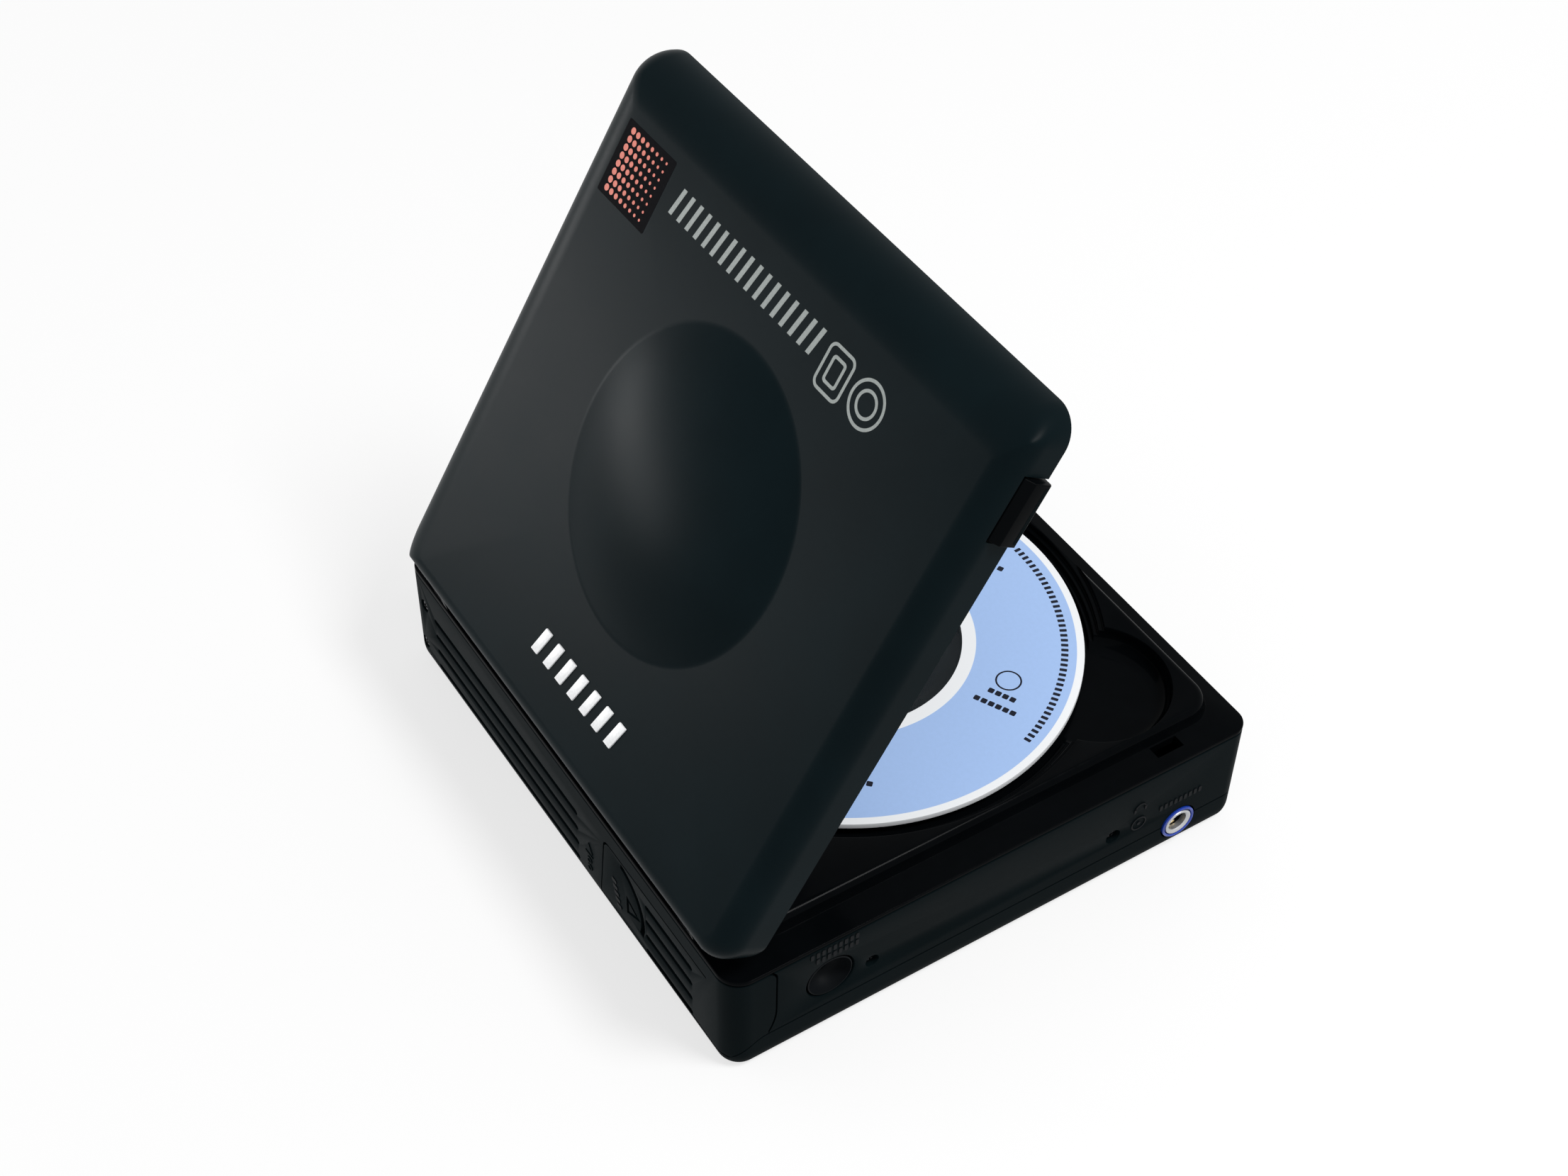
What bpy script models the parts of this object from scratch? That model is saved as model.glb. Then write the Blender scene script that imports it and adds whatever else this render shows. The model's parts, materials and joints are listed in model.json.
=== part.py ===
"""Pocket disc player: a square case with a hinged lid, for eight centimetre discs.

Metres, +Z up. The front with its keys faces -Y, the hinge runs along X at the back, and the
sockets are on the -X wall. The origin is under the disc's axis from side to side and halfway
between the front and the back, on the surface that the rubber feet stand on. The lid is
modelled closed and then turned open about its hinge.
"""

import bpy
import bmesh
from math import acos, asin, atan, cos, pi, radians, sin, sqrt, tan
from mathutils import Matrix

# Whole case
WELL_TO_LEFT_WALL = 0.0066
WELL_TO_RIGHT_WALL = 0.0121
BASE_DEPTH = 0.0985
BASE_FRONT_CORNER = 0.0032
BASE_BACK_LEFT_CORNER = 0.0040
BASE_BACK_RIGHT_CORNER = 0.0036
WALL = 0.0016
FLOOR = 0.0014
FOOT_PROUD = 0.0004
UNDER_EDGE = 0.0013
UNDER_EDGE_HEIGHT = 0.0032
RIM_HEIGHT = 0.0221
GAP = 0.0003
RUNNING_GAP = 0.00025
OVERRUN = 0.0010

# Parting line between the bottom cover and the case, which drops at the back
PARTING_BELOW_RIM = 0.0158
PARTING_BACK_HEIGHT = 0.0014
PARTING_DROP_INSET = 0.00675
PARTING_DROP_PAST = 0.00005

# Deck
FLANGE = 0.0008
SLAB = 0.0015
LEDGE_SIDE = 0.0051
LEDGE_FRONT = 0.0029
LEDGE_BACK = 0.0071
PLATEAU_RISE = 0.0027
PLATEAU_EDGE = 0.0013
PLATEAU_CORNER = 0.0052
DISC_CENTRE_Y = -0.0032
DISC_TOP_OVER_RIM = 0.0014
WELL_FLOOR_BELOW_DISC = 0.0015
PAN_WALL = 0.0020
PAN_FLOOR = 0.0014
WELL_TO_BACK_WALL = 0.00585
WELL_STEP = 0.0008
WELL_STEPS = 3
HUB_HOLE_RADIUS = 0.0155
WINDOW_WIDTH = 0.0160
WINDOW_SHORT = 0.0009
FINGER_FROM_LEFT = 0.0190
FINGER_FROM_FRONT = 0.01775
FINGER_RADIUS = 0.0127
FINGER_FILLET = 0.0030
FINGER_WALL = 0.0010

# Disc
DISC_CLEARANCE = 0.0034
DISC_HOLE_RADIUS = 0.0075
DISC_THICKNESS = 0.0012

# Turntable and its motor
TURNTABLE_RADIUS = 0.0140
TURNTABLE_THICKNESS = 0.0016
HUB_RADIUS = 0.0072
HUB_HEIGHT = 0.0034
HUB_CHAMFER = 0.0009
CLIP_GROOVE_DEPTH = 0.0020
CLIP_THICKNESS = 0.0008
CLIP_REACH = 0.0002
CLIP_LOBES = 3
CLIP_OPENING = radians(24)
SPINDLE_RADIUS = 0.0010
SPINDLE_END = 0.0016
SPINDLE_MOTOR_RADIUS = 0.0120
SPINDLE_MOTOR_HEIGHT = 0.0083
MOTOR_BUSH_RADIUS = 0.0030

# Chassis plate under the deck
DAMPER_HEIGHT = 0.0012
DAMPER_RADIUS = 0.0030
CHASSIS_THICKNESS = 0.0008
CHASSIS_LEFT = -0.0240
CHASSIS_FROM_RIGHT = 0.0090
CHASSIS_FRONT = -0.0370
CHASSIS_BACK = 0.0180
CHASSIS_CORNER = 0.0040
DAMPER_INSET = 0.0042
BRACKET_LENGTH = 0.0020

# Pickup sled, on two rods along X
ROD_RADIUS = 0.0009
ROD_SPREAD = 0.0100
ROD_DROP = 0.0018
SLED_START = 0.0150
SLED_LENGTH = 0.0140
SLED_HALF_WIDTH = 0.0123
SLED_HEIGHT = 0.0028
SLED_TRAVEL = 0.0140
ACTUATOR_LENGTH = 0.0110
ACTUATOR_WIDTH = 0.0120
ACTUATOR_TOP_BELOW_DISC = 0.0016
LENS_RADIUS = 0.0022
LENS_TOP_BELOW_DISC = 0.0010

# Feed train: rack, compound gear and motor pinion
GEAR_MODULE = 0.0008
ADDENDUM_SHARE = 0.9
DEDENDUM_SHARE = 1.2
POST_CAP_SHARE = 1.8
PRESSURE_ANGLE = radians(20)
BACKLASH = 0.00018
FEED_PINION_TEETH = 10
FEED_WHEEL_TEETH = 30
MOTOR_PINION_TEETH = 9
FEED_GEAR_X = 0.0240
FEED_GEAR_Y = -0.0240
FEED_WHEEL_THICKNESS = 0.0015
RACK_THICKNESS = 0.0018
RACK_BACK = 0.0018
RACK_TEETH = 9
GEAR_POST_RADIUS = 0.0010
MOTOR_DIRECTION = radians(210)
FEED_MOTOR_RADIUS = 0.0050
MOTOR_SHAFT_RADIUS = 0.0008

# Lid
LID_GAP = 0.0003
LID_HEIGHT = 0.0082
LID_WALL = 0.0015
LID_FRONT_LEFT_CORNER = 0.0050
LID_FRONT_RIGHT_CORNER = 0.0067
LID_BACK_CORNER = 0.0054
LID_FRONT_ROUND = 0.0092
LID_LEFT_ROUND = 0.0040
LID_RIGHT_ROUND = 0.0100
LID_BACK_ROUND = 0.0035
LID_BACK_LOWER_ROUND = 0.0014
LID_BACK_SHORT = 0.0009
LOWER_ROUND_SHARES = (0.0, 0.35, 1.0)
DOME_RADIUS = 0.0253
DOME_CENTRE_Y = -0.0008
DOME_HEIGHT = 0.0045
LID_REST_ANGLE = radians(59.1)

# Lid liner
LINER_DROP = 0.0034
LINER_THICKNESS = 0.0010
LINER_SKIRT = 0.0007
LINER_RIM_LIFT = 0.0008
LINER_BACK_INSET = 0.00685
LINER_SKIRT_INSET = 0.01125
PRESSER_RADIUS = 0.0125
PRESSER_BORE = 0.0090
PRESSER_CLEARANCE = 0.0010

# Hinge
HINGE_FROM_BACK = 0.00075
HINGE_OVER_RIM = 0.0037
HINGE_PIN_RADIUS = 0.0006
LUG_RADIUS = 0.0015
LUG_FOOT = 0.0032
LUG_WIDTH = 0.0045
LUG_FROM_WALL = 0.01275
EAR_WIDTH = 0.0034
EAR_RADIUS = 0.0015

# Lid latch button in the -X wall of the lid
LATCH_FROM_FRONT = 0.01465
LATCH_LENGTH = 0.0101
LATCH_HEIGHT = 0.0046
LATCH_PROUD = 0.0012
LATCH_TRAVEL = 0.0008
LATCH_RELIEF_SHARE = 1.2
LATCH_TONGUE_WIDTH = 0.0040
LATCH_TONGUE_THICKNESS = 0.0009
LATCH_TONGUE_INSET = 0.0027
LATCH_TONGUE_DEPTH = 0.0026

# Battery, its door and its cradle
DOOR_END_X = -0.0120
DOOR_SLANT = 0.0017
DOOR_TOP_BACK = 0.0045
DOOR_TOP_SIDE = 0.0007
DOOR_RISE_FROM_LEFT = 0.0065
DOOR_SIDE_INSET = 0.00835
DOOR_BOTTOM = 0.0026
DOOR_SWEEP_HEIGHT = 0.0090
DOOR_CORNER = 0.0018
BATTERY_LENGTH = 0.0600
BATTERY_THICKNESS = 0.0056
BATTERY_HEIGHT = 0.0118
DOOR_WRAP = 0.0058
BATTERY_END_GAP = 0.0034
CRADLE_WALL = 0.0010
CONTACT_THICKNESS = 0.0005
CONTACT_WIDTH = 0.0036

# Cooling grooves in the back wall
GROOVE_WIDTH = 0.0010
GROOVE_DEPTH = 0.0007
GROOVE_TOP_BELOW_RIM = 0.0076
GROOVE_PITCH = 0.0037
GROOVE_COUNT = 4
GROOVE_FROM_RIGHT = 0.0090
GROOVE_NEAR_X = -0.0035
DOOR_GROOVE_NEAR_X = -0.0250
DOOR_GROOVE_FROM_LEFT = 0.0110
GRIP_ARC_RADIUS = 0.0085
GRIP_ARC_X = -0.0160
GRIP_ARC_Z = 0.0085
GRIP_ARC_WIDTH = 0.0016
ARROW_X = -0.0190
ARROW_SIZE = 0.0044

# Sockets and holes in the -X wall
DC_FROM_BACK = 0.01785
DC_BELOW_RIM = 0.0093
DC_RADIUS = 0.0040
DC_DISH_DEPTH = 0.0032
DC_PIN_RADIUS = 0.0008
DC_PIN_HOLE = 0.0022
DC_BODY_LENGTH = 0.0095
SMALL_HOLE_FROM_BACK = 0.02545
SMALL_HOLE_BACK_BELOW_RIM = 0.0108
SMALL_HOLE_BACK_RADIUS = 0.0012
SMALL_HOLE_FROM_FRONT = 0.02665
SMALL_HOLE_FRONT_BELOW_RIM = 0.0112
SMALL_HOLE_FRONT_RADIUS = 0.0014
SIDE_SCREW_LENGTH = 0.0050
SIDE_SCREW_SINK = 0.0007
PHONES_FROM_FRONT = 0.01265
PHONES_HEIGHT = 0.0058
PHONES_RING_RADIUS = 0.0032
PHONES_SLEEVE_RADIUS = 0.0026
PHONES_BORE_RADIUS = 0.0018
PHONES_RING_PROUD = 0.0003
PHONES_BODY_LENGTH = 0.0120
PHONES_BODY_WIDTH = 0.0080

# Front keys and display
KEY_WIDTH = 0.0080
KEY_HEIGHT = 0.0046
KEY_CORNER = 0.0012
KEY_PROUD = 0.0005
KEY_TRAVEL = 0.0005
KEY_FLANGE = 0.0010
KEY_PITCH = 0.0105
KEY_FIRST_X = 0.0050
KEY_BELOW_RIM = 0.0085
DISPLAY_X = -0.0190
DISPLAY_WIDTH = 0.0290
DISPLAY_HEIGHT = 0.0080
DISPLAY_FRAME = 0.0012
DISPLAY_MODULE_DEPTH = 0.0022
CONTROL_BOARD_THICKNESS = 0.0008

# Volume wheel and hold switch in the +X wall
VOLUME_Y = 0.0140
VOLUME_RADIUS = 0.0080
VOLUME_THICKNESS = 0.0016
VOLUME_PROUD = 0.0009
VOLUME_BELOW_RIM = 0.0100
VOLUME_RIBS = 20
VOLUME_RIB_DEPTH = 0.0002
POT_RADIUS = 0.0048
POT_BOSS_RADIUS = 0.0016
HOLD_Y = -0.0190
HOLD_LENGTH = 0.0050
HOLD_HEIGHT = 0.0024
HOLD_PROUD = 0.0008
HOLD_TRAVEL = 0.0030

# Boards and small parts inside
BOARD_THICKNESS = 0.0010
BOARD_STANDOFF = 0.0008
BOARD_FROM_LEFT = 0.0165
BOARD_FROM_RIGHT = 0.0150
BOARD_FROM_FRONT = 0.00525
BOARD_FROM_BACK = 0.01325
CHIP_SIZE = 0.0120
CHIP_HEIGHT = 0.0018
CHIP_X_SHARE = 0.06
CHIP_Y_SHARE = 0.60
CAPACITOR_RADIUS = 0.0030
CAPACITOR_HEIGHT = 0.0055
CAPACITOR_X_SHARE = 0.90
CAPACITOR_Y_SHARE = 0.92
PILLAR_RADIUS = 0.0026
PILLAR_BORE = 0.0012
PILLAR_INSET_X = 0.0058
PILLAR_FRONT_INSET = 0.0055
PILLAR_BACK_LEFT_INSET = 0.03025
SCREW_RADIUS = 0.0009
SCREW_HEAD_RADIUS = 0.0019
SCREW_HEAD_HEIGHT = 0.0010
SCREW_SINK = 0.0006
SCREW_BITE = 0.0010
FOOT_RADIUS = 0.0040
FOOT_RECESS = 0.0005
FOOT_INSET = 0.0135
PLUNGER_FROM_RIGHT = 0.0087
PLUNGER_FROM_FRONT = 0.01025
PLUNGER_RADIUS = 0.0008
PLUNGER_RISE = 0.0008
PLUNGER_TRAVEL = 0.0007

# Worked out from the sizes above
HALF_DEPTH = BASE_DEPTH / 2
WELL_RADIUS = HALF_DEPTH - WELL_TO_BACK_WALL
DISC_RADIUS = WELL_RADIUS - DISC_CLEARANCE
WINDOW_LENGTH = WELL_RADIUS - WINDOW_SHORT
LEFT_WALL = -WELL_RADIUS - WELL_TO_LEFT_WALL
RIGHT_WALL = WELL_RADIUS + WELL_TO_RIGHT_WALL
HINGE_MIDDLE_X = (LEFT_WALL + RIGHT_WALL) / 2
HINGE_BEHIND_CENTRE = HALF_DEPTH - HINGE_FROM_BACK
LUG_CENTRE_X = (RIGHT_WALL - LEFT_WALL) / 2 - LUG_FROM_WALL
PARTING_HEIGHT = RIM_HEIGHT - PARTING_BELOW_RIM
PARTING_DROP_START = HALF_DEPTH - PARTING_DROP_INSET
PARTING_DROP_END = HALF_DEPTH + PARTING_DROP_PAST
FINGER_X = LEFT_WALL + FINGER_FROM_LEFT
FINGER_Y = FINGER_FROM_FRONT - HALF_DEPTH
CHASSIS_RIGHT = RIGHT_WALL - CHASSIS_FROM_RIGHT
LINER_BACK = HALF_DEPTH - LINER_BACK_INSET
LINER_SKIRT_END = HALF_DEPTH - LINER_SKIRT_INSET
LATCH_Y = LATCH_FROM_FRONT - HALF_DEPTH
DOOR_RISE_START = -LEFT_WALL - DOOR_RISE_FROM_LEFT
DOOR_SIDE_Y = HALF_DEPTH - DOOR_SIDE_INSET
GROOVE_FAR_X = RIGHT_WALL - GROOVE_FROM_RIGHT
DOOR_GROOVE_FAR_X = LEFT_WALL + DOOR_GROOVE_FROM_LEFT
DC_Y = HALF_DEPTH - DC_FROM_BACK
SMALL_HOLE_BACK_Y = HALF_DEPTH - SMALL_HOLE_FROM_BACK
SMALL_HOLE_FRONT_Y = SMALL_HOLE_FROM_FRONT - HALF_DEPTH
PHONES_Y = PHONES_FROM_FRONT - HALF_DEPTH
BOARD_LEFT = LEFT_WALL + BOARD_FROM_LEFT
BOARD_RIGHT = RIGHT_WALL - BOARD_FROM_RIGHT
BOARD_FRONT = BOARD_FROM_FRONT - HALF_DEPTH
BOARD_BACK = HALF_DEPTH - BOARD_FROM_BACK
PILLAR_BACK_LEFT_Y = HALF_DEPTH - PILLAR_BACK_LEFT_INSET
PLUNGER_X = RIGHT_WALL - PLUNGER_FROM_RIGHT
PLUNGER_Y = PLUNGER_FROM_FRONT - HALF_DEPTH
UNDERSIDE = FOOT_PROUD
FLOOR_TOP = UNDERSIDE + FLOOR
CASE_TOP = RIM_HEIGHT - FLANGE - GAP
DECK_BOTTOM = RIM_HEIGHT - SLAB
DISC_TOP = RIM_HEIGHT + DISC_TOP_OVER_RIM
DISC_BOTTOM = DISC_TOP - DISC_THICKNESS
WELL_FLOOR = DISC_BOTTOM - WELL_FLOOR_BELOW_DISC
PAN_BOTTOM = WELL_FLOOR - PAN_FLOOR
PLATEAU_TOP = RIM_HEIGHT + PLATEAU_RISE
CHASSIS_TOP = PAN_BOTTOM - DAMPER_HEIGHT - 2 * GAP
CHASSIS_BOTTOM = CHASSIS_TOP - CHASSIS_THICKNESS
ROD_HEIGHT = CHASSIS_BOTTOM - ROD_DROP
SLED_TOP = CHASSIS_BOTTOM - GAP
SLED_BOTTOM = SLED_TOP - SLED_HEIGHT
HINGE_Z = RIM_HEIGHT + HINGE_OVER_RIM
LID_RIM = RIM_HEIGHT + LID_GAP
LID_TOP = LID_RIM + LID_HEIGHT
LID_BACK = HALF_DEPTH - LID_BACK_SHORT
LINER_OFFSET = LID_WALL + GAP
BOARD_BOTTOM = FLOOR_TOP + BOARD_STANDOFF
BOARD_TOP = BOARD_BOTTOM + BOARD_THICKNESS
FEED_PINION_RADIUS = GEAR_MODULE * FEED_PINION_TEETH / 2
FEED_WHEEL_RADIUS = GEAR_MODULE * FEED_WHEEL_TEETH / 2
MOTOR_PINION_RADIUS = GEAR_MODULE * MOTOR_PINION_TEETH / 2
GEAR_DISTANCE = FEED_WHEEL_RADIUS + MOTOR_PINION_RADIUS
RACK_TOP = SLED_TOP - GAP
RACK_BOTTOM = RACK_TOP - RACK_THICKNESS
FEED_WHEEL_TOP = SLED_BOTTOM - GAP
FEED_WHEEL_BOTTOM = FEED_WHEEL_TOP - FEED_WHEEL_THICKNESS
MOTOR_X = FEED_GEAR_X + GEAR_DISTANCE * cos(MOTOR_DIRECTION)
MOTOR_Y = FEED_GEAR_Y + GEAR_DISTANCE * sin(MOTOR_DIRECTION)
CORNER_STEPS = 5
ROUND = 20
FINE_ROUND = 40
SMALL_ROUND = 12
MEDIUM_ROUND = 24
SHARP_ANGLE = radians(35)
FULL_TURN = 2 * pi


def clear_scene():
    for item in list(bpy.data.objects):
        bpy.data.objects.remove(item, do_unlink=True)


def finish(name, colour, roughness, metallic=0.0, alpha=1.0):
    """A Principled material in the piece's own colour."""
    made = bpy.data.materials.new(name)
    made.use_nodes = True
    shader = made.node_tree.nodes["Principled BSDF"]
    shader.inputs["Base Color"].default_value = (*colour, 1.0)
    shader.inputs["Roughness"].default_value = roughness
    shader.inputs["Metallic"].default_value = metallic
    shader.inputs["Alpha"].default_value = alpha
    return made


def object_from(name, points, faces):
    mesh = bpy.data.meshes.new(name)
    mesh.from_pydata(points, [], faces)
    mesh.update()
    made = bpy.data.objects.new(name, mesh)
    bpy.context.scene.collection.objects.link(made)
    return made


def loft(name, rings):
    """Bridge rings that share a point count, with a flat cap at both ends."""
    count = len(rings[0])
    points = [point for ring in rings for point in ring]
    faces = []
    for level in range(len(rings) - 1):
        low = level * count
        high = (level + 1) * count
        for i in range(count):
            j = (i + 1) % count
            faces.append((low + i, low + j, high + j, high + i))
    faces.append(tuple(reversed(range(count))))
    faces.append(tuple(range((len(rings) - 1) * count, len(rings) * count)))
    return object_from(name, points, faces)


def prism(name, outline, low, high):
    """An outline in XY, drawn anticlockwise, pushed up from low to high."""
    return loft(name, [[(x, y, z) for x, y in outline] for z in (low, high)])


def prism_along_y(name, outline, near, far):
    """An outline of (x, z) points, anticlockwise as the front shows it, between two depths."""
    return loft(name, [[(x, y, z) for x, z in outline] for y in (far, near)])


def prism_along_x(name, outline, left, right):
    """An outline of (y, z) points, anticlockwise as the +X side shows it."""
    return loft(name, [[(x, y, z) for y, z in outline] for x in (left, right)])


def block(name, low, high):
    corners = [(low[0], low[1]), (high[0], low[1]), (high[0], high[1]), (low[0], high[1])]
    return prism(name, corners, low[2], high[2])


def turned(name, profile, segments, place=None):
    """Turn a profile of (radius, height), listed upwards along its outside, about an axis."""
    points, rings, faces = [], [], []
    for radius, height in profile:
        if radius == 0:
            rings.append([len(points)] * segments)
            points.append((0, 0, height))
            continue
        rings.append([len(points) + i for i in range(segments)])
        for i in range(segments):
            turn = FULL_TURN * i / segments
            points.append((radius * cos(turn), radius * sin(turn), height))
    pairs = list(zip(rings, rings[1:]))
    if profile[0][0] != 0:
        pairs.append((rings[-1], rings[0]))
    for low, high in pairs:
        for i in range(segments):
            j = (i + 1) % segments
            face = (low[i], low[j], high[j], high[i])
            faces.append(tuple(dict.fromkeys(face)))
    made = object_from(name, points, faces)
    if place is not None:
        made.data.transform(place)
    return made


def at(x, y, z=0.0):
    return Matrix.Translation((x, y, z))


def along_x(x, y, z):
    """Stand a turned piece's axis along +X, from the given point."""
    return at(x, y, z) @ Matrix.Rotation(pi / 2, 4, "Y")


def cylinder(name, radius, low, high, x=0.0, y=0.0, segments=ROUND):
    profile = [(0, low), (radius, low), (radius, high), (0, high)]
    return turned(name, profile, segments, at(x, y))


def cylinder_x(name, radius, left, right, y, z, segments=SMALL_ROUND):
    profile = [(0, 0), (radius, 0), (radius, right - left), (0, right - left)]
    return turned(name, profile, segments, along_x(left, y, z))


def tube(name, outer, inner, low, high, x=0.0, y=0.0, segments=ROUND):
    profile = [(inner, low), (outer, low), (outer, high), (inner, high)]
    return turned(name, profile, segments, at(x, y))


def combine(target, tool, operation):
    """Cut, join or keep what two closed solids share, exactly, and use up the tool."""
    modifier = target.modifiers.new("shape", "BOOLEAN")
    modifier.operation = operation
    modifier.solver = "EXACT"
    modifier.object = tool
    view = bpy.context.evaluated_depsgraph_get()
    result = bpy.data.meshes.new_from_object(target.evaluated_get(view))
    target.modifiers.clear()
    target.data = result
    bpy.data.objects.remove(tool, do_unlink=True)
    return target


def cut(target, *tools):
    for tool in tools:
        combine(target, tool, "DIFFERENCE")
    return target


def join(target, *tools):
    for tool in tools:
        combine(target, tool, "UNION")
    return target


def gather(name, pieces):
    """Put several cutters in one mesh, so that one cut makes all of them."""
    joined = bmesh.new()
    for piece in pieces:
        joined.from_mesh(piece.data)
        bpy.data.objects.remove(piece, do_unlink=True)
    mesh = bpy.data.meshes.new(name)
    joined.to_mesh(mesh)
    joined.free()
    made = bpy.data.objects.new(name, mesh)
    bpy.context.scene.collection.objects.link(made)
    return made


def copy_of(piece, name):
    made = bpy.data.objects.new(name, piece.data.copy())
    bpy.context.scene.collection.objects.link(made)
    return made


def complete(piece, name, material, carrier=None):
    """Name a finished piece, give it its material and set it on what carries it."""
    piece.name = name
    piece.data.name = name
    piece.data.materials.clear()
    piece.data.materials.append(material)
    piece.data.shade_smooth()
    piece.data.set_sharp_from_angle(angle=SHARP_ANGLE)
    if carrier is not None:
        piece.parent = carrier
        piece.matrix_parent_inverse = Matrix.Translation(-carrier.location)
    return piece


def joint_at(name, x, y, z):
    """An empty on a joint's axis, for the pieces that move together there."""
    made = bpy.data.objects.new(name, None)
    made.location = (x, y, z)
    bpy.context.scene.collection.objects.link(made)
    return made


def outline(left, right, front, back, radii, steps=CORNER_STEPS):
    """A rectangle with rounded corners, anticlockwise from the front right one.

    radii holds an (x, y) pair for each corner: front right, back right, back left, front left.
    """
    spots = ((right, front, 1, -1), (right, back, 1, 1), (left, back, -1, 1), (left, front, -1, -1))
    points = []
    for corner, ((x, y, side_x, side_y), (rx, ry)) in enumerate(zip(spots, radii)):
        for i in range(steps + 1):
            turn = (corner - 1) * pi / 2 + pi / 2 * i / steps
            centre_x = x - side_x * rx
            centre_y = y - side_y * ry
            points.append((centre_x + rx * cos(turn), centre_y + ry * sin(turn)))
    return points


def plain_outline(left, right, front, back, radius, steps=CORNER_STEPS):
    return outline(left, right, front, back, [(radius, radius)] * 4, steps)


def base_outline(inset):
    corners = (BASE_FRONT_CORNER, BASE_BACK_RIGHT_CORNER, BASE_BACK_LEFT_CORNER, BASE_FRONT_CORNER)
    radii = [max(corner - inset, corner / 6) for corner in corners]
    return outline(
        LEFT_WALL + inset,
        RIGHT_WALL - inset,
        inset - HALF_DEPTH,
        HALF_DEPTH - inset,
        [(radius, radius) for radius in radii],
    )


def level(points, height):
    return [(x, y, height) for x, y in points]


def arc(centre_x, centre_y, radius, start, end, steps):
    turns = [start + (end - start) * i / steps for i in range(steps + 1)]
    return [(centre_x + radius * cos(t), centre_y + radius * sin(t)) for t in turns]


def slot_outline(left, right, middle, width, steps=CORNER_STEPS):
    """A straight slot with round ends, as an outline about a level centre line."""
    radius = width / 2
    ends = arc(right - radius, middle, radius, -pi / 2, pi / 2, steps)
    return ends + arc(left + radius, middle, radius, pi / 2, 3 * pi / 2, steps)


# The whole outer body, split into case, cover and battery door


def body_tray():
    """The floor and walls as one tray, before the parting line splits it."""
    steps = 4
    rings = []
    for i in range(steps + 1):
        turn = pi / 2 * i / steps
        inset = UNDER_EDGE * (1 - sin(turn))
        rings.append(level(base_outline(inset), UNDERSIDE + UNDER_EDGE_HEIGHT * (1 - cos(turn))))
    rings.append(level(base_outline(0), CASE_TOP))
    rings.append(level(base_outline(WALL), CASE_TOP))
    steps = 2
    for i in range(steps, -1, -1):
        turn = pi / 2 * i / steps
        inset = WALL + UNDER_EDGE / 2 * (1 - sin(turn))
        height = FLOOR_TOP + (UNDER_EDGE_HEIGHT - FLOOR) * (1 - cos(turn))
        rings.append(level(base_outline(inset), height))
    return loft("tray", rings)


def parting_curve(lift):
    """(y, z) points of the parting line, level along the sides and dropping at the back."""
    steps = 7
    points = [(-HALF_DEPTH - OVERRUN, PARTING_HEIGHT + lift)]
    for i in range(steps + 1):
        share = i / steps
        y = PARTING_DROP_START + (PARTING_DROP_END - PARTING_DROP_START) * share
        drop = (PARTING_HEIGHT - PARTING_BACK_HEIGHT) * share**2
        points.append((y, PARTING_HEIGHT - drop + lift))
    points.append((HALF_DEPTH + OVERRUN, PARTING_BACK_HEIGHT + lift))
    return points


def above_parting():
    top = RIM_HEIGHT + OVERRUN
    curve = parting_curve(GAP / 2)
    profile = curve + [(curve[-1][0], top), (curve[0][0], top)]
    return prism_along_x("above", profile, LEFT_WALL - OVERRUN, RIGHT_WALL + OVERRUN)


def below_parting():
    curve = parting_curve(-GAP / 2)
    profile = [(curve[0][0], -OVERRUN), (curve[-1][0], -OVERRUN)] + curve[::-1]
    return prism_along_x("below", profile, LEFT_WALL - OVERRUN, RIGHT_WALL + OVERRUN)


def door_volume(shrink):
    """The space of the battery door, round the corner of the back and -X walls."""
    back_top = RIM_HEIGHT - DOOR_TOP_BACK - shrink
    side_top = RIM_HEIGHT - DOOR_TOP_SIDE - shrink
    bottom = DOOR_BOTTOM + shrink
    outside = LEFT_WALL - OVERRUN
    reach = DOOR_WRAP + OVERRUN
    back = [
        (outside, bottom),
        (DOOR_END_X + DOOR_SLANT - shrink, bottom),
        (DOOR_END_X - shrink, back_top - DOOR_CORNER),
        *arc(DOOR_END_X - shrink - DOOR_CORNER, back_top - DOOR_CORNER, DOOR_CORNER, 0, pi / 2, 4),
        (-DOOR_RISE_START + shrink, back_top),
        (LEFT_WALL + DOOR_WRAP / 4, side_top),
        (outside, side_top),
    ]
    back_piece = prism_along_y("door", back, HALF_DEPTH - reach, HALF_DEPTH + OVERRUN)
    near = DOOR_SIDE_Y + shrink
    far = HALF_DEPTH + OVERRUN
    sweep_centre = HALF_DEPTH
    sweep_width = sweep_centre - near
    sweep = [
        (sweep_centre - sweep_width * cos(t), bottom + DOOR_SWEEP_HEIGHT * (1 - sin(t)))
        for t in [pi / 2 * i / 8 for i in range(9)]
    ]
    side = [
        *sweep,
        (far, bottom),
        (far, side_top),
        *arc(near + DOOR_CORNER, side_top - DOOR_CORNER, DOOR_CORNER, pi / 2, pi, 4),
    ]
    side_piece = prism_along_x("door side", side, outside, LEFT_WALL + reach)
    keep = block(
        "door back limit",
        (outside - OVERRUN, near, bottom - OVERRUN),
        (RIGHT_WALL, far + OVERRUN, side_top + OVERRUN),
    )
    combine(back_piece, keep, "INTERSECT")
    return join(back_piece, side_piece)


def groove_cutters(near_x, far_x):
    """Level grooves with round ends in the back wall, one below another."""
    made = []
    for i in range(GROOVE_COUNT):
        height = RIM_HEIGHT - GROOVE_TOP_BELOW_RIM - GROOVE_PITCH * i
        shape = slot_outline(min(near_x, far_x), max(near_x, far_x), height, GROOVE_WIDTH, 4)
        inner = HALF_DEPTH - GROOVE_DEPTH
        made.append(prism_along_y("groove", shape, inner, HALF_DEPTH + OVERRUN))
    return gather("grooves", made)


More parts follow.
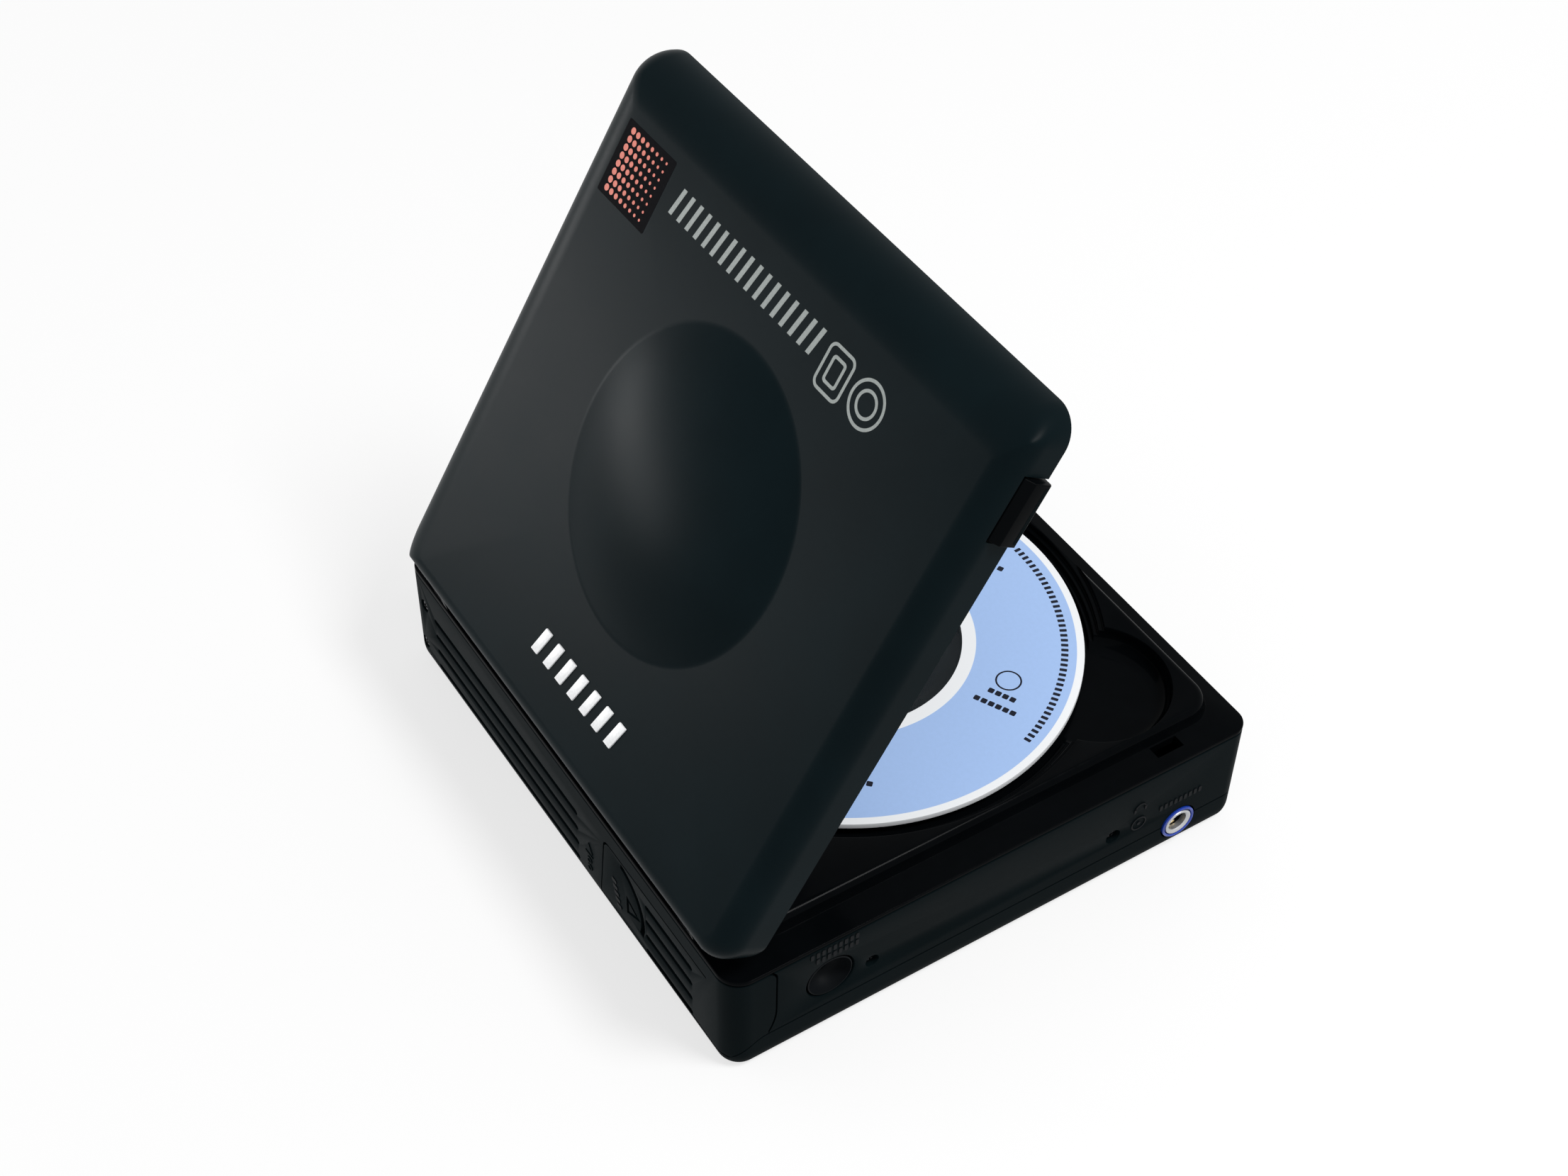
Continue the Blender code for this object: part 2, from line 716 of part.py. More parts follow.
def side_hole(radius, y, below_rim, depth):
    """A cutter through or into the -X wall."""
    left = LEFT_WALL - OVERRUN
    return cylinder_x("hole", radius, left, LEFT_WALL + depth, y, RIM_HEIGHT - below_rim, MEDIUM_ROUND)


def key_spots():
    """The keys' centres along the front wall."""
    return [KEY_FIRST_X + KEY_PITCH * i for i in range(4)]


def key_outline(x, grow):
    middle = RIM_HEIGHT - KEY_BELOW_RIM
    half_width = KEY_WIDTH / 2 + grow
    half_height = KEY_HEIGHT / 2 + grow
    corner = KEY_CORNER + grow
    return plain_outline(
        x - half_width, x + half_width, middle - half_height, middle + half_height, corner, 3
    )


def front_cutters():
    """Openings in the front wall for the keys and the display."""
    inner = WALL - HALF_DEPTH + OVERRUN
    outer = -HALF_DEPTH - OVERRUN
    made = [prism_along_y("key", key_outline(x, GAP), outer, inner) for x in key_spots()]
    made.append(prism_along_y("display", display_outline(GAP), outer, inner))
    return gather("front openings", made)


def display_outline(grow):
    middle = RIM_HEIGHT - KEY_BELOW_RIM
    half_width = DISPLAY_WIDTH / 2 + grow
    half_height = DISPLAY_HEIGHT / 2 + grow
    left = DISPLAY_X - half_width
    right = DISPLAY_X + half_width
    return plain_outline(
        left, right, middle - half_height, middle + half_height, DISPLAY_FRAME + grow, 3
    )


def right_wall_cutters():
    """Slots in the +X wall for the volume wheel and the hold switch."""
    wall_inside = RIGHT_WALL - WALL - OVERRUN
    wall_outside = RIGHT_WALL + OVERRUN
    wheel_x = RIGHT_WALL + VOLUME_PROUD - VOLUME_RADIUS
    inner_reach = RIGHT_WALL - WALL - wheel_x
    half_chord = sqrt((VOLUME_RADIUS + GAP) ** 2 - inner_reach**2) + GAP
    middle = RIM_HEIGHT - VOLUME_BELOW_RIM
    half_slot = VOLUME_THICKNESS / 2 + GAP
    wheel_slot = block(
        "wheel slot",
        (wall_inside, VOLUME_Y - half_chord, middle - half_slot),
        (wall_outside, VOLUME_Y + half_chord, middle + half_slot),
    )
    half_run = HOLD_LENGTH / 2 + GAP
    half_hold = HOLD_HEIGHT / 2 + GAP
    hold_slot = block(
        "hold slot",
        (wall_inside, HOLD_Y - half_run, middle - half_hold),
        (wall_outside, HOLD_Y + half_run + HOLD_TRAVEL, middle + half_hold),
    )
    return gather("right openings", [wheel_slot, hold_slot])


def phones_cutter():
    left = LEFT_WALL - OVERRUN
    radius = PHONES_RING_RADIUS + GAP
    right = LEFT_WALL + WALL + OVERRUN
    return cylinder_x("phones", radius, left, right, PHONES_Y, PHONES_HEIGHT, MEDIUM_ROUND)


def pillar_spots():
    """Where the long screws run from the bottom cover up into the deck."""
    left = LEFT_WALL + PILLAR_INSET_X
    right = RIGHT_WALL - PILLAR_INSET_X
    front = PILLAR_FRONT_INSET - HALF_DEPTH
    back = HALF_DEPTH - PILLAR_INSET_X
    return [(right, front), (right, back), (left, PILLAR_BACK_LEFT_Y), (left, front)]


def foot_spots():
    left = LEFT_WALL + FOOT_INSET
    right = RIGHT_WALL - FOOT_INSET
    y = HALF_DEPTH - FOOT_INSET
    return [(right, y), (left, y), (left, -y), (right, -y)]


def make_case(materials, door_joint):
    """The side case, the bottom cover and the battery door, all cut from the one tray."""
    tray = body_tray()
    cover = copy_of(tray, "cover")
    combine(cover, below_parting(), "INTERSECT")
    case = tray
    combine(case, above_parting(), "INTERSECT")
    door = copy_of(case, "door")
    combine(door, door_volume(GAP), "INTERSECT")
    cut(case, door_volume(0))

    cut(case, groove_cutters(GROOVE_NEAR_X, GROOVE_FAR_X), phones_cutter())
    cut(case, side_hole(DC_RADIUS + GAP, DC_Y, DC_BELOW_RIM, WALL + OVERRUN))
    through = WALL + OVERRUN
    for radius, y, below in (
        (SMALL_HOLE_BACK_RADIUS, SMALL_HOLE_BACK_Y, SMALL_HOLE_BACK_BELOW_RIM),
        (SMALL_HOLE_FRONT_RADIUS, SMALL_HOLE_FRONT_Y, SMALL_HOLE_FRONT_BELOW_RIM),
    ):
        cut(case, side_hole(radius, y, below, through))
    cut(case, front_cutters(), right_wall_cutters())
    complete(case, "side_case", materials["case"])

    cut(cover, phones_cutter())
    for x, y in pillar_spots():
        foot_of_pillar = FLOOR_TOP - FLOOR / 2
        join(cover, cylinder("pillar", PILLAR_RADIUS, foot_of_pillar, DECK_BOTTOM - GAP, x, y, SMALL_ROUND))
        cut(cover, cylinder("bore", PILLAR_BORE, -OVERRUN, DECK_BOTTOM + OVERRUN, x, y, SMALL_ROUND))
        seat = UNDERSIDE + SCREW_SINK + SCREW_HEAD_HEIGHT
        cut(cover, cylinder("seat", SCREW_HEAD_RADIUS + GAP, -OVERRUN, seat, x, y, 16))
    feet = [
        cylinder("recess", FOOT_RADIUS + GAP, -OVERRUN, UNDERSIDE + FOOT_RECESS, x, y, 16)
        for x, y in foot_spots()
    ]
    cut(cover, gather("recesses", feet))
    complete(cover, "bottom_cover", materials["cover"])

    cut(door, groove_cutters(DOOR_GROOVE_NEAR_X, DOOR_GROOVE_FAR_X))
    cut(door, grip_arc_cutter(), arrow_cutter())
    complete(door, "battery_door", materials["case"], door_joint)


def grip_arc_cutter():
    """The crescent that a thumb pushes on the battery door."""
    outer = arc(GRIP_ARC_X, GRIP_ARC_Z, GRIP_ARC_RADIUS, pi * 0.62, pi * 1.12, 12)
    inner_radius = GRIP_ARC_RADIUS - GRIP_ARC_WIDTH / 2
    inner = arc(GRIP_ARC_X, GRIP_ARC_Z, inner_radius, pi * 1.12, pi * 0.62, 12)
    return prism_along_y("grip", outer + inner, HALF_DEPTH - GROOVE_DEPTH, HALF_DEPTH + OVERRUN)


def arrow_cutter():
    """A triangle that points the way the door slides."""
    half = ARROW_SIZE / 2
    shape = [
        (ARROW_X - ARROW_SIZE, GRIP_ARC_Z),
        (ARROW_X, GRIP_ARC_Z - half),
        (ARROW_X, GRIP_ARC_Z + half),
    ]
    return prism_along_y("arrow", shape, HALF_DEPTH - GROOVE_DEPTH / 2, HALF_DEPTH + OVERRUN)


# Deck and what stands in it


def deck_body():
    """The slab with its flange on the case and the raised plateau round the disc."""
    inner = WALL + GAP

    def plateau(inset, height):
        radius = max(PLATEAU_CORNER - inset, PLATEAU_CORNER / 4)
        points = plain_outline(
            LEDGE_SIDE + inset + LEFT_WALL,
            RIGHT_WALL - LEDGE_SIDE - inset,
            LEDGE_FRONT + inset - HALF_DEPTH,
            HALF_DEPTH - LEDGE_BACK - inset,
            radius,
        )
        return level(points, height)

    edge = PLATEAU_EDGE
    rings = [
        level(base_outline(inner), DECK_BOTTOM),
        level(base_outline(inner), RIM_HEIGHT - FLANGE),
        level(base_outline(0), RIM_HEIGHT - FLANGE),
        level(base_outline(0), RIM_HEIGHT),
        plateau(0, RIM_HEIGHT),
        plateau(edge / 4, PLATEAU_TOP - edge),
    ]
    steps = 3
    for i in range(1, steps + 1):
        turn = pi / 2 * i / steps
        rings.append(plateau(edge / 4 + edge * (1 - cos(turn)), PLATEAU_TOP - edge * (1 - sin(turn))))
    return loft("deck", rings)


def well_cutter():
    """The stepped round well that the disc lies in."""
    profile = [(0, WELL_FLOOR)]
    rise = (PLATEAU_TOP - WELL_FLOOR) / (WELL_STEPS + 1)
    radius = WELL_RADIUS - WELL_STEP * WELL_STEPS
    height = WELL_FLOOR
    for i in range(WELL_STEPS + 1):
        profile.append((radius, height))
        height = WELL_FLOOR + rise * (i + 1)
        if i < WELL_STEPS:
            profile.append((radius, height))
            radius += WELL_STEP
    profile.append((radius, PLATEAU_TOP + OVERRUN))
    profile.append((0, PLATEAU_TOP + OVERRUN))
    return turned("well", profile, FINE_ROUND, at(0, DISC_CENTRE_Y))


def finger_cutter():
    """The round dip at the front left corner, where a finger lifts the disc's edge."""
    profile = [(0, WELL_FLOOR)]
    steps = 4
    for i in range(steps + 1):
        turn = pi / 2 * i / steps
        across = FINGER_RADIUS - FINGER_FILLET * (1 - sin(turn))
        profile.append((across, WELL_FLOOR + FINGER_FILLET * (1 - cos(turn))))
    profile += [(FINGER_RADIUS, PLATEAU_TOP + OVERRUN), (0, PLATEAU_TOP + OVERRUN)]
    return turned("finger", profile, 28, at(FINGER_X, FINGER_Y))


def pickup_window():
    """The hub hole and the slot that the lens looks through, as one outline."""
    half = WINDOW_WIDTH / 2
    start = atan(half / sqrt(HUB_HOLE_RADIUS**2 - half**2))
    round_part = arc(0, DISC_CENTRE_Y, HUB_HOLE_RADIUS, start, FULL_TURN - start, MEDIUM_ROUND)
    far = WINDOW_LENGTH
    corners = [(far, DISC_CENTRE_Y - half), (far, DISC_CENTRE_Y + half)]
    return prism("window", round_part + corners, PAN_BOTTOM - OVERRUN, WELL_FLOOR + OVERRUN)


def latch_slot():
    """The slot in the left ledge that takes the lid's latch tongue."""
    left = LATCH_TONGUE_INSET + LEFT_WALL - GAP
    right = left + LATCH_TONGUE_THICKNESS + LATCH_TRAVEL + 2 * GAP
    half = LATCH_TONGUE_WIDTH / 2 + 2 * GAP
    return block(
        "slot",
        (left, LATCH_Y - half, DECK_BOTTOM - OVERRUN),
        (right, LATCH_Y + half, RIM_HEIGHT + OVERRUN),
    )


def hinge_lug(side):
    """A knuckle of the deck that the lid turns on."""
    half = LUG_WIDTH / 2
    centre = HINGE_MIDDLE_X + side * LUG_CENTRE_X
    left, right = centre - half, centre + half
    head = arc(HINGE_BEHIND_CENTRE, HINGE_Z, LUG_RADIUS, -pi / 6, pi, 14)
    root = RIM_HEIGHT - SLAB / 2
    back = HALF_DEPTH - WALL / 4
    front = back - LUG_FOOT
    return prism_along_x("lug", [(front, root), (back, root), *head], left, right)


def make_deck(materials, plunger_joint):
    deck = deck_body()
    pan_radius = WELL_RADIUS - WELL_STEP * WELL_STEPS + PAN_WALL
    join(deck, cylinder("pan", pan_radius, PAN_BOTTOM, DECK_BOTTOM + SLAB / 2, 0, DISC_CENTRE_Y, FINE_ROUND))
    finger_pan = FINGER_RADIUS + FINGER_WALL
    pan_top = DECK_BOTTOM + SLAB / 2
    join(deck, cylinder("finger pan", finger_pan, PAN_BOTTOM, pan_top, FINGER_X, FINGER_Y, MEDIUM_ROUND))
    cut(deck, well_cutter(), finger_cutter(), pickup_window(), latch_slot())
    for side in (-1, 1):
        join(deck, hinge_lug(side))
        reach = LUG_WIDTH / 2 + OVERRUN
        left = HINGE_MIDDLE_X + side * LUG_CENTRE_X - reach
        right = HINGE_MIDDLE_X + side * LUG_CENTRE_X + reach
        bore = HINGE_PIN_RADIUS + RUNNING_GAP
        cut(deck, cylinder_x("bore", bore, left, right, HINGE_BEHIND_CENTRE, HINGE_Z))
    thread = SCREW_RADIUS + GAP / 2
    holes = [
        cylinder("thread", thread, DECK_BOTTOM - OVERRUN, RIM_HEIGHT - GAP, x, y, SMALL_ROUND)
        for x, y in pillar_spots()
    ]
    holes.append(
        cylinder(
            "plunger hole",
            PLUNGER_RADIUS + RUNNING_GAP,
            DECK_BOTTOM - OVERRUN,
            RIM_HEIGHT + OVERRUN,
            PLUNGER_X,
            PLUNGER_Y,
            SMALL_ROUND,
        )
    )
    cut(deck, gather("deck holes", holes))
    complete(deck, "deck", materials["gloss"])

    stem = cylinder(
        "stem",
        PLUNGER_RADIUS,
        DECK_BOTTOM - PLUNGER_RISE,
        RIM_HEIGHT + PLUNGER_RISE,
        PLUNGER_X,
        PLUNGER_Y,
        SMALL_ROUND,
    )
    complete(stem, "lid_switch_plunger", materials["gloss"], plunger_joint)
    half = PLUNGER_RADIUS * 2
    switch_top = DECK_BOTTOM - PLUNGER_RISE - PLUNGER_TRAVEL - GAP
    right = RIGHT_WALL - WALL - GAP
    switch = block(
        "switch",
        (PLUNGER_X - half * 2, PLUNGER_Y - half, switch_top - half * 2),
        (right, PLUNGER_Y + half, switch_top),
    )
    complete(switch, "lid_switch", materials["dark"])


# Disc and turntable


def make_spindle(materials, spindle_joint):
    disc = turned(
        "disc",
        [
            (DISC_HOLE_RADIUS, DISC_BOTTOM),
            (DISC_RADIUS, DISC_BOTTOM),
            (DISC_RADIUS, DISC_TOP),
            (DISC_HOLE_RADIUS, DISC_TOP),
        ],
        FINE_ROUND,
        at(0, DISC_CENTRE_Y),
    )
    complete(disc, "disc", materials["disc"], spindle_joint)

    seat = DISC_BOTTOM - GAP
    hub_top = DISC_BOTTOM + HUB_HEIGHT
    groove_low = DISC_TOP + GAP / 2
    groove_high = groove_low + CLIP_THICKNESS + GAP
    profile = [
        (0, SPINDLE_END + BOARD_TOP),
        (SPINDLE_RADIUS, SPINDLE_END + BOARD_TOP),
        (SPINDLE_RADIUS, seat - TURNTABLE_THICKNESS - GAP),
        (MOTOR_BUSH_RADIUS, seat - TURNTABLE_THICKNESS - GAP),
        (MOTOR_BUSH_RADIUS, seat - TURNTABLE_THICKNESS),
        (TURNTABLE_RADIUS, seat - TURNTABLE_THICKNESS),
        (TURNTABLE_RADIUS, seat),
        (HUB_RADIUS, seat),
        (HUB_RADIUS, groove_low),
        (HUB_RADIUS - CLIP_GROOVE_DEPTH, groove_low),
        (HUB_RADIUS - CLIP_GROOVE_DEPTH, groove_high),
        (HUB_RADIUS, groove_high),
        (HUB_RADIUS, hub_top - HUB_CHAMFER),
        (HUB_RADIUS - HUB_CHAMFER, hub_top),
        (0, hub_top),
    ]
    table = turned("table", profile, 24, at(0, DISC_CENTRE_Y))
    complete(table, "turntable", materials["dark"], spindle_joint)
    clip = prism("clip", clip_outline(), groove_low + GAP / 2, groove_high - GAP / 2)
    complete(clip, "disc_clip", materials["steel"], spindle_joint)

    motor_top = CHASSIS_BOTTOM - GAP
    bore = SPINDLE_RADIUS + RUNNING_GAP
    edge = MOTOR_BUSH_RADIUS / 4
    motor_bottom = motor_top - SPINDLE_MOTOR_HEIGHT
    can = [
        (bore, motor_bottom),
        (SPINDLE_MOTOR_RADIUS - edge, motor_bottom),
        (SPINDLE_MOTOR_RADIUS, motor_bottom + edge),
        (SPINDLE_MOTOR_RADIUS, motor_top),
        (MOTOR_BUSH_RADIUS, motor_top),
        (MOTOR_BUSH_RADIUS, CHASSIS_TOP),
        (bore, CHASSIS_TOP),
    ]
    motor = turned("motor", can, 24, at(0, DISC_CENTRE_Y))
    complete(motor, "spindle_motor", materials["steel"])


def clip_outline():
    """A flat open spring ring in the hub's groove, with lobes that reach over the disc's hole."""
    inner = HUB_RADIUS - CLIP_GROOVE_DEPTH + RUNNING_GAP
    body = HUB_RADIUS - CLIP_REACH / 2
    steps = 27
    outside = []
    inside = []
    for i in range(steps + 1):
        turn = CLIP_OPENING / 2 + (FULL_TURN - CLIP_OPENING) * i / steps
        lobe = max(0.0, -cos(CLIP_LOBES * turn)) ** 3
        across = body + (CLIP_REACH + CLIP_REACH / 2) * lobe
        outside.append((across * cos(turn), DISC_CENTRE_Y + across * sin(turn)))
        inside.append((inner * cos(turn), DISC_CENTRE_Y + inner * sin(turn)))
    return outside + inside[::-1]


# Chassis, rods and sled


def damper_spots():
    left = CHASSIS_LEFT + DAMPER_INSET
    right = CHASSIS_RIGHT - DAMPER_INSET
    front = CHASSIS_FRONT + DAMPER_INSET
    back = CHASSIS_BACK - DAMPER_INSET
    return [(left, front), (right, front), (right, back)]


def make_chassis(materials):
    shape = plain_outline(CHASSIS_LEFT, CHASSIS_RIGHT, CHASSIS_FRONT, CHASSIS_BACK, CHASSIS_CORNER)
    plate = prism("plate", shape, CHASSIS_BOTTOM, CHASSIS_TOP)
    ends = (SLED_START - BRACKET_LENGTH - 2 * GAP, rod_end() - BRACKET_LENGTH)
    for start in ends:
        for side in (-1, 1):
            middle = DISC_CENTRE_Y + side * ROD_SPREAD
            half = ROD_DROP
            bracket = block(
                "bracket",
                (start, middle - half, ROD_HEIGHT - half),
                (start + BRACKET_LENGTH, middle + half, CHASSIS_BOTTOM + CHASSIS_THICKNESS / 2),
            )
            join(plate, bracket)
            hole = ROD_RADIUS + RUNNING_GAP
            right = start + BRACKET_LENGTH + OVERRUN / 2
            cut(plate, cylinder_x("rod hole", hole, start - OVERRUN / 2, right, middle, ROD_HEIGHT))
    half_window = ACTUATOR_WIDTH / 2 + 3 * GAP
    centre = SLED_START + SLED_LENGTH / 2
    half_actuator = ACTUATOR_LENGTH / 2 + 3 * GAP
    window = block(
        "window",
        (centre - half_actuator, DISC_CENTRE_Y - half_window, CHASSIS_BOTTOM - OVERRUN),
        (centre + half_actuator + SLED_TRAVEL, DISC_CENTRE_Y + half_window, CHASSIS_TOP + OVERRUN),
    )
    hub_hole = cylinder(
        "hub hole",
        MOTOR_BUSH_RADIUS + GAP,
        CHASSIS_BOTTOM - OVERRUN,
        CHASSIS_TOP + OVERRUN,
        0,
        DISC_CENTRE_Y,
    )
    post_hole = cylinder(
        "post hole",
        GEAR_POST_RADIUS + GAP / 2,
        CHASSIS_BOTTOM - OVERRUN,
        CHASSIS_TOP + OVERRUN,
        FEED_GEAR_X,
        FEED_GEAR_Y,
        SMALL_ROUND,
    )
    cut(plate, window, hub_hole, post_hole)
    complete(plate, "chassis_plate", materials["zinc"])

    low = CHASSIS_TOP + GAP
    for number, (x, y) in enumerate(damper_spots(), 1):
        high = low + DAMPER_HEIGHT
        damper = tube("damper", DAMPER_RADIUS, DAMPER_RADIUS / 3, low, high, x, y, SMALL_ROUND)
        complete(damper, f"rubber_damper_{number}", materials["rubber"])
    for side, name in ((-1, "guide_rod_front"), (1, "guide_rod_back")):
        y = DISC_CENTRE_Y + side * ROD_SPREAD
        left = SLED_START - BRACKET_LENGTH - 2 * GAP
        rod = cylinder_x("rod", ROD_RADIUS, left, rod_end(), y, ROD_HEIGHT)
        complete(rod, name, materials["steel"])


def rod_end():
    return SLED_START + SLED_LENGTH + SLED_TRAVEL + BRACKET_LENGTH + 2 * GAP


def make_sled(materials, sled_joint):
    end = SLED_START + SLED_LENGTH
    shape = plain_outline(
        SLED_START,
        end,
        DISC_CENTRE_Y - SLED_HALF_WIDTH,
        DISC_CENTRE_Y + SLED_HALF_WIDTH,
        ROD_RADIUS,
        3,
    )
    sled = prism("sled", shape, SLED_BOTTOM, SLED_TOP)
    middle = SLED_START + SLED_LENGTH / 2
    half_length = ACTUATOR_LENGTH / 2
    half_width = ACTUATOR_WIDTH / 2
    top = DISC_BOTTOM - ACTUATOR_TOP_BELOW_DISC
    housing = prism(
        "housing",
        plain_outline(
            middle - half_length,
            middle + half_length,
            DISC_CENTRE_Y - half_width,
            DISC_CENTRE_Y + half_width,
            ROD_RADIUS,
            3,
        ),
        SLED_TOP - SLED_HEIGHT / 2,
        top,
    )
    join(sled, housing)
    lens_depth = (top - SLED_TOP) / 2
    seat_bottom = top - lens_depth
    seat_radius = LENS_RADIUS + GAP
    seat = cylinder("seat", seat_radius, seat_bottom, top + OVERRUN, middle, DISC_CENTRE_Y, MEDIUM_ROUND)
    cut(sled, seat)
    for side in (-1, 1):
        y = DISC_CENTRE_Y + side * ROD_SPREAD
        hole = ROD_RADIUS + RUNNING_GAP
        cut(sled, cylinder_x("rod way", hole, SLED_START - OVERRUN, end + OVERRUN, y, ROD_HEIGHT))
    complete(sled, "pickup_sled", materials["dark"], sled_joint)

    lens_bottom = top - lens_depth + GAP
    lens_top = DISC_BOTTOM - LENS_TOP_BELOW_DISC
    crown = (lens_top - lens_bottom) / 2
    profile = [(0, lens_bottom), (LENS_RADIUS, lens_bottom)]
    steps = 3
    for i in range(steps):
        turn = pi / 2 * i / steps
        profile.append((LENS_RADIUS * cos(turn), lens_top - crown * (1 - sin(turn))))
    profile.append((0, lens_top))
    lens = turned("lens", profile, SMALL_ROUND, at(middle, DISC_CENTRE_Y))
    complete(lens, "pickup_lens", materials["glass"], sled_joint)

    rack = rack_bar()
    complete(rack, "sled_rack", materials["nylon"], sled_joint)


# Gears


def involute_outline(teeth, phase, x, y):
    """A spur gear's outline with involute flanks. A tooth points along the phase angle."""
    pitch_radius = GEAR_MODULE * teeth / 2
    base_radius = pitch_radius * cos(PRESSURE_ANGLE)
    tip_radius = pitch_radius + GEAR_MODULE * ADDENDUM_SHARE
    root_radius = pitch_radius - GEAR_MODULE * DEDENDUM_SHARE
    half_tooth = pi / (2 * teeth) - BACKLASH / (2 * pitch_radius)
    at_pitch = tan(PRESSURE_ANGLE) - PRESSURE_ANGLE
    points = []
    start_radius = max(base_radius, root_radius)
    steps = 1
    for tooth in range(teeth):
        middle = phase + FULL_TURN * tooth / teeth
        flank = []
        for i in range(steps + 1):
            radius = start_radius + (tip_radius - start_radius) * i / steps
            angle = acos(min(1.0, base_radius / radius))
            flank.append((radius, half_tooth + at_pitch - (tan(angle) - angle)))
        root_half = flank[0][1]
        side = [(root_radius, -root_half)] + [(r, -a) for r, a in flank]
        side += [(r, a) for r, a in reversed(flank)] + [(root_radius, root_half)]
        for radius, turn in side:
            points.append((x + radius * cos(middle + turn), y + radius * sin(middle + turn)))
    return points


def rack_bar():
    """The sled's rack, its teeth towards the feed pinion, with a space over the pinion's axis."""
    pitch = pi * GEAR_MODULE
    pitch_line = FEED_GEAR_Y + FEED_PINION_RADIUS
    tip = pitch_line - GEAR_MODULE * ADDENDUM_SHARE
    root = pitch_line + GEAR_MODULE * DEDENDUM_SHARE
    back = root + RACK_BACK
    half_pitch_line = pitch / 4 - BACKLASH / 2
    tip_half = half_pitch_line - GEAR_MODULE * ADDENDUM_SHARE * tan(PRESSURE_ANGLE)
    root_half = half_pitch_line + GEAR_MODULE * DEDENDUM_SHARE * tan(PRESSURE_ANGLE)
    last = FEED_GEAR_X + pitch / 2 + pitch
    first = last - pitch * (RACK_TEETH - 1)
    points = [(first - pitch / 2, root)]
    for i in range(RACK_TEETH):
        middle = first + pitch * i
        points += [
            (middle - root_half, root),
            (middle - tip_half, tip),
            (middle + tip_half, tip),
            (middle + root_half, root),
        ]
    end = last + pitch / 2
    points += [(end, root), (end, back), (first - pitch / 2, back)]
    rack = prism("rack", points, RACK_BOTTOM, RACK_TOP)
    sled_side = DISC_CENTRE_Y - SLED_HALF_WIDTH - GAP
    middle = SLED_START + SLED_LENGTH / 2
    half = SLED_LENGTH / 4
    arm = block(
        "arm", (middle - half, back - RACK_BACK / 2, RACK_BOTTOM), (middle + half, sled_side, RACK_TOP)
    )
    return join(rack, arm)


def make_feed_train(materials, feed_joint, pinion_joint):
    bore = GEAR_POST_RADIUS + RUNNING_GAP
    wheel = prism(
        "wheel",
        involute_outline(FEED_WHEEL_TEETH, MOTOR_DIRECTION, FEED_GEAR_X, FEED_GEAR_Y),
        FEED_WHEEL_BOTTOM,
        FEED_WHEEL_TOP,
    )
    pinion_top = RACK_TOP + GAP / 2
    pinion = prism(
        "pinion",
        involute_outline(FEED_PINION_TEETH, pi / 2, FEED_GEAR_X, FEED_GEAR_Y),
        FEED_WHEEL_TOP - FEED_WHEEL_THICKNESS / 2,
        pinion_top,
    )
    join(wheel, pinion)
    low = FEED_WHEEL_BOTTOM - OVERRUN
    cut(wheel, cylinder("bore", bore, low, pinion_top + OVERRUN, FEED_GEAR_X, FEED_GEAR_Y, SMALL_ROUND))
    complete(wheel, "feed_gear", materials["nylon"], feed_joint)

    cap = GEAR_POST_RADIUS * POST_CAP_SHARE
    cap_top = FEED_WHEEL_BOTTOM - GAP
    profile = [
        (0, cap_top - GEAR_POST_RADIUS),
        (cap, cap_top - GEAR_POST_RADIUS),
        (cap, cap_top),
        (GEAR_POST_RADIUS, cap_top),
        (GEAR_POST_RADIUS, CHASSIS_TOP),
        (0, CHASSIS_TOP),
    ]
    post = turned("post", profile, SMALL_ROUND, at(FEED_GEAR_X, FEED_GEAR_Y))
    complete(post, "feed_gear_post", materials["steel"])

    motor_top = CHASSIS_BOTTOM - GAP
    motor_bottom = FEED_WHEEL_TOP + GAP
    shaft_bore = MOTOR_SHAFT_RADIUS + RUNNING_GAP
    can = tube("can", FEED_MOTOR_RADIUS, shaft_bore, motor_bottom, motor_top, MOTOR_X, MOTOR_Y)
    complete(can, "feed_motor", materials["steel"])
    shape = involute_outline(
        MOTOR_PINION_TEETH, MOTOR_DIRECTION + pi + pi / MOTOR_PINION_TEETH, MOTOR_X, MOTOR_Y
    )
    small = prism("small", shape, FEED_WHEEL_BOTTOM, FEED_WHEEL_TOP)
    shaft = cylinder(
        "shaft",
        MOTOR_SHAFT_RADIUS,
        FEED_WHEEL_BOTTOM + FEED_WHEEL_THICKNESS / 2,
        motor_top - GAP,
        MOTOR_X,
        MOTOR_Y,
        SMALL_ROUND,
    )
    complete(join(small, shaft), "motor_pinion", materials["brass"], pinion_joint)


# Lid


def lid_section(front_inset, left_inset, right_inset, back_inset, height):
    """One level of the lid, whose corners tighten as the edges beside them draw in."""

    def corner(radius, side_inset, end_inset):
        least = radius / 5
        return (max(radius - side_inset, least), max(radius - end_inset, least))

    points = outline(
        LEFT_WALL + left_inset,
        RIGHT_WALL - right_inset,
        front_inset - HALF_DEPTH,
        LID_BACK - back_inset,
        [
            corner(LID_FRONT_RIGHT_CORNER, right_inset, front_inset),
            corner(LID_BACK_CORNER, right_inset, back_inset),
            corner(LID_BACK_CORNER, left_inset, back_inset),
            corner(LID_FRONT_LEFT_CORNER, left_inset, front_inset),
        ],
    )
    return level(points, height)


def round_over(radius, drop):
    """How far a rounded edge has drawn in, a given distance below its top."""
    if drop >= radius:
        return 0.0
    return radius - sqrt(radius**2 - (radius - drop) ** 2)


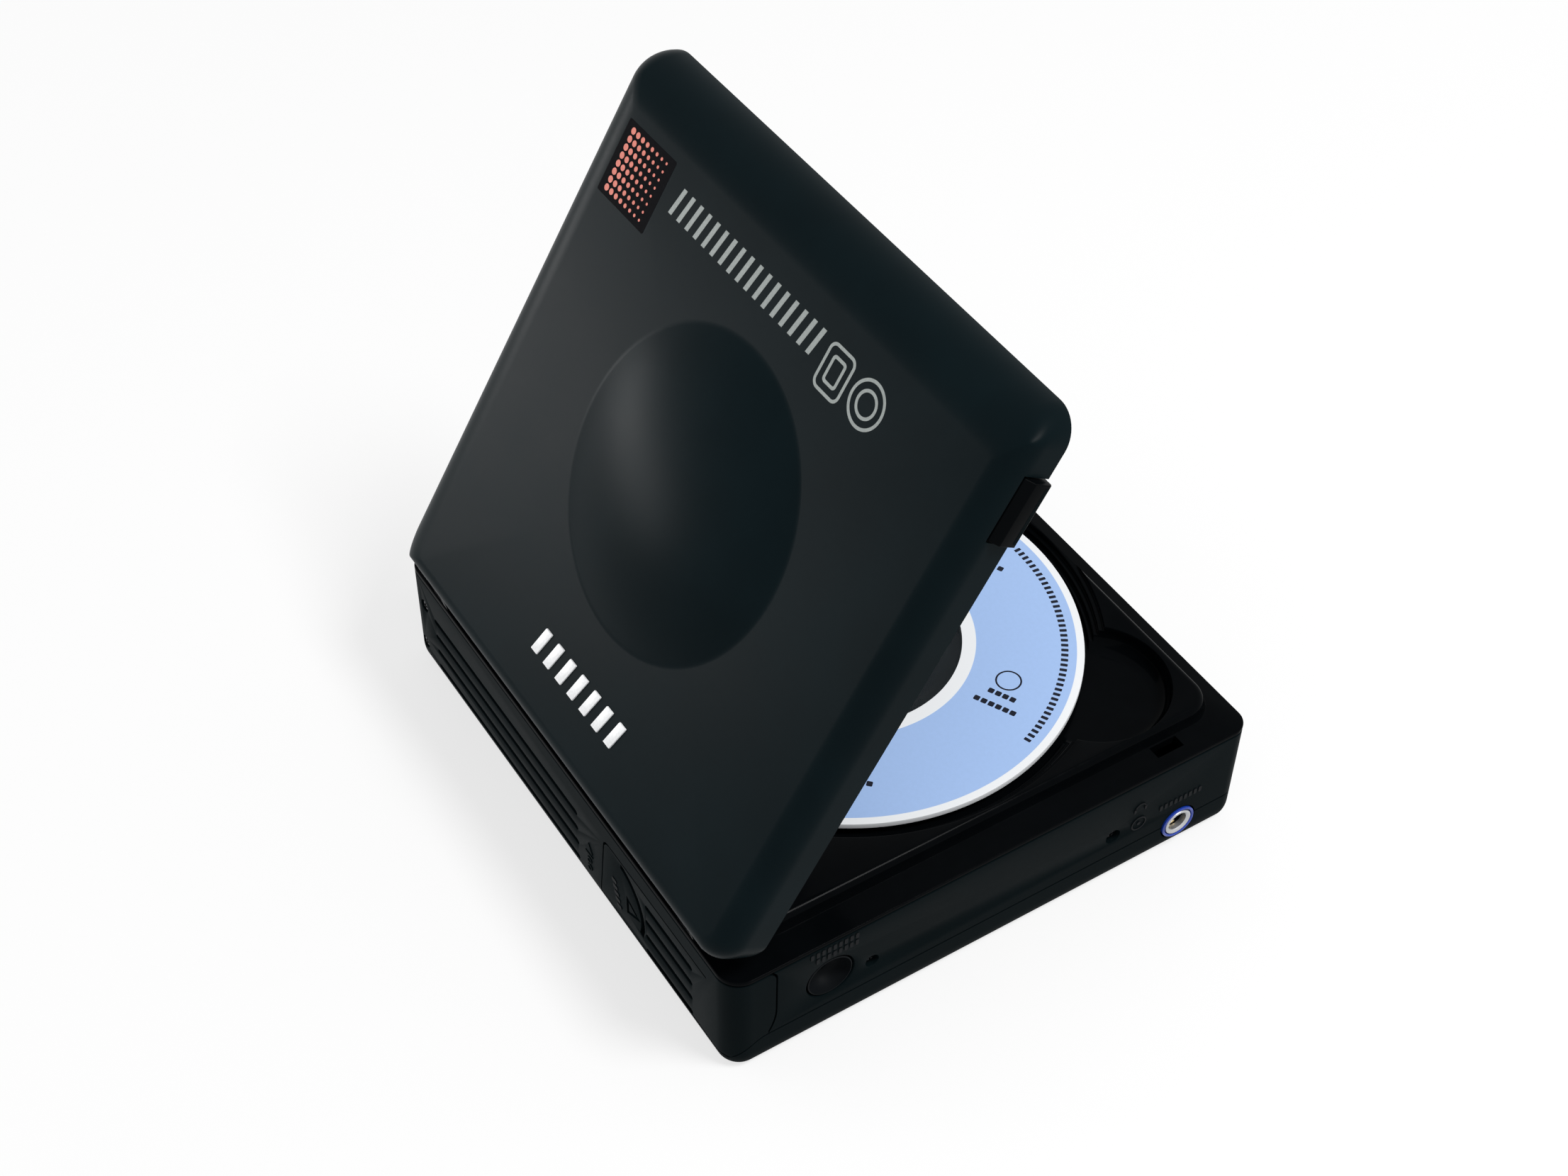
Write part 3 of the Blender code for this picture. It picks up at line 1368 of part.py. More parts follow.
def lid_rings(top, offset, bottom, steps):
    """Rings from the rim up over the rounded edges, for a surface set in by an offset."""
    front = LID_FRONT_ROUND - offset
    left = LID_LEFT_ROUND - offset
    right = LID_RIGHT_ROUND - offset
    back = LID_BACK_ROUND - offset
    lower = LID_BACK_LOWER_ROUND

    def ring(drop, back_in):
        return lid_section(
            offset + round_over(front, drop),
            offset + round_over(left, drop),
            offset + round_over(right, drop),
            offset + back_in + round_over(back, drop),
            top - drop,
        )

    rings = []
    for share in LOWER_ROUND_SHARES:
        rings.append(ring(top - bottom - lower * share, lower * (1 - sqrt(1 - (1 - share) ** 2))))
    start = asin(max(0, 1 - (top - bottom - lower) / front))
    first = 1 if start > 0 else 0
    for i in range(first, steps + 1):
        rings.append(ring(front * (1 - sin(start + (pi / 2 - start) * i / steps)), 0))
    return rings


def dome_profile(radius, rise, foot, steps):
    """A shallow round cap, from below its foot up to its crown."""
    sphere = (radius**2 + rise**2) / (2 * rise)
    centre = foot + rise - sphere
    profile = [(0, foot - OVERRUN / 2), (radius, foot - OVERRUN / 2)]
    for i in range(steps + 1):
        across = radius * (1 - i / steps)
        profile.append((across, centre + sqrt(sphere**2 - across**2)))
    return profile


def lid_notches():
    """Openings in the lid's back wall, where the deck's knuckles stand."""
    made = []
    half = LUG_WIDTH / 2 + 2 * GAP
    clear = LUG_RADIUS + 2 * GAP
    back = HINGE_BEHIND_CENTRE + clear
    for side in (-1, 1):
        centre = HINGE_MIDDLE_X + side * LUG_CENTRE_X
        made.append(
            block(
                "notch",
                (centre - half, HALF_DEPTH - LUG_FOOT - WALL, LID_RIM - OVERRUN),
                (centre + half, back, HINGE_Z + clear),
            )
        )
    return gather("notches", made)


def latch_notch():
    """The opening in the lid's -X wall that the latch button sits in."""
    half = LATCH_LENGTH / 2 + GAP
    return block(
        "latch notch",
        (LEFT_WALL - OVERRUN, LATCH_Y - half, LID_RIM - OVERRUN),
        (LID_WALL + LEFT_WALL + OVERRUN, LATCH_Y + half, LID_RIM + LATCH_HEIGHT + GAP),
    )


def hinge_ear(side):
    """A knuckle on the lid's back wall that holds a hinge pin, outboard of the deck's own."""
    inner = LUG_CENTRE_X + LUG_WIDTH / 2 + 2 * GAP
    outer = inner + EAR_WIDTH
    left, right = sorted((HINGE_MIDDLE_X + side * inner, HINGE_MIDDLE_X + side * outer))
    head = arc(HINGE_BEHIND_CENTRE, HINGE_Z, EAR_RADIUS, -pi / 2, pi / 2, 12)
    front = LID_BACK - LID_WALL - EAR_RADIUS / 2
    root = HINGE_Z + EAR_RADIUS
    return prism_along_x("ear", [(front, HINGE_Z - EAR_RADIUS), *head, (front, root)], left, right)


def make_lid(materials, lid_joint):
    outside = lid_rings(LID_TOP, 0, LID_RIM, 7)
    inside = lid_rings(LID_TOP - LID_WALL, LID_WALL, LID_RIM, 5)
    shell = loft("lid", outside[::-1] + inside)
    shell.data.flip_normals()
    dome_shape = dome_profile(DOME_RADIUS, DOME_HEIGHT, LID_TOP, 5)
    dome = turned("dome", dome_shape, FINE_ROUND, at(0, DOME_CENTRE_Y))
    join(shell, dome)
    hollow_radius = DOME_RADIUS - LID_WALL
    hollow_shape = dome_profile(hollow_radius, DOME_HEIGHT, LID_TOP - LID_WALL, 3)
    hollow = turned("hollow", hollow_shape, ROUND, at(0, DOME_CENTRE_Y))
    cut(shell, hollow)
    for side in (-1, 1):
        join(shell, hinge_ear(side))
    cut(shell, lid_notches(), latch_notch())
    for side, name in ((-1, "hinge_pin_left"), (1, "hinge_pin_right")):
        inner = LUG_CENTRE_X - LUG_WIDTH / 2 - GAP
        outer = LUG_CENTRE_X + LUG_WIDTH / 2 + EAR_WIDTH
        left, right = sorted((HINGE_MIDDLE_X + side * inner, HINGE_MIDDLE_X + side * outer))
        hole = HINGE_PIN_RADIUS + GAP / 2
        pin = cylinder_x("pin", HINGE_PIN_RADIUS, left, right, HINGE_BEHIND_CENTRE, HINGE_Z)
        complete(pin, name, materials["steel"], lid_joint)
        end = GAP / 2
        cut(shell, cylinder_x("pin seat", hole, left - end, right + end, HINGE_BEHIND_CENTRE, HINGE_Z))
    complete(shell, "lid_shell", materials["lid"], lid_joint)
    make_liner(materials, lid_joint)


def liner_ring(offset, height):
    """One level of the liner, which follows the lid's inside and stops short of the hinge."""
    drop = LID_TOP - offset - height
    return lid_section(
        offset + round_over(LID_FRONT_ROUND - offset, drop),
        offset + round_over(LID_LEFT_ROUND - offset, drop),
        offset + round_over(LID_RIGHT_ROUND - offset, drop),
        LID_BACK - LINER_BACK + offset - LINER_OFFSET,
        height,
    )


def make_liner(materials, lid_joint):
    """The glossy pan inside the lid, with the ring that keeps the disc on its hub."""
    top = LID_TOP - LINER_DROP
    ceiling = top - LINER_THICKNESS
    rim = LID_RIM + LINER_RIM_LIFT
    inner = LINER_OFFSET + LINER_SKIRT
    steps = 4
    rings = [liner_ring(inner, ceiling + (rim - ceiling) * i / steps) for i in range(steps + 1)]
    rings += [liner_ring(LINER_OFFSET, rim + (top - rim) * i / steps) for i in range(steps + 1)]
    liner = loft("liner", rings)
    presser_bottom = DISC_TOP + PRESSER_CLEARANCE
    presser = cylinder(
        "presser", PRESSER_RADIUS, presser_bottom, top - LINER_THICKNESS / 2, 0, DISC_CENTRE_Y, 24
    )
    join(liner, presser)
    low, high = presser_bottom - OVERRUN, top + OVERRUN
    bore = cylinder("bore", PRESSER_BORE, low, high, 0, DISC_CENTRE_Y, MEDIUM_ROUND)
    half = LATCH_LENGTH / 2 + LINER_SKIRT
    reach = LATCH_TONGUE_INSET + LATCH_TONGUE_THICKNESS + LATCH_TRAVEL + 2 * GAP
    gate = block(
        "gate",
        (LEFT_WALL, LATCH_Y - half, LID_RIM - OVERRUN),
        (reach + LEFT_WALL, LATCH_Y + half, LID_RIM + LATCH_HEIGHT + GAP),
    )
    skirt_top = ceiling + GAP / 3
    back = block(
        "back", (LEFT_WALL, LINER_SKIRT_END, LID_RIM - OVERRUN), (RIGHT_WALL, HALF_DEPTH, skirt_top)
    )
    cut(liner, bore, gate, back)
    complete(liner, "lid_liner", materials["gloss"], lid_joint)


def make_latch(materials, latch_joint):
    """The latch button: an outer cap, a web through the lid's wall and a tongue inside."""
    outside = LEFT_WALL - LATCH_PROUD
    half = LATCH_LENGTH / 2
    top = LID_RIM + LATCH_HEIGHT
    bevel = LATCH_PROUD / 3
    tongue_left = LATCH_TONGUE_INSET + LEFT_WALL
    profile = [
        (outside + bevel, LID_RIM),
        (LID_WALL + LEFT_WALL, LID_RIM),
        (tongue_left, LID_RIM + LINER_RIM_LIFT),
        (tongue_left, top),
        (LEFT_WALL, top),
        (outside, top - LATCH_PROUD),
        (outside, LID_RIM + bevel),
    ]
    button = prism_along_y("button", profile, LATCH_Y - half, LATCH_Y + half)
    tongue_half = LATCH_TONGUE_WIDTH / 2
    root = tongue_left - LATCH_TONGUE_THICKNESS
    tip = RIM_HEIGHT - LATCH_TONGUE_DEPTH
    tongue = block(
        "tongue",
        (root, LATCH_Y - tongue_half, tip),
        (tongue_left + LATCH_TONGUE_THICKNESS, LATCH_Y + tongue_half, top - LATCH_TONGUE_THICKNESS),
    )
    relief = block(
        "relief",
        (root - OVERRUN, LATCH_Y - half, tip - OVERRUN),
        (tongue_left, LATCH_Y + half, LID_RIM + LINER_RIM_LIFT * LATCH_RELIEF_SHARE),
    )
    cut(tongue, relief)
    complete(join(button, tongue), "latch_button", materials["gloss"], latch_joint)


# Battery bay


def battery_place():
    """The battery's near corner: left end, front face and underside."""
    left = WALL + BATTERY_END_GAP + LEFT_WALL
    back = HALF_DEPTH - WALL - GAP
    top = CASE_TOP - SLAB
    return left, back - BATTERY_THICKNESS, top - BATTERY_HEIGHT


def make_battery(materials):
    left, front, bottom = battery_place()
    radius = BATTERY_THICKNESS / 4
    shape = plain_outline(
        front, front + BATTERY_THICKNESS, bottom, bottom + BATTERY_HEIGHT, radius, 4
    )
    pack = prism_along_x("pack", shape, left, left + BATTERY_LENGTH)
    complete(pack, "battery_pack", materials["battery"])

    gap = GAP
    wall = CRADLE_WALL
    stop = left + BATTERY_LENGTH + 2 * gap + CONTACT_THICKNESS
    back = front + BATTERY_THICKNESS
    battery_top = bottom + BATTERY_HEIGHT
    cradle = block("cradle", (left, front - gap - wall, bottom - gap - wall), (stop + wall, back, battery_top))
    room = block(
        "room", (left - OVERRUN, front - gap, bottom - gap), (stop, back + OVERRUN, battery_top + OVERRUN)
    )
    cut(cradle, room)
    complete(cradle, "battery_cradle", materials["dark"])

    middle = (front + back) / 2
    half = CONTACT_WIDTH / 2
    x = stop - gap / 2 - CONTACT_THICKNESS
    spacing = BATTERY_HEIGHT / 4
    centre = bottom + BATTERY_HEIGHT / 2
    for side, name in ((1, "battery_contact_plus"), (-1, "battery_contact_minus")):
        z = centre + side * spacing
        low = (x, middle - half, z - half / 2)
        contact = block("contact", low, (x + CONTACT_THICKNESS, middle + half, z + half / 2))
        complete(contact, name, materials["brass"])


# Sockets


def make_sockets(materials):
    z = RIM_HEIGHT - DC_BELOW_RIM
    outside = LEFT_WALL + GAP / 2
    depth = DC_DISH_DEPTH
    steps = 4
    dish = []
    for i in range(steps + 1):
        turn = pi / 2 * i / steps
        across = DC_RADIUS - (DC_RADIUS - DC_PIN_HOLE) * (1 - cos(turn))
        dish.append((across * (1 - 0.04 * (1 - i / steps)), depth * sin(turn)))
    length = DC_BODY_LENGTH
    floor = length - DC_PIN_RADIUS * 2
    shell = [(DC_RADIUS, 0), (DC_RADIUS, length), (0, length)]
    profile = [(0, floor), (DC_PIN_HOLE, floor), *dish[::-1], *shell]
    jack = turned("dc", profile, ROUND, along_x(outside, DC_Y, z))
    complete(jack, "dc_jack", materials["dark"])
    pin = cylinder_x("pin", DC_PIN_RADIUS, outside + depth, outside + floor - GAP, DC_Y, z)
    complete(pin, "dc_jack_pin", materials["steel"])

    ring_left = LEFT_WALL - PHONES_RING_PROUD
    inner_end = WALL + LEFT_WALL
    ring = turned(
        "ring",
        [
            (PHONES_SLEEVE_RADIUS + GAP / 2, 0),
            (PHONES_RING_RADIUS - GAP, 0),
            (PHONES_RING_RADIUS, GAP),
            (PHONES_RING_RADIUS, inner_end - ring_left),
            (PHONES_SLEEVE_RADIUS + GAP / 2, inner_end - ring_left),
        ],
        ROUND,
        along_x(ring_left, PHONES_Y, PHONES_HEIGHT),
    )
    complete(ring, "headphone_ring", materials["blue"])
    sleeve_length = PHONES_BODY_LENGTH
    sleeve = turned(
        "sleeve",
        [
            (PHONES_BORE_RADIUS, 0),
            (PHONES_SLEEVE_RADIUS, 0),
            (PHONES_SLEEVE_RADIUS, sleeve_length),
            (PHONES_BORE_RADIUS, sleeve_length),
        ],
        ROUND,
        along_x(ring_left, PHONES_Y, PHONES_HEIGHT),
    )
    complete(sleeve, "headphone_sleeve", materials["steel"])
    half = PHONES_BODY_WIDTH / 2
    body_left = LEFT_WALL + WALL + UNDER_EDGE / 2 + GAP * 2
    low = max(PHONES_HEIGHT - half, FLOOR_TOP + GAP)
    body = block(
        "body",
        (body_left, PHONES_Y - half, low),
        (body_left + PHONES_BODY_LENGTH, PHONES_Y + half, PHONES_HEIGHT + half),
    )
    way_end = body_left + PHONES_BODY_LENGTH - OVERRUN
    way_radius = PHONES_SLEEVE_RADIUS + GAP
    way = cylinder_x("way", way_radius, body_left - OVERRUN, way_end, PHONES_Y, PHONES_HEIGHT, ROUND)
    cut(body, way)
    complete(body, "headphone_jack_body", materials["dark"])

    for name, y, below, radius in (
        ("side_screw_back", SMALL_HOLE_BACK_Y, SMALL_HOLE_BACK_BELOW_RIM, SMALL_HOLE_BACK_RADIUS),
        ("side_screw_front", SMALL_HOLE_FRONT_Y, SMALL_HOLE_FRONT_BELOW_RIM, SMALL_HOLE_FRONT_RADIUS),
    ):
        left = SIDE_SCREW_SINK + LEFT_WALL
        right = left + SIDE_SCREW_LENGTH
        screw = cylinder_x("screw", radius - GAP, left, right, y, RIM_HEIGHT - below)
        complete(screw, name, materials["steel"])


# Controls


def make_controls(materials, key_joints, volume_joint, hold_joint):
    names = ("skip_back_key", "stop_key", "play_key", "skip_forward_key")
    front = -HALF_DEPTH - KEY_PROUD
    inside = WALL - HALF_DEPTH
    for name, x, joint in zip(names, key_spots(), key_joints):
        key = prism_along_y("key", key_outline(x, 0), front, inside + GAP + KEY_FLANGE / 2)
        flange = prism_along_y("flange", key_outline(x, KEY_FLANGE), inside + GAP, inside + GAP + KEY_FLANGE)
        complete(join(key, flange), name, materials["key"], joint)

    window = prism_along_y("window", display_outline(0), GAP - HALF_DEPTH, inside)
    complete(window, "display_window", materials["glass"])
    module_front = inside + GAP
    module = prism_along_y(
        "module", display_outline(DISPLAY_FRAME), module_front, module_front + DISPLAY_MODULE_DEPTH
    )
    complete(module, "display_module", materials["screen"])

    middle = RIM_HEIGHT - KEY_BELOW_RIM
    board_front = module_front + max(DISPLAY_MODULE_DEPTH, KEY_FLANGE + KEY_TRAVEL * 3) + GAP
    half_height = DISPLAY_HEIGHT / 2 + DISPLAY_FRAME
    left = DISPLAY_X - DISPLAY_WIDTH / 2
    right = key_spots()[-1] + KEY_WIDTH / 2
    board = block(
        "board",
        (left, board_front, middle - half_height),
        (right, board_front + CONTROL_BOARD_THICKNESS, middle + half_height),
    )
    switch_front = inside + GAP + KEY_FLANGE + KEY_TRAVEL + GAP / 2
    half = KEY_HEIGHT / 3
    for x in key_spots():
        middle_of_board = board_front + CONTROL_BOARD_THICKNESS / 2
        switch = block(
            "switch", (x - half, switch_front, middle - half), (x + half, middle_of_board, middle + half)
        )
        join(board, switch)
    complete(board, "control_board", materials["board"])

    wheel_x = RIGHT_WALL + VOLUME_PROUD - VOLUME_RADIUS
    wheel_middle = RIM_HEIGHT - VOLUME_BELOW_RIM
    shape = []
    for i in range(2 * VOLUME_RIBS):
        radius = VOLUME_RADIUS - (VOLUME_RIB_DEPTH if i % 2 else 0)
        turn = FULL_TURN * i / (2 * VOLUME_RIBS)
        shape.append((wheel_x + radius * cos(turn), VOLUME_Y + radius * sin(turn)))
    half_wheel = VOLUME_THICKNESS / 2
    wheel = prism("wheel", shape, wheel_middle - half_wheel, wheel_middle + half_wheel)
    bore = POT_BOSS_RADIUS + RUNNING_GAP
    low = wheel_middle - VOLUME_THICKNESS
    high = wheel_middle + VOLUME_THICKNESS
    cut(wheel, cylinder("bore", bore, low, high, wheel_x, VOLUME_Y, MEDIUM_ROUND))
    complete(wheel, "volume_wheel", materials["key"], volume_joint)
    pot_top = wheel_middle - half_wheel - GAP
    profile = [
        (0, BOARD_TOP + GAP),
        (POT_RADIUS, BOARD_TOP + GAP),
        (POT_RADIUS, pot_top),
        (POT_BOSS_RADIUS, pot_top),
        (POT_BOSS_RADIUS, wheel_middle + half_wheel + GAP),
        (0, wheel_middle + half_wheel + GAP),
    ]
    pot_x = wheel_x
    complete(turned("pot", profile, 24, at(pot_x, VOLUME_Y)), "volume_pot", materials["dark"])

    half_run = HOLD_LENGTH / 2
    half_hold = HOLD_HEIGHT / 2
    knob_left = RIGHT_WALL - WALL - GAP - HOLD_PROUD
    knob = block(
        "knob",
        (RIGHT_WALL - WALL - GAP * 2, HOLD_Y - half_run, wheel_middle - half_hold),
        (RIGHT_WALL + HOLD_PROUD, HOLD_Y + half_run, wheel_middle + half_hold),
    )
    plate = block(
        "plate",
        (knob_left, HOLD_Y - half_run - GAP * 3, wheel_middle - half_hold - GAP * 3),
        (RIGHT_WALL - WALL - GAP, HOLD_Y + half_run + GAP * 3, wheel_middle + half_hold + GAP * 3),
    )
    complete(join(knob, plate), "hold_switch", materials["key"], hold_joint)


# Boards, fasteners and feet


def make_boards(materials):
    shape = plain_outline(BOARD_LEFT, BOARD_RIGHT, BOARD_FRONT, BOARD_BACK, BOARD_STANDOFF * 2, 3)
    board = prism("board", shape, BOARD_BOTTOM, BOARD_TOP)
    complete(board, "main_board", materials["board"])
    low = BOARD_TOP + GAP
    width = BOARD_RIGHT - BOARD_LEFT
    depth = BOARD_BACK - BOARD_FRONT
    x = BOARD_LEFT + width * CHIP_X_SHARE
    y = BOARD_FRONT + depth * CHIP_Y_SHARE
    chip = block("chip", (x, y, low), (x + CHIP_SIZE, y + CHIP_SIZE, low + CHIP_HEIGHT))
    complete(chip, "processor_chip", materials["dark"])
    x = BOARD_LEFT + width * CAPACITOR_X_SHARE
    y = BOARD_FRONT + depth * CAPACITOR_Y_SHARE
    can = cylinder("can", CAPACITOR_RADIUS, low, low + CAPACITOR_HEIGHT, x, y, 20)
    complete(can, "board_capacitor", materials["steel"])


def make_fasteners(materials):
    head_low = UNDERSIDE + SCREW_SINK
    head_high = head_low + SCREW_HEAD_HEIGHT - GAP
    end = DECK_BOTTOM + SCREW_BITE
    for number, (x, y) in enumerate(pillar_spots(), 1):
        profile = [
            (0, head_low),
            (SCREW_HEAD_RADIUS, head_low),
            (SCREW_HEAD_RADIUS, head_high),
            (SCREW_RADIUS, head_high),
            (SCREW_RADIUS, end),
            (0, end),
        ]
        screw = turned("screw", profile, SMALL_ROUND, at(x, y))
        complete(screw, f"case_screw_{number}", materials["steel"])
    top = UNDERSIDE + FOOT_RECESS - GAP / 2
    edge = FOOT_PROUD / 2
    for number, (x, y) in enumerate(foot_spots(), 1):
        profile = [(0, 0), (FOOT_RADIUS - edge, 0), (FOOT_RADIUS, edge), (FOOT_RADIUS, top), (0, top)]
        foot = turned("foot", profile, 16, at(x, y))
        complete(foot, f"rubber_foot_{number}", materials["rubber"])


def make_materials():
    return {
        "lid": finish("lid matte black", (0.016, 0.018, 0.020), 0.42),
        "case": finish("case matte black", (0.022, 0.025, 0.027), 0.50),
        "cover": finish("cover matte black", (0.026, 0.028, 0.030), 0.55),
        "gloss": finish("gloss black", (0.006, 0.006, 0.008), 0.12),
        "dark": finish("dark moulding", (0.020, 0.020, 0.022), 0.55),
        "key": finish("key black", (0.030, 0.031, 0.033), 0.40),
        "disc": finish("disc label side", (0.42, 0.60, 0.86), 0.30),
        "steel": finish("bright steel", (0.62, 0.62, 0.64), 0.25, 1.0),
        "zinc": finish("zinc plate", (0.50, 0.51, 0.52), 0.38, 1.0),
        "brass": finish("brass", (0.72, 0.55, 0.26), 0.30, 1.0),
        "nylon": finish("natural nylon", (0.74, 0.72, 0.64), 0.45),
        "rubber": finish("black rubber", (0.018, 0.018, 0.018), 0.85),
        "blue": finish("blue ring", (0.012, 0.075, 0.42), 0.35),
        "battery": finish("battery sleeve", (0.10, 0.16, 0.30), 0.40),
        "board": finish("board green", (0.020, 0.120, 0.060), 0.45),
        "glass": finish("clear window", (0.05, 0.06, 0.07), 0.05, 0.0, 0.6),
        "screen": finish("display", (0.26, 0.30, 0.24), 0.30),
    }


def main():
    clear_scene()
    materials = make_materials()
    lid_joint = joint_at("lid_axis", 0, HINGE_BEHIND_CENTRE, HINGE_Z)
    latch_joint = joint_at("latch_axis", LEFT_WALL, LATCH_Y, LID_RIM + LATCH_HEIGHT / 2)
    spindle_joint = joint_at("spindle_axis", 0, DISC_CENTRE_Y, DISC_BOTTOM)
    sled_joint = joint_at("sled_axis", SLED_START, DISC_CENTRE_Y, ROD_HEIGHT)
    feed_joint = joint_at("feed_gear_axis", FEED_GEAR_X, FEED_GEAR_Y, FEED_WHEEL_TOP)
    pinion_joint = joint_at("motor_pinion_axis", MOTOR_X, MOTOR_Y, FEED_WHEEL_TOP)
    door_joint = joint_at("door_axis", LEFT_WALL, HALF_DEPTH, DOOR_BOTTOM)
    plunger_joint = joint_at("plunger_axis", PLUNGER_X, PLUNGER_Y, RIM_HEIGHT)
    key_height = RIM_HEIGHT - KEY_BELOW_RIM
    key_joints = [joint_at("key_axis", x, -HALF_DEPTH, key_height) for x in key_spots()]
    wheel_x = RIGHT_WALL + VOLUME_PROUD - VOLUME_RADIUS
    volume_joint = joint_at("volume_axis", wheel_x, VOLUME_Y, RIM_HEIGHT - VOLUME_BELOW_RIM)
    hold_joint = joint_at("hold_axis", RIGHT_WALL, HOLD_Y, RIM_HEIGHT - VOLUME_BELOW_RIM)

    make_case(materials, door_joint)
    make_deck(materials, plunger_joint)
    make_spindle(materials, spindle_joint)
    make_chassis(materials)
    make_sled(materials, sled_joint)
    make_feed_train(materials, feed_joint, pinion_joint)
    make_lid(materials, lid_joint)
    make_latch(materials, latch_joint)
    make_battery(materials)
    make_sockets(materials)
    make_controls(materials, key_joints, volume_joint, hold_joint)
    make_boards(materials)
    make_fasteners(materials)

    latch_joint.parent = lid_joint
    latch_joint.matrix_parent_inverse = Matrix.Translation(-lid_joint.location)
    lid_joint.rotation_euler.x = -LID_REST_ANGLE


main()
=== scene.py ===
"""Dresses the pocket disc player: its lid held open over the stepped well, with a disc on the hub.

Sizes are in millimetres until a piece is finished, and the frame is in metres.
The lid's pieces are drawn closed, then turned open about the hinge that the frame names.
"""

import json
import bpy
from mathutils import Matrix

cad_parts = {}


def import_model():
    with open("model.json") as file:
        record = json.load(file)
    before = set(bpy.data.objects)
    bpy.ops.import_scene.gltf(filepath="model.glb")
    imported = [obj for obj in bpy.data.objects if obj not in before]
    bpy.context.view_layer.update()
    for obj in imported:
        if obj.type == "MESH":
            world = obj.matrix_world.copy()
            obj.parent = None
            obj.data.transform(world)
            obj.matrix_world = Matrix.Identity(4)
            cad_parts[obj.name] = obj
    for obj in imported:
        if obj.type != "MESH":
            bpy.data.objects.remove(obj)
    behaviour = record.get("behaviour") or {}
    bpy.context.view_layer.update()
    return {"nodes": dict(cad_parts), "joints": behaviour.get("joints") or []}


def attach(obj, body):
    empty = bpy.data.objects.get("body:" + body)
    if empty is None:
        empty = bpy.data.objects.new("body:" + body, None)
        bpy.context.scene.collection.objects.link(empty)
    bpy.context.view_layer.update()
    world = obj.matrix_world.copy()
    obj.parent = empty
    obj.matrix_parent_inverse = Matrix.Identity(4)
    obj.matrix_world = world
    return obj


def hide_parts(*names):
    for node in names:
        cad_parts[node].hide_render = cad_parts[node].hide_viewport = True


bl_info = {
    "name": "Pocket Disc Player",
    "version": (1, 0, 0),
    "blender": (4, 5, 0),
    "location": "View3D > Sidebar > Disc Player",
    "description": "Builds the dressed surfaces of a pocket disc player around its packed model",
    "category": "Add Mesh",
}

from math import asin, atan2, cos, pi, radians, sin, sqrt

import bmesh
import bpy
from bpy.props import FloatProperty, FloatVectorProperty, IntProperty, PointerProperty
from mathutils import Matrix, Vector

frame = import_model()

MM = 0.001
JOINTS = {each["name"]: each for each in frame["joints"]}
HINGE_X, HINGE_Y, HINGE_Z = [value / MM for value in JOINTS["lid_hinge"]["pos_m"]]
LID_OPEN = -JOINTS["lid_hinge"]["range_deg"][0]

# Case
LEFT, RIGHT, DEPTH, RIM = -50.0, 55.5, 49.25, 22.1
WALL, FLOOR, FOOT, GAP, OVER = 1.6, 1.4, 0.4, 0.3, 1.0
FRONT_CORNER, BACK_LEFT_CORNER, BACK_RIGHT_CORNER = 3.2, 4.0, 3.6
UNDER_IN, UNDER_UP = 1.3, 3.2
PARTING, PARTING_BACK, DROP_START, DROP_END = 6.3, 1.4, 42.5, 49.3
DECK_LIP, EASED = 0.8, 0.12
CASE_TOP = RIM - DECK_LIP - GAP
GROOVE_DROP, GROOVE_PITCH, GROOVE_EASED = 7.6, 3.7, 0.14
WALL_GROOVES, DOOR_GROOVES = (-3.5, 46.5), (-39.0, -25.0)
PILLARS = ((49.7, -43.75), (49.7, 43.45), (-44.2, 19.0), (-44.2, -43.75))
PILLAR_RADIUS, PILLAR_BORE = 2.4, 1.1
FEET = ((42.0, 35.75), (-36.5, 35.75), (-36.5, -35.75), (42.0, -35.75))
FOOT_RADIUS = 4.0
BACK_SCREWS = ((50.2, 14.9), (51.6, 4.8))

# Battery door
DOOR_END, DOOR_SIDE, DOOR_BOTTOM, DOOR_CORNER = -12.0, 40.9, 2.6, 1.8
DOOR_BACK_DROP, DOOR_SIDE_DROP, DOOR_REACH, DOOR_SWEEP, DOOR_LEAN = 4.5, 0.7, 6.8, 9.0, 1.7
DOOR_SHOULDER, DOOR_SHOULDER_IN = -43.5, 1.45
THUMB, THUMB_OUTER, THUMB_INNER, THUMB_DEPTH = (-16.0, 8.5), 8.6, 7.5, 0.9
THUMB_START, THUMB_END = 0.56 * pi, 1.12 * pi
ARROW = [(-23.4, 8.5), (-19.0, 6.3), (-19.0, 10.7)]
ARROW_HOLLOW, ARROW_DEPTH = [(-21.9, 8.5), (-19.7, 7.4), (-19.7, 9.6)], 0.3
DOOR_SIGN_SPOT, DOOR_SIGN_STEP = (-15.3, 10.5), (-0.32, -1.3)

# Signs on the walls
SIGN_SUNK, SIGN_PROUD = 0.2, 0.12
HEADSET_SPOT, DIAL_SPOT = (-27.6, 14.9), (-27.7, 11.1)
WALL_ROWS = ((-36.2, 11.9, 9), (30.9, 20.0, 9), (30.4, 18.4, 8))
BACK_SIGN_X, BACK_SIGN_HALF = -7.0, 1.2

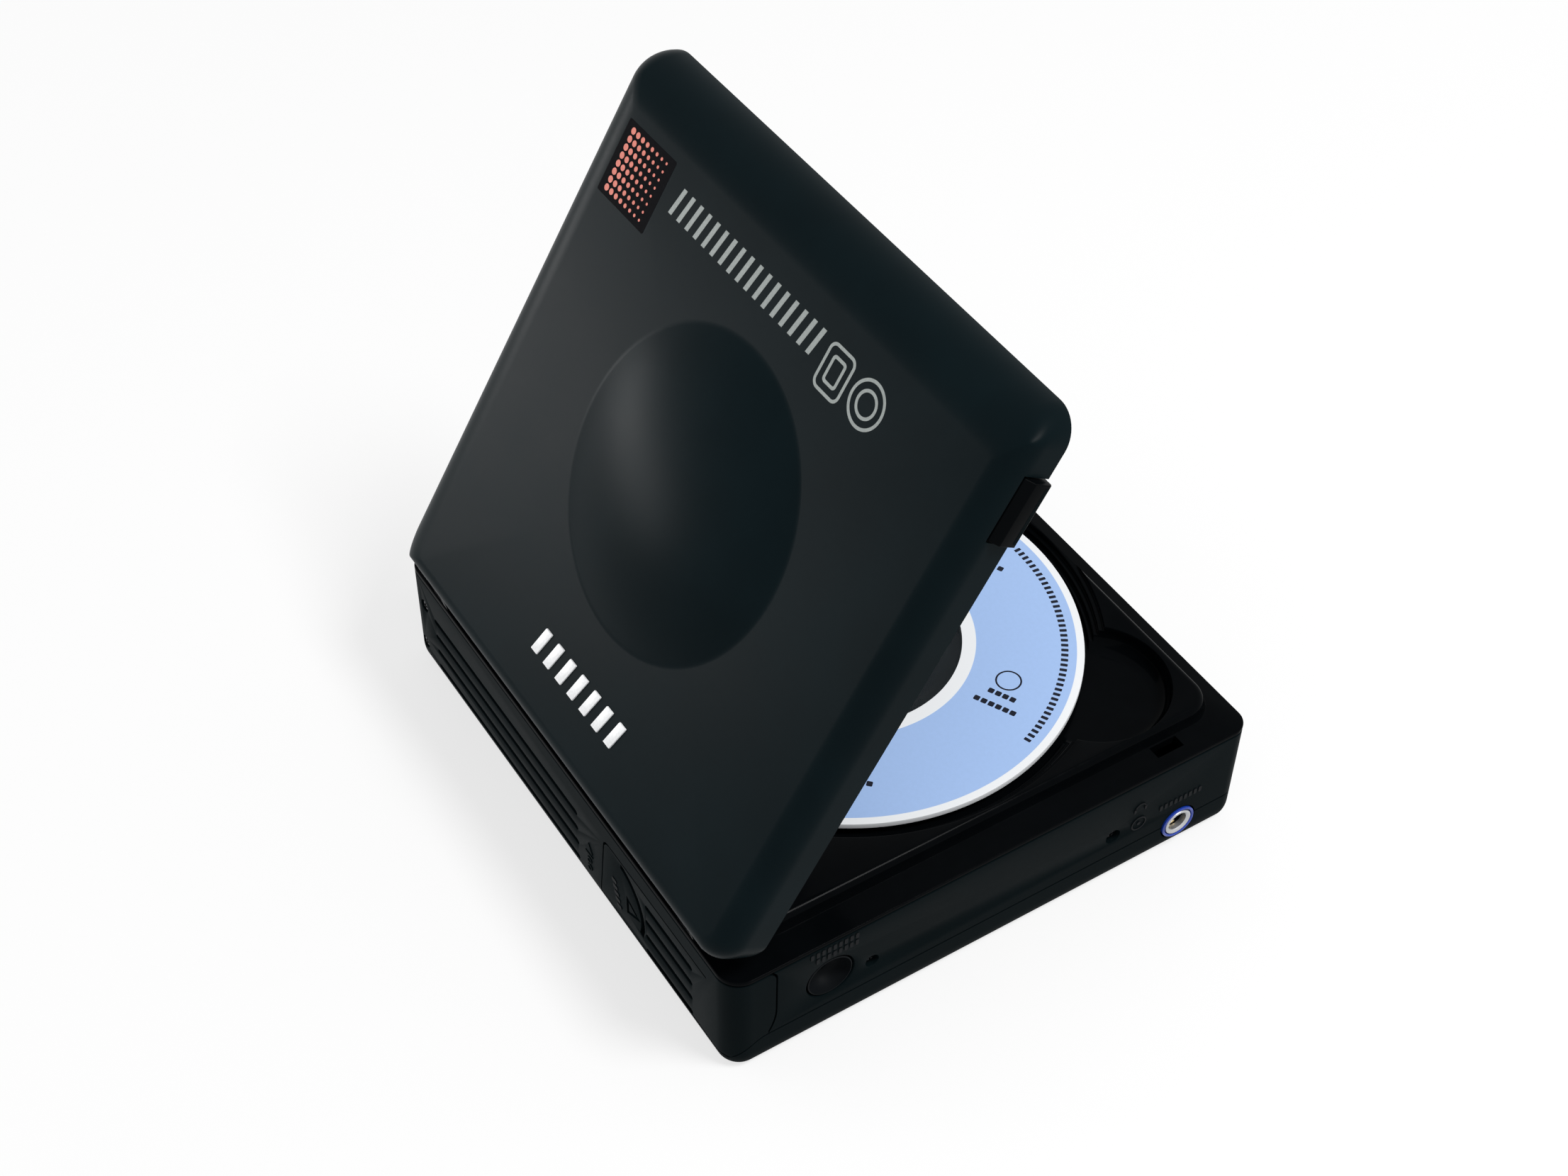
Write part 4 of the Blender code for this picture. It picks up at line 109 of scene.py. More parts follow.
# Sockets and controls
PHONES_Y, PHONES_Z, PHONES_HOLE = -36.6, 5.8, 3.5
DC_Y, DC_Z, DC_RADIUS, DC_MOUTH, DC_BORE, DC_DISH = 31.4, RIM - 9.3, 4.0, 4.3, 2.2, 3.2
SIDE_SCREWS = (
    ("side_screw_back", 23.8, RIM - 10.8, 1.2, 0.9),
    ("side_screw_front", -22.6, RIM - 11.2, 1.4, 1.1),
)
KEY_Z, KEY_START, KEY_PITCH, KEY_HALF, KEY_TALL, KEY_CORNER = RIM - 8.5, 5.0, 10.5, 4.0, 2.3, 1.2
DISPLAY_X, DISPLAY_WIDTH, DISPLAY_HEIGHT, DISPLAY_CORNER = -19.0, 29.0, 8.0, 1.2
WHEEL_X, WHEEL_Y, WHEEL_Z, WHEEL_RADIUS, WHEEL_ROOM = RIGHT + 0.9 - 8.0, 14.0, RIM - 10.0, 7.8, 8.3
HOLD_Y, HOLD_HALF, HOLD_TALL, HOLD_TRAVEL = -19.0, 2.5, 1.2, 3.0

# Deck
DECK_BOTTOM, PLATEAU, DISC_Y = RIM - 1.5, RIM + 2.7, -3.2
DISC_TOP = RIM + 1.4
DISC_BOTTOM = DISC_TOP - 1.2
WELL_FLOOR = DISC_BOTTOM - 1.5
PAN_BOTTOM = WELL_FLOOR - 1.4
WELL_RADIUS, WELL_STEP, WELL_STEPS, WELL_EASED, PAN_RADIUS = 41.0, 0.8, 4, 0.3, 43.0
PLATEAU_SIDE, PLATEAU_FRONT, PLATEAU_BACK, PLATEAU_CORNER, PLATEAU_EDGE = 5.1, 2.9, 7.1, 5.2, 1.3
FINGER_X, FINGER_Y, FINGER_RADIUS, FINGER_ROUND = -31.0, -31.5, 12.7, 3.0
WINDOW_RADIUS, WINDOW_HALF, WINDOW_END = 15.5, 8.0, 42.5
PLUNGER_X, PLUNGER_Y, PLUNGER_RADIUS, PLUNGER_HOLE = 46.8, -39.0, 0.8, 1.05
LUG_X, LUG_WIDTH, LUG_RADIUS, LUG_BORE = 40.0, 4.5, 1.5, 0.85

# Disc
DISC_RADIUS, DISC_BORE, DISC_LAYER = 40.0, 7.5, 0.25
INK_SUNK, INK_PROUD = 0.02, 0.012
TICK_RADIUS, TICK_START, TICK_STEP = 36.7, -160, 1.75
DISC_RING_SPOT, DISC_RING_INNER, DISC_RING_OUTER = (-22.6, -20.7, 0), 1.9, 2.2
DISC_ROW_PITCH = 1.3
DISC_ROWS = (
    (-24.6, -17.9, 27, 4),
    (-25.8, -15.6, 27, 6),
    (-27.9, 11.6, 44, 3),
    (-28.8, 15.6, 44, 2),
    (-1.0, -34.7, 27, 1),
)

# Lid, closed
DRAWN_CLOSED = ("lid", "latch")
LID_RIM, LID_TOP, LID_BACK, LID_WALL = RIM + GAP, RIM + GAP + 8.2, DEPTH - 0.9, 1.5
LID_ROLLS = (9.2, 4.0, 10.0, 3.5)
LID_CORNERS = (6.7, 5.4, 5.4, 5.0)
LID_SKIRT, LID_LIP_EASED = 1.4, 0.15
SKIRT_SHARES = (0.0, 0.1, 0.22, 0.4, 0.65, 1.0)
DOME_Y, LATCH_Y, LATCH_LENGTH, LATCH_HEIGHT, LATCH_PROUD = -0.8, -34.6, 10.1, 4.6, 1.17
PIN_RADIUS, PIN_BORE = 0.6, 0.75
PRESSER_INNER, PRESSER_OUTER, LINER_GATE = 9.0, 12.5, 5.0
BEAD_RADIUS, RIB_RADIUS, RIB_COUNT = 37.4, 25.3, 12
PRINT_SUNK, PRINT_PROUD = 0.05, 0.03
PATCH_SIDES, PATCH_CORNER = (31.9, 45.6, -38.4, -26.0), 0.3
DOT_RADIUS, DOT_ROWS, DOT_PITCH, DOT_FADE = 0.56, 8, 1.4, 0.085
MARK_COUNT, MARK_PITCH = 7, 3.8
PRINT_RING_SPOT, BARS_SPOT = (-23.3, -32.6), (28.0, -34.0)
DOTS_SPOT, MARKS_SPOT = (38.75, -32.2), (11.1, 35.45)

# View and light in metres and degrees, and the floor's horizon in millimetres
CAMERA_TURN, CAMERA_HEIGHT, CAMERA_ROLL = 236.81297, 45.42155, 1.11352
CAMERA_SPOT, LAMP_AIM = (-0.2277163, 0.1574436, 0.3171078), (0, 0, 0.03)
KEY_SIZE, KEY_SPOT = (0.5, 0.08), (0.50, 0.42, 0.035)
FILL_SIZE, FILL_SPOT = (0.3, 0.3), (-0.40, -0.25, 0.88)
SENSOR_WIDTH, CLIP_START = 36.0, 0.01
FLOOR_HALF, FLOOR_GLOW, HORIZON, HORIZON_BLUR = 3.0, 0.7, 550.0, 700.0


# Meshes


def mesh_object(name, points, faces):
    mesh = bpy.data.meshes.new(name)
    mesh.from_pydata(points, [], faces)
    piece = bpy.data.objects.new(name, mesh)
    bpy.context.scene.collection.objects.link(piece)
    return piece


def outwards(piece):
    """Weld the mesh and turn every face out."""
    work = bmesh.new()
    work.from_mesh(piece.data)
    bmesh.ops.remove_doubles(work, verts=work.verts, dist=1e-4)
    bmesh.ops.recalc_face_normals(work, faces=work.faces)
    work.to_mesh(piece.data)
    work.free()
    return piece


def loft(name, rings, closed=False):
    """Bridge rings that share a point count, ending in caps or back at the first ring."""
    count, total = len(rings[0]), len(rings)
    points = [point for ring in rings for point in ring]
    faces = []
    for step in range(total if closed else total - 1):
        low, high = step * count, (step + 1) % total * count
        for i in range(count):
            j = (i + 1) % count
            faces.append((low + i, low + j, high + j, high + i))
    if not closed:
        faces.append(tuple(reversed(range(count))))
        faces.append(tuple(range((total - 1) * count, total * count)))
    return outwards(mesh_object(name, points, faces))


def prism(name, outline, low, high, axis="Z"):
    """An outline pushed along an axis: (x, y) along Z, (x, z) along Y or (y, z) along X."""
    place = {
        "Z": lambda u, v, w: (u, v, w),
        "Y": lambda u, v, w: (u, w, v),
        "X": lambda u, v, w: (w, u, v),
    }[axis]
    return loft(name, [[place(u, v, w) for u, v in outline] for w in (low, high)])


def block(name, low, high):
    outline = [(low[0], low[1]), (high[0], low[1]), (high[0], high[1]), (low[0], high[1])]
    return prism(name, outline, low[2], high[2])


def turned(name, profile, segments, centre=(0, 0, 0), axis="Z", closed=False):
    """A profile of (radius, height) turned once round an axis through a centre."""
    x, y, z = centre
    rings = []
    for radius, height in profile:
        ring = []
        for i in range(segments):
            u, v = radius * cos(2 * pi * i / segments), radius * sin(2 * pi * i / segments)
            if axis == "Z":
                ring.append((x + u, y + v, z + height))
            elif axis == "X":
                ring.append((x + height, y + u, z + v))
            else:
                ring.append((x + u, y + height, z + v))
        rings.append(ring)
    return loft(name, rings, closed)


def cylinder(name, radius, low, high, x, y, segments=48):
    return turned(name, [(radius, low), (radius, high)], segments, (x, y, 0))


def cylinder_x(name, radius, left, right, y, z, segments=32):
    return turned(name, [(radius, left), (radius, right)], segments, (0, y, z), "X")


def arc(x, y, radius, start, end, steps):
    turns = [start + (end - start) * i / steps for i in range(steps + 1)]
    return [(x + radius * cos(t), y + radius * sin(t)) for t in turns]


def circle(x, y, radius, count=32):
    return arc(x, y, radius, 0, 2 * pi * (count - 1) / count, count - 1)


def corner_outline(left, right, front, back, radii, steps=12, sides=1):
    """A rectangle with elliptical corners, from the front right one round to the front left."""
    spots = ((right, front, 1, -1), (right, back, 1, 1), (left, back, -1, 1), (left, front, -1, -1))
    corners = []
    for number, ((x, y, across, along), (rx, ry)) in enumerate(zip(spots, radii)):
        turns = [(number - 1) * pi / 2 + pi / 2 * i / steps for i in range(steps + 1)]
        corners.append([(x - across * rx + rx * cos(t), y - along * ry + ry * sin(t)) for t in turns])
    points = []
    for number, corner in enumerate(corners):
        points += corner
        (x, y), (nx, ny) = corner[-1], corners[(number + 1) % 4][0]
        points += [(x + (nx - x) * i / sides, y + (ny - y) * i / sides) for i in range(1, sides)]
    return points


def rounded(left, right, front, back, radius, steps=6):
    return corner_outline(left, right, front, back, [(radius, radius)] * 4, steps)


def pill(x, y, across, along, radius, steps=3):
    """A small rounded rectangle about its middle, from its half sizes."""
    return rounded(x - across, x + across, y - along, y + along, radius, steps)


def slot_outline(left, right, middle, width, steps=8):
    """A straight slot with round ends."""
    radius = width / 2
    near = arc(right - radius, middle, radius, -pi / 2, pi / 2, steps)
    return near + arc(left + radius, middle, radius, pi / 2, 3 * pi / 2, steps)


def level(points, height):
    return [(x, y, height) for x, y in points]


def settle(piece):
    """Make what the modifiers show the piece's own mesh."""
    bpy.context.view_layer.update()
    graph = bpy.context.evaluated_depsgraph_get()
    mesh = bpy.data.meshes.new_from_object(piece.evaluated_get(graph))
    piece.modifiers.clear()
    old = piece.data
    piece.data = mesh
    bpy.data.meshes.remove(old)
    return piece


def combine(piece, tool, operation):
    """Cut, join or keep what two closed pieces share, and use up the tool."""
    modifier = piece.modifiers.new("combine", "BOOLEAN")
    modifier.object = tool
    modifier.operation = operation
    modifier.solver = "EXACT"
    settle(piece)
    bpy.data.objects.remove(tool)
    return piece


def cut(piece, *tools):
    for tool in tools:
        combine(piece, tool, "DIFFERENCE")
    return piece


def join(piece, *tools):
    for tool in tools:
        combine(piece, tool, "UNION")
    return piece


def gather(name, parts):
    """Several bodies that stand apart, as one mesh."""
    points, faces = [], []
    for part in parts:
        start = len(points)
        points += [vertex.co.copy() for vertex in part.data.vertices]
        faces += [tuple(start + i for i in face.vertices) for face in part.data.polygons]
        bpy.data.objects.remove(part)
    return mesh_object(name, points, faces)


def copy_of(piece):
    twin = piece.copy()
    twin.data = piece.data.copy()
    bpy.context.scene.collection.objects.link(twin)
    return twin


def soften(piece, width, segments=2, angle=30):
    """Take the sharp edge off every crease."""
    modifier = piece.modifiers.new("edge", "BEVEL")
    modifier.width = width
    modifier.segments = segments
    modifier.limit_method = "ANGLE"
    modifier.angle_limit = radians(angle)
    return settle(piece)


def finish(piece, name, body, material, finish_slot, replaces=(), smooth=32):
    """Place a drawn piece in metres, shade it, and hand it to the frame."""
    move = Matrix.Scale(MM, 4)
    if body in DRAWN_CLOSED:
        pivot = Matrix.Translation((0, HINGE_Y, HINGE_Z))
        move = move @ pivot @ Matrix.Rotation(-radians(LID_OPEN), 4, "X") @ pivot.inverted()
    piece.data.transform(move)
    piece.name = piece.data.name = name
    piece.data.materials.clear()
    piece.data.materials.append(use(material))
    piece.data.shade_smooth()
    piece.data.set_sharp_from_angle(angle=radians(smooth))
    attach(piece, body)
    if replaces:
        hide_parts(*replaces)
    return piece


def dress(piece, node, body, material, finish_slot, smooth=32):
    """Hand over a piece that takes the place of one node."""
    return finish(piece, node + "_dressed", body, material, finish_slot, (node,), smooth)


def refined(node, body, material, finish_slot, edge=0.0, smooth=32):
    """A welded copy of a node whose shape is right, with its edges eased."""
    mesh = frame["nodes"][node].data.copy()
    mesh.transform(Matrix.Scale(1 / MM, 4))
    piece = bpy.data.objects.new(node, mesh)
    bpy.context.scene.collection.objects.link(piece)
    outwards(piece)
    if edge:
        work = bmesh.new()
        work.from_mesh(piece.data)
        bmesh.ops.dissolve_limit(work, angle_limit=radians(1), verts=work.verts, edges=work.edges)
        work.to_mesh(piece.data)
        work.free()
        soften(piece, edge)
    return dress(piece, node, body, material, finish_slot, smooth)


# Trees


class Signal:
    """A socket in a tree. Sums with it add Math nodes."""

    def __init__(self, tree, socket):
        self.tree, self.socket = tree, socket

    def math(self, operation, *others):
        values = {0: self, **{i + 1: other for i, other in enumerate(others)}}
        return self.tree.node("ShaderNodeMath", {"operation": operation}, values)

    def __add__(self, other):
        return self.math("ADD", other)

    __radd__ = __add__

    def __sub__(self, other):
        return self.math("SUBTRACT", other)

    def __rsub__(self, other):
        return self * -1 + other

    def __mul__(self, other):
        return self.math("MULTIPLY", other)

    __rmul__ = __mul__

    def __truediv__(self, other):
        return self.math("DIVIDE", other)

    def above(self, edge, blur):
        """0 below the edge and 1 above it, over a smooth step as wide as the blur."""
        ends = {0: self, 1: edge - blur / 2, 2: edge + blur / 2, 3: 0.0, 4: 1.0}
        return self.tree.node("ShaderNodeMapRange", {"interpolation_type": "SMOOTHSTEP"}, ends)

    def between(self, low, high, blur):
        return self.above(low, blur) * (1 - self.above(high, blur))


class Tree:
    """A node tree, with one way to add any node."""

    def __init__(self, tree):
        self.tree = tree

    def node(self, kind, settings=None, sockets=None, output=0):
        """Add a node: its settings first, then the values or links of its sockets."""
        made = self.tree.nodes.new(kind)
        for key, value in (settings or {}).items():
            if key == "stops":
                while len(made.color_ramp.elements) < len(value):
                    made.color_ramp.elements.new(0.5)
                for element, (place, shade) in zip(made.color_ramp.elements, value):
                    element.position, element.color = place, (*shade, 1)
            else:
                setattr(made, key, value)
        for key, value in (sockets or {}).items():
            if isinstance(value, Signal):
                self.tree.links.new(value.socket, made.inputs[key])
            else:
                made.inputs[key].default_value = value
        return Signal(self, made.outputs[output])

    def parts(self, vector):
        made = self.node("ShaderNodeSeparateXYZ", None, {0: vector}).socket.node
        return [Signal(self, socket) for socket in made.outputs]


class Paint(Tree):
    """A material whose values vary only where an export can bake them."""

    def __init__(self, name, colour, roughness, metallic=0.0, gloss=0.5, **fixed):
        self.material = bpy.data.materials.new(name)
        self.material.use_nodes = True
        super().__init__(self.material.node_tree)
        self.shader = self.tree.nodes["Principled BSDF"]
        self.colour = tuple(colour)[:3]
        fixed.update({"Base Color": (*self.colour, 1), "Roughness": roughness, "Metallic": metallic})
        fixed["Specular IOR Level"] = gloss
        for key, value in fixed.items():
            self.shader.inputs[key].default_value = value
        self.material.diffuse_color = (*self.colour, 1)

    def place(self, x=0.0, y=0.0, z=0.0, stretch=(1, 1, 1), turn=(0, 0, 0)):
        """The piece's own coordinates in millimetres, about a centre."""
        grow = [value / MM for value in stretch]
        shift = [-centre * value for centre, value in zip((x, y, z), stretch)]
        where = self.node("ShaderNodeTexCoord", output=3)
        return self.node("ShaderNodeMapping", None, {0: where, 1: shift, 2: turn, 3: grow})

    def reach(self, **centre):
        """The distance from an upright line through a centre, in millimetres."""
        x, y, _ = self.parts(self.place(**centre))
        return (x * x + y * y).math("SQRT")

    def noise(self, scale, detail=3.0, vector=None, rough=0.5):
        """Cloudy values near one half, with the scale in cycles per millimetre."""
        sockets = {0: vector or self.place(), "Scale": scale, "Detail": detail, "Roughness": rough}
        return self.node("ShaderNodeTexNoise", None, sockets)

    def mix(self, factor, first, second):
        shades = [each if isinstance(each, Signal) else (*each[:3], 1) for each in (first, second)]
        sockets = {0: factor, 6: shades[0], 7: shades[1]}
        return self.node("ShaderNodeMix", {"data_type": "RGBA"}, sockets, output=2)

    def tinted(self, factor, by):
        """The material's colour, drifting to a multiple of itself."""
        return self.mix(factor, self.colour, [min(1.0, value * by) for value in self.colour])

    def bump(self, height, depth):
        """Raise the surface by the height signal times a depth in millimetres."""
        return self.node("ShaderNodeBump", None, {"Strength": 1.0, "Distance": depth * MM, "Height": height})

    def set(self, **values):
        """Drive the shader: colour, roughness, metallic, alpha or normal."""
        names = {"colour": "Base Color"}
        for key, value in values.items():
            self.tree.links.new(value.socket, self.shader.inputs[names.get(key, key.title())])
        return self.material


class Pattern(Tree):
    """A geometry tree that repeats the piece it is put on. Its sizes are its named inputs."""

    def __init__(self, name, material, **sizes):
        super().__init__(bpy.data.node_groups.new(name, "GeometryNodeTree"))
        self.material, self.sizes = material, sizes
        face = self.tree.interface
        face.new_socket("Geometry", in_out="OUTPUT", socket_type="NodeSocketGeometry")
        face.new_socket("Geometry", in_out="INPUT", socket_type="NodeSocketGeometry")
        for key, value in sizes.items():
            kind = "NodeSocketInt" if isinstance(value, int) else "NodeSocketFloat"
            face.new_socket(key, in_out="INPUT", socket_type=kind)
        entry = self.tree.nodes.new("NodeGroupInput")
        self.piece = Signal(self, entry.outputs["Geometry"])
        self.size = {key: Signal(self, entry.outputs[key]) for key in sizes}
        self.index = self.node("GeometryNodeInputIndex")

    def vector(self, x=0.0, y=0.0, z=0.0):
        return self.node("ShaderNodeCombineXYZ", None, {0: x, 1: y, 2: z})

    def spots(self, count, place):
        """As many points as the count says, each in its place."""
        line = self.node("GeometryNodeMeshLine", None, {"Count": count})
        return self.node("GeometryNodeSetPosition", None, {0: line, "Position": place})

    def repeat(self, piece, points, **how):
        """Put the piece on the points, and leave the plain mesh on it."""
        sockets = {"Points": points, "Instance": self.piece, **how}
        placed = self.node("GeometryNodeInstanceOnPoints", None, sockets)
        solid = self.node("GeometryNodeRealizeInstances", None, {0: placed})
        painted = self.node("GeometryNodeSetMaterial", None, {0: solid, "Material": self.material})
        leave = self.tree.nodes.new("NodeGroupOutput")
        self.tree.links.new(painted.socket, leave.inputs[0])
        modifier = piece.modifiers.new(self.tree.name, "NODES")
        modifier.node_group = self.tree
        for item in self.tree.interface.items_tree:
            if item.in_out == "INPUT" and item.name in self.sizes:
                modifier[item.identifier] = self.sizes[item.name]
        return settle(piece)


def along_line(piece, material, count, x=0.0, y=0.0, z=0.0):
    """Repeat a piece at even steps along a line."""
    rule = Pattern("Row", use(material), Count=count, StepX=x, StepY=y, StepZ=z)
    step = rule.vector(rule.size["StepX"], rule.size["StepY"], rule.size["StepZ"])
    points = rule.node("GeometryNodeMeshLine", None, {"Count": rule.size["Count"], "Offset": step})
    return rule.repeat(piece, points)


def round_arc(piece, material, count, radius, start, step, centre):
    """Repeat a piece round an arc, turned to face out from its centre."""
    x, y, z = centre
    rule = Pattern("Arc", use(material), Count=count, Radius=radius, Start=start, Step=step, X=x, Y=y, Z=z)
    size = rule.size
    turn = rule.index * size["Step"] + size["Start"]
    across, along = turn.math("COSINE") * size["Radius"], turn.math("SINE") * size["Radius"]
    spot = rule.vector(size["X"] + across, size["Y"] + along, size["Z"])
    return rule.repeat(piece, rule.spots(size["Count"], spot), Rotation=rule.vector(z=turn))


def over_grid(piece, material, columns, rows, pitch, fade, centre):
    """Repeat a piece over a grid, growing or shrinking from one side to the other."""
    x, y, z = centre
    rule = Pattern("Grid", use(material), Columns=columns, Rows=rows, Pitch=pitch, Fade=fade, X=x, Y=y, Z=z)
    size = rule.size
    column = (rule.index / size["Rows"]).math("FLOOR")
    row = rule.index - column * size["Rows"]
    across = (column - (size["Columns"] - 1) * 0.5) * size["Pitch"]
    along = (row - (size["Rows"] - 1) * 0.5) * size["Pitch"]
    spot = rule.vector(size["X"] + across, size["Y"] + along, size["Z"])
    points = rule.spots(size["Columns"] * size["Rows"], spot)
    share = 1 - (size["Columns"] - 1 - column) * size["Fade"]
    return rule.repeat(piece, points, Scale=rule.vector(share, share, 1.0))


# Finishes


def moulded(name, colour, roughness, grain=0.5, spread=0.06, **fixed):
    """Moulded plastic: a fine spark-eroded grain, faint flow marks and an uneven sheen."""
    paint = Paint(name, colour, roughness, **fixed)
    fine, flow, worn = paint.noise(9.0, 2.0), paint.noise(0.06, 4.0), paint.noise(1.1, 5.0, rough=0.7)
    return paint.set(
        colour=paint.tinted(flow.above(0.55, 0.5) * 0.6, 1.4),
        roughness=(worn - 0.5) * spread + (flow - 0.5) * spread * 1.5 + roughness,
        normal=paint.bump(fine, 0.008 * grain),
    )


def polished(name, colour, roughness=0.09, **fixed):
    """Glossy moulded plastic with hair scratches, smears and a slight orange peel."""
    paint = Paint(name, colour, roughness, **fixed)
    peel, smear = paint.noise(0.35, 2.0), paint.noise(0.16, 5.0, rough=0.65)
    bands = {0: paint.place(), "Scale": 1.7, "Distortion": 9.0, "Detail": 3.0, "Detail Scale": 1.4}
    hair = paint.node("ShaderNodeTexWave", {"wave_type": "BANDS"}, bands, output=1)
    scratch = hair.above(0.992, 0.012) * smear.above(0.48, 0.1)
    return paint.set(
        colour=paint.tinted(smear.above(0.5, 0.4) * 0.5, 1.5),
        roughness=smear.above(0.5, 0.35) * 0.07 + scratch * 0.12 + roughness,
        normal=paint.bump(peel, 0.004),
    )


def metal(name, colour, roughness, brushed=0.0, axis=0):
    """Bare metal with an even tarnish and, where it is brushed, lines along one axis."""
    paint = Paint(name, colour, roughness, metallic=1.0)
    stretch = [6.0, 6.0, 6.0]
    stretch[axis] = 0.25
    lines, stain = paint.noise(1.0, 3.0, paint.place(stretch=stretch)), paint.noise(0.5, 4.0)
    return paint.set(
        colour=paint.tinted(stain.above(0.52, 0.3) * 0.7, 0.82),
        roughness=(lines - 0.5) * (0.1 + brushed) + (stain - 0.5) * 0.12 + roughness,
        normal=paint.bump(lines, 0.001 + 0.003 * brushed),
    )


def rubbery(name, colour):
    paint = Paint(name, colour, 0.82, gloss=0.2)
    speck = paint.noise(4.0, 4.0)
    return paint.set(
        colour=paint.tinted(speck.above(0.56, 0.1) * 0.3, 1.5),
        roughness=(speck - 0.5) * 0.2 + 0.82,
        normal=paint.bump(speck, 0.006),
    )


def printed(name, colour, roughness=0.55, **fixed):
    """Screen-printed ink, whose film varies a little in thickness."""
    paint = Paint(name, colour, roughness, **fixed)
    film = paint.noise(3.0, 4.0)
    return paint.set(
        colour=paint.tinted(film.above(0.5, 0.3) * 0.6, 0.86),
        roughness=(film - 0.5) * 0.2 + roughness,
        normal=paint.bump(film, 0.004),
    )


def lacquered_board(name, colour):
    """A circuit board: tracks under green lacquer, with small tinned pads."""
    paint = Paint(name, colour, 0.32)
    x, y, _ = paint.parts(paint.place())
    lanes = (x * 0.9 + (y * 0.11).math("SINE") * 1.4).math("FRACT")
    rows = (y * 0.8 + (x * 0.13).math("SINE") * 1.1).math("FRACT")
    choose = paint.noise(0.12, 1.0).above(0.5, 0.02)
    tracks = lanes.between(0.36, 0.62, 0.06) * choose + rows.between(0.36, 0.62, 0.06) * (1 - choose)
    cells = paint.node("ShaderNodeTexVoronoi", None, {0: paint.place(), "Scale": 0.42})
    pads = 1 - cells.above(0.34, 0.05)
    lacquer = paint.mix(tracks, paint.colour, (0.03, 0.20, 0.09))
    return paint.set(
        colour=paint.mix(pads, lacquer, (0.55, 0.55, 0.50)),
        metallic=pads * 0.9,
        roughness=paint.noise(0.6, 3.0) * 0.1 + 0.28,
        normal=paint.bump(tracks * 0.6 + pads, 0.03),
    )


def shrink_wrapped(name, colour):
    """A battery's sleeve: bare metal at its ends, and soft creases in the film."""
    paint = Paint(name, colour, 0.3)
    x, _, _ = paint.parts(paint.place())
    crease = paint.noise(0.5, 4.0)
    return paint.set(
        colour=paint.mix(x.between(-42.0, 10.0, 0.2), (0.45, 0.46, 0.47), paint.colour),
        roughness=(crease - 0.5) * 0.25 + 0.3,
        normal=paint.bump(crease, 0.05),
    )


def clear(name, colour, alpha, roughness=0.04, **fixed):
    """Clear plastic, thin enough to look straight through."""
    paint = Paint(name, colour, roughness, IOR=1.49, **fixed)
    haze = paint.noise(0.4, 4.0)
    return paint.set(
        roughness=haze.above(0.55, 0.2) * 0.08 + roughness,
        alpha=haze.above(0.5, 0.4) * 0.05 + alpha,
    )


def disc_label(name, sizes):
    """The disc's printed side: blue between two white rings, under clear lacquer."""
    paint = Paint(name, sizes.label_colour, 0.34)
    across = paint.reach(y=DISC_Y)
    white = (1 - across.above(sizes.inner_ring / MM, 0.08)) + across.above(sizes.outer_ring / MM, 0.08)
    film = paint.noise(1.4, 4.0)
    return paint.set(
        colour=paint.mix(white, paint.tinted(film.above(0.5, 0.4) * 0.35, 0.93), (0.80, 0.82, 0.84)),
        roughness=(film - 0.5) * 0.14 + 0.34,
        normal=paint.bump(white * 0.5 + film * 0.2, 0.012),
    )


def read_side(name):
    """The read side: mirror aluminium, with the bands of colour that its fine pits split light into painted
    into its colour as a painted rainbow sheen.
    """
    silver = (0.72, 0.74, 0.76)
    paint = Paint(name, silver, 0.14, metallic=1.0)
    x, y, _ = paint.parts(paint.place(y=DISC_Y))
    turn = y.math("ARCTAN2", x)
    across = paint.reach(y=DISC_Y)
    bands = ((turn * 3).math("SINE") * 0.5 + across * 0.055).math("FRACT")
    shades = (
        (0.62, 0.40, 0.66),
        (0.34, 0.50, 0.74),
        (0.40, 0.68, 0.50),
        (0.74, 0.66, 0.36),
        (0.70, 0.42, 0.40),
    )
    stops = [(i / 4, shade) for i, shade in enumerate(shades)]
    # Painted sheen: the diffraction colours are fixed in the base colour as bands that turn with the angle
    # round the disc and the distance from its centre.
    painted_rainbow_sheen = paint.node("ShaderNodeValToRGB", {"stops": stops}, {0: bands})
    tracks = across.between(21.0, 38.2, 0.2)
    # Over the recorded band, half of the colour is this painted rainbow sheen.
    return paint.set(colour=paint.mix(tracks * 0.5, silver, painted_rainbow_sheen), roughness=tracks * 0.08 + 0.12)


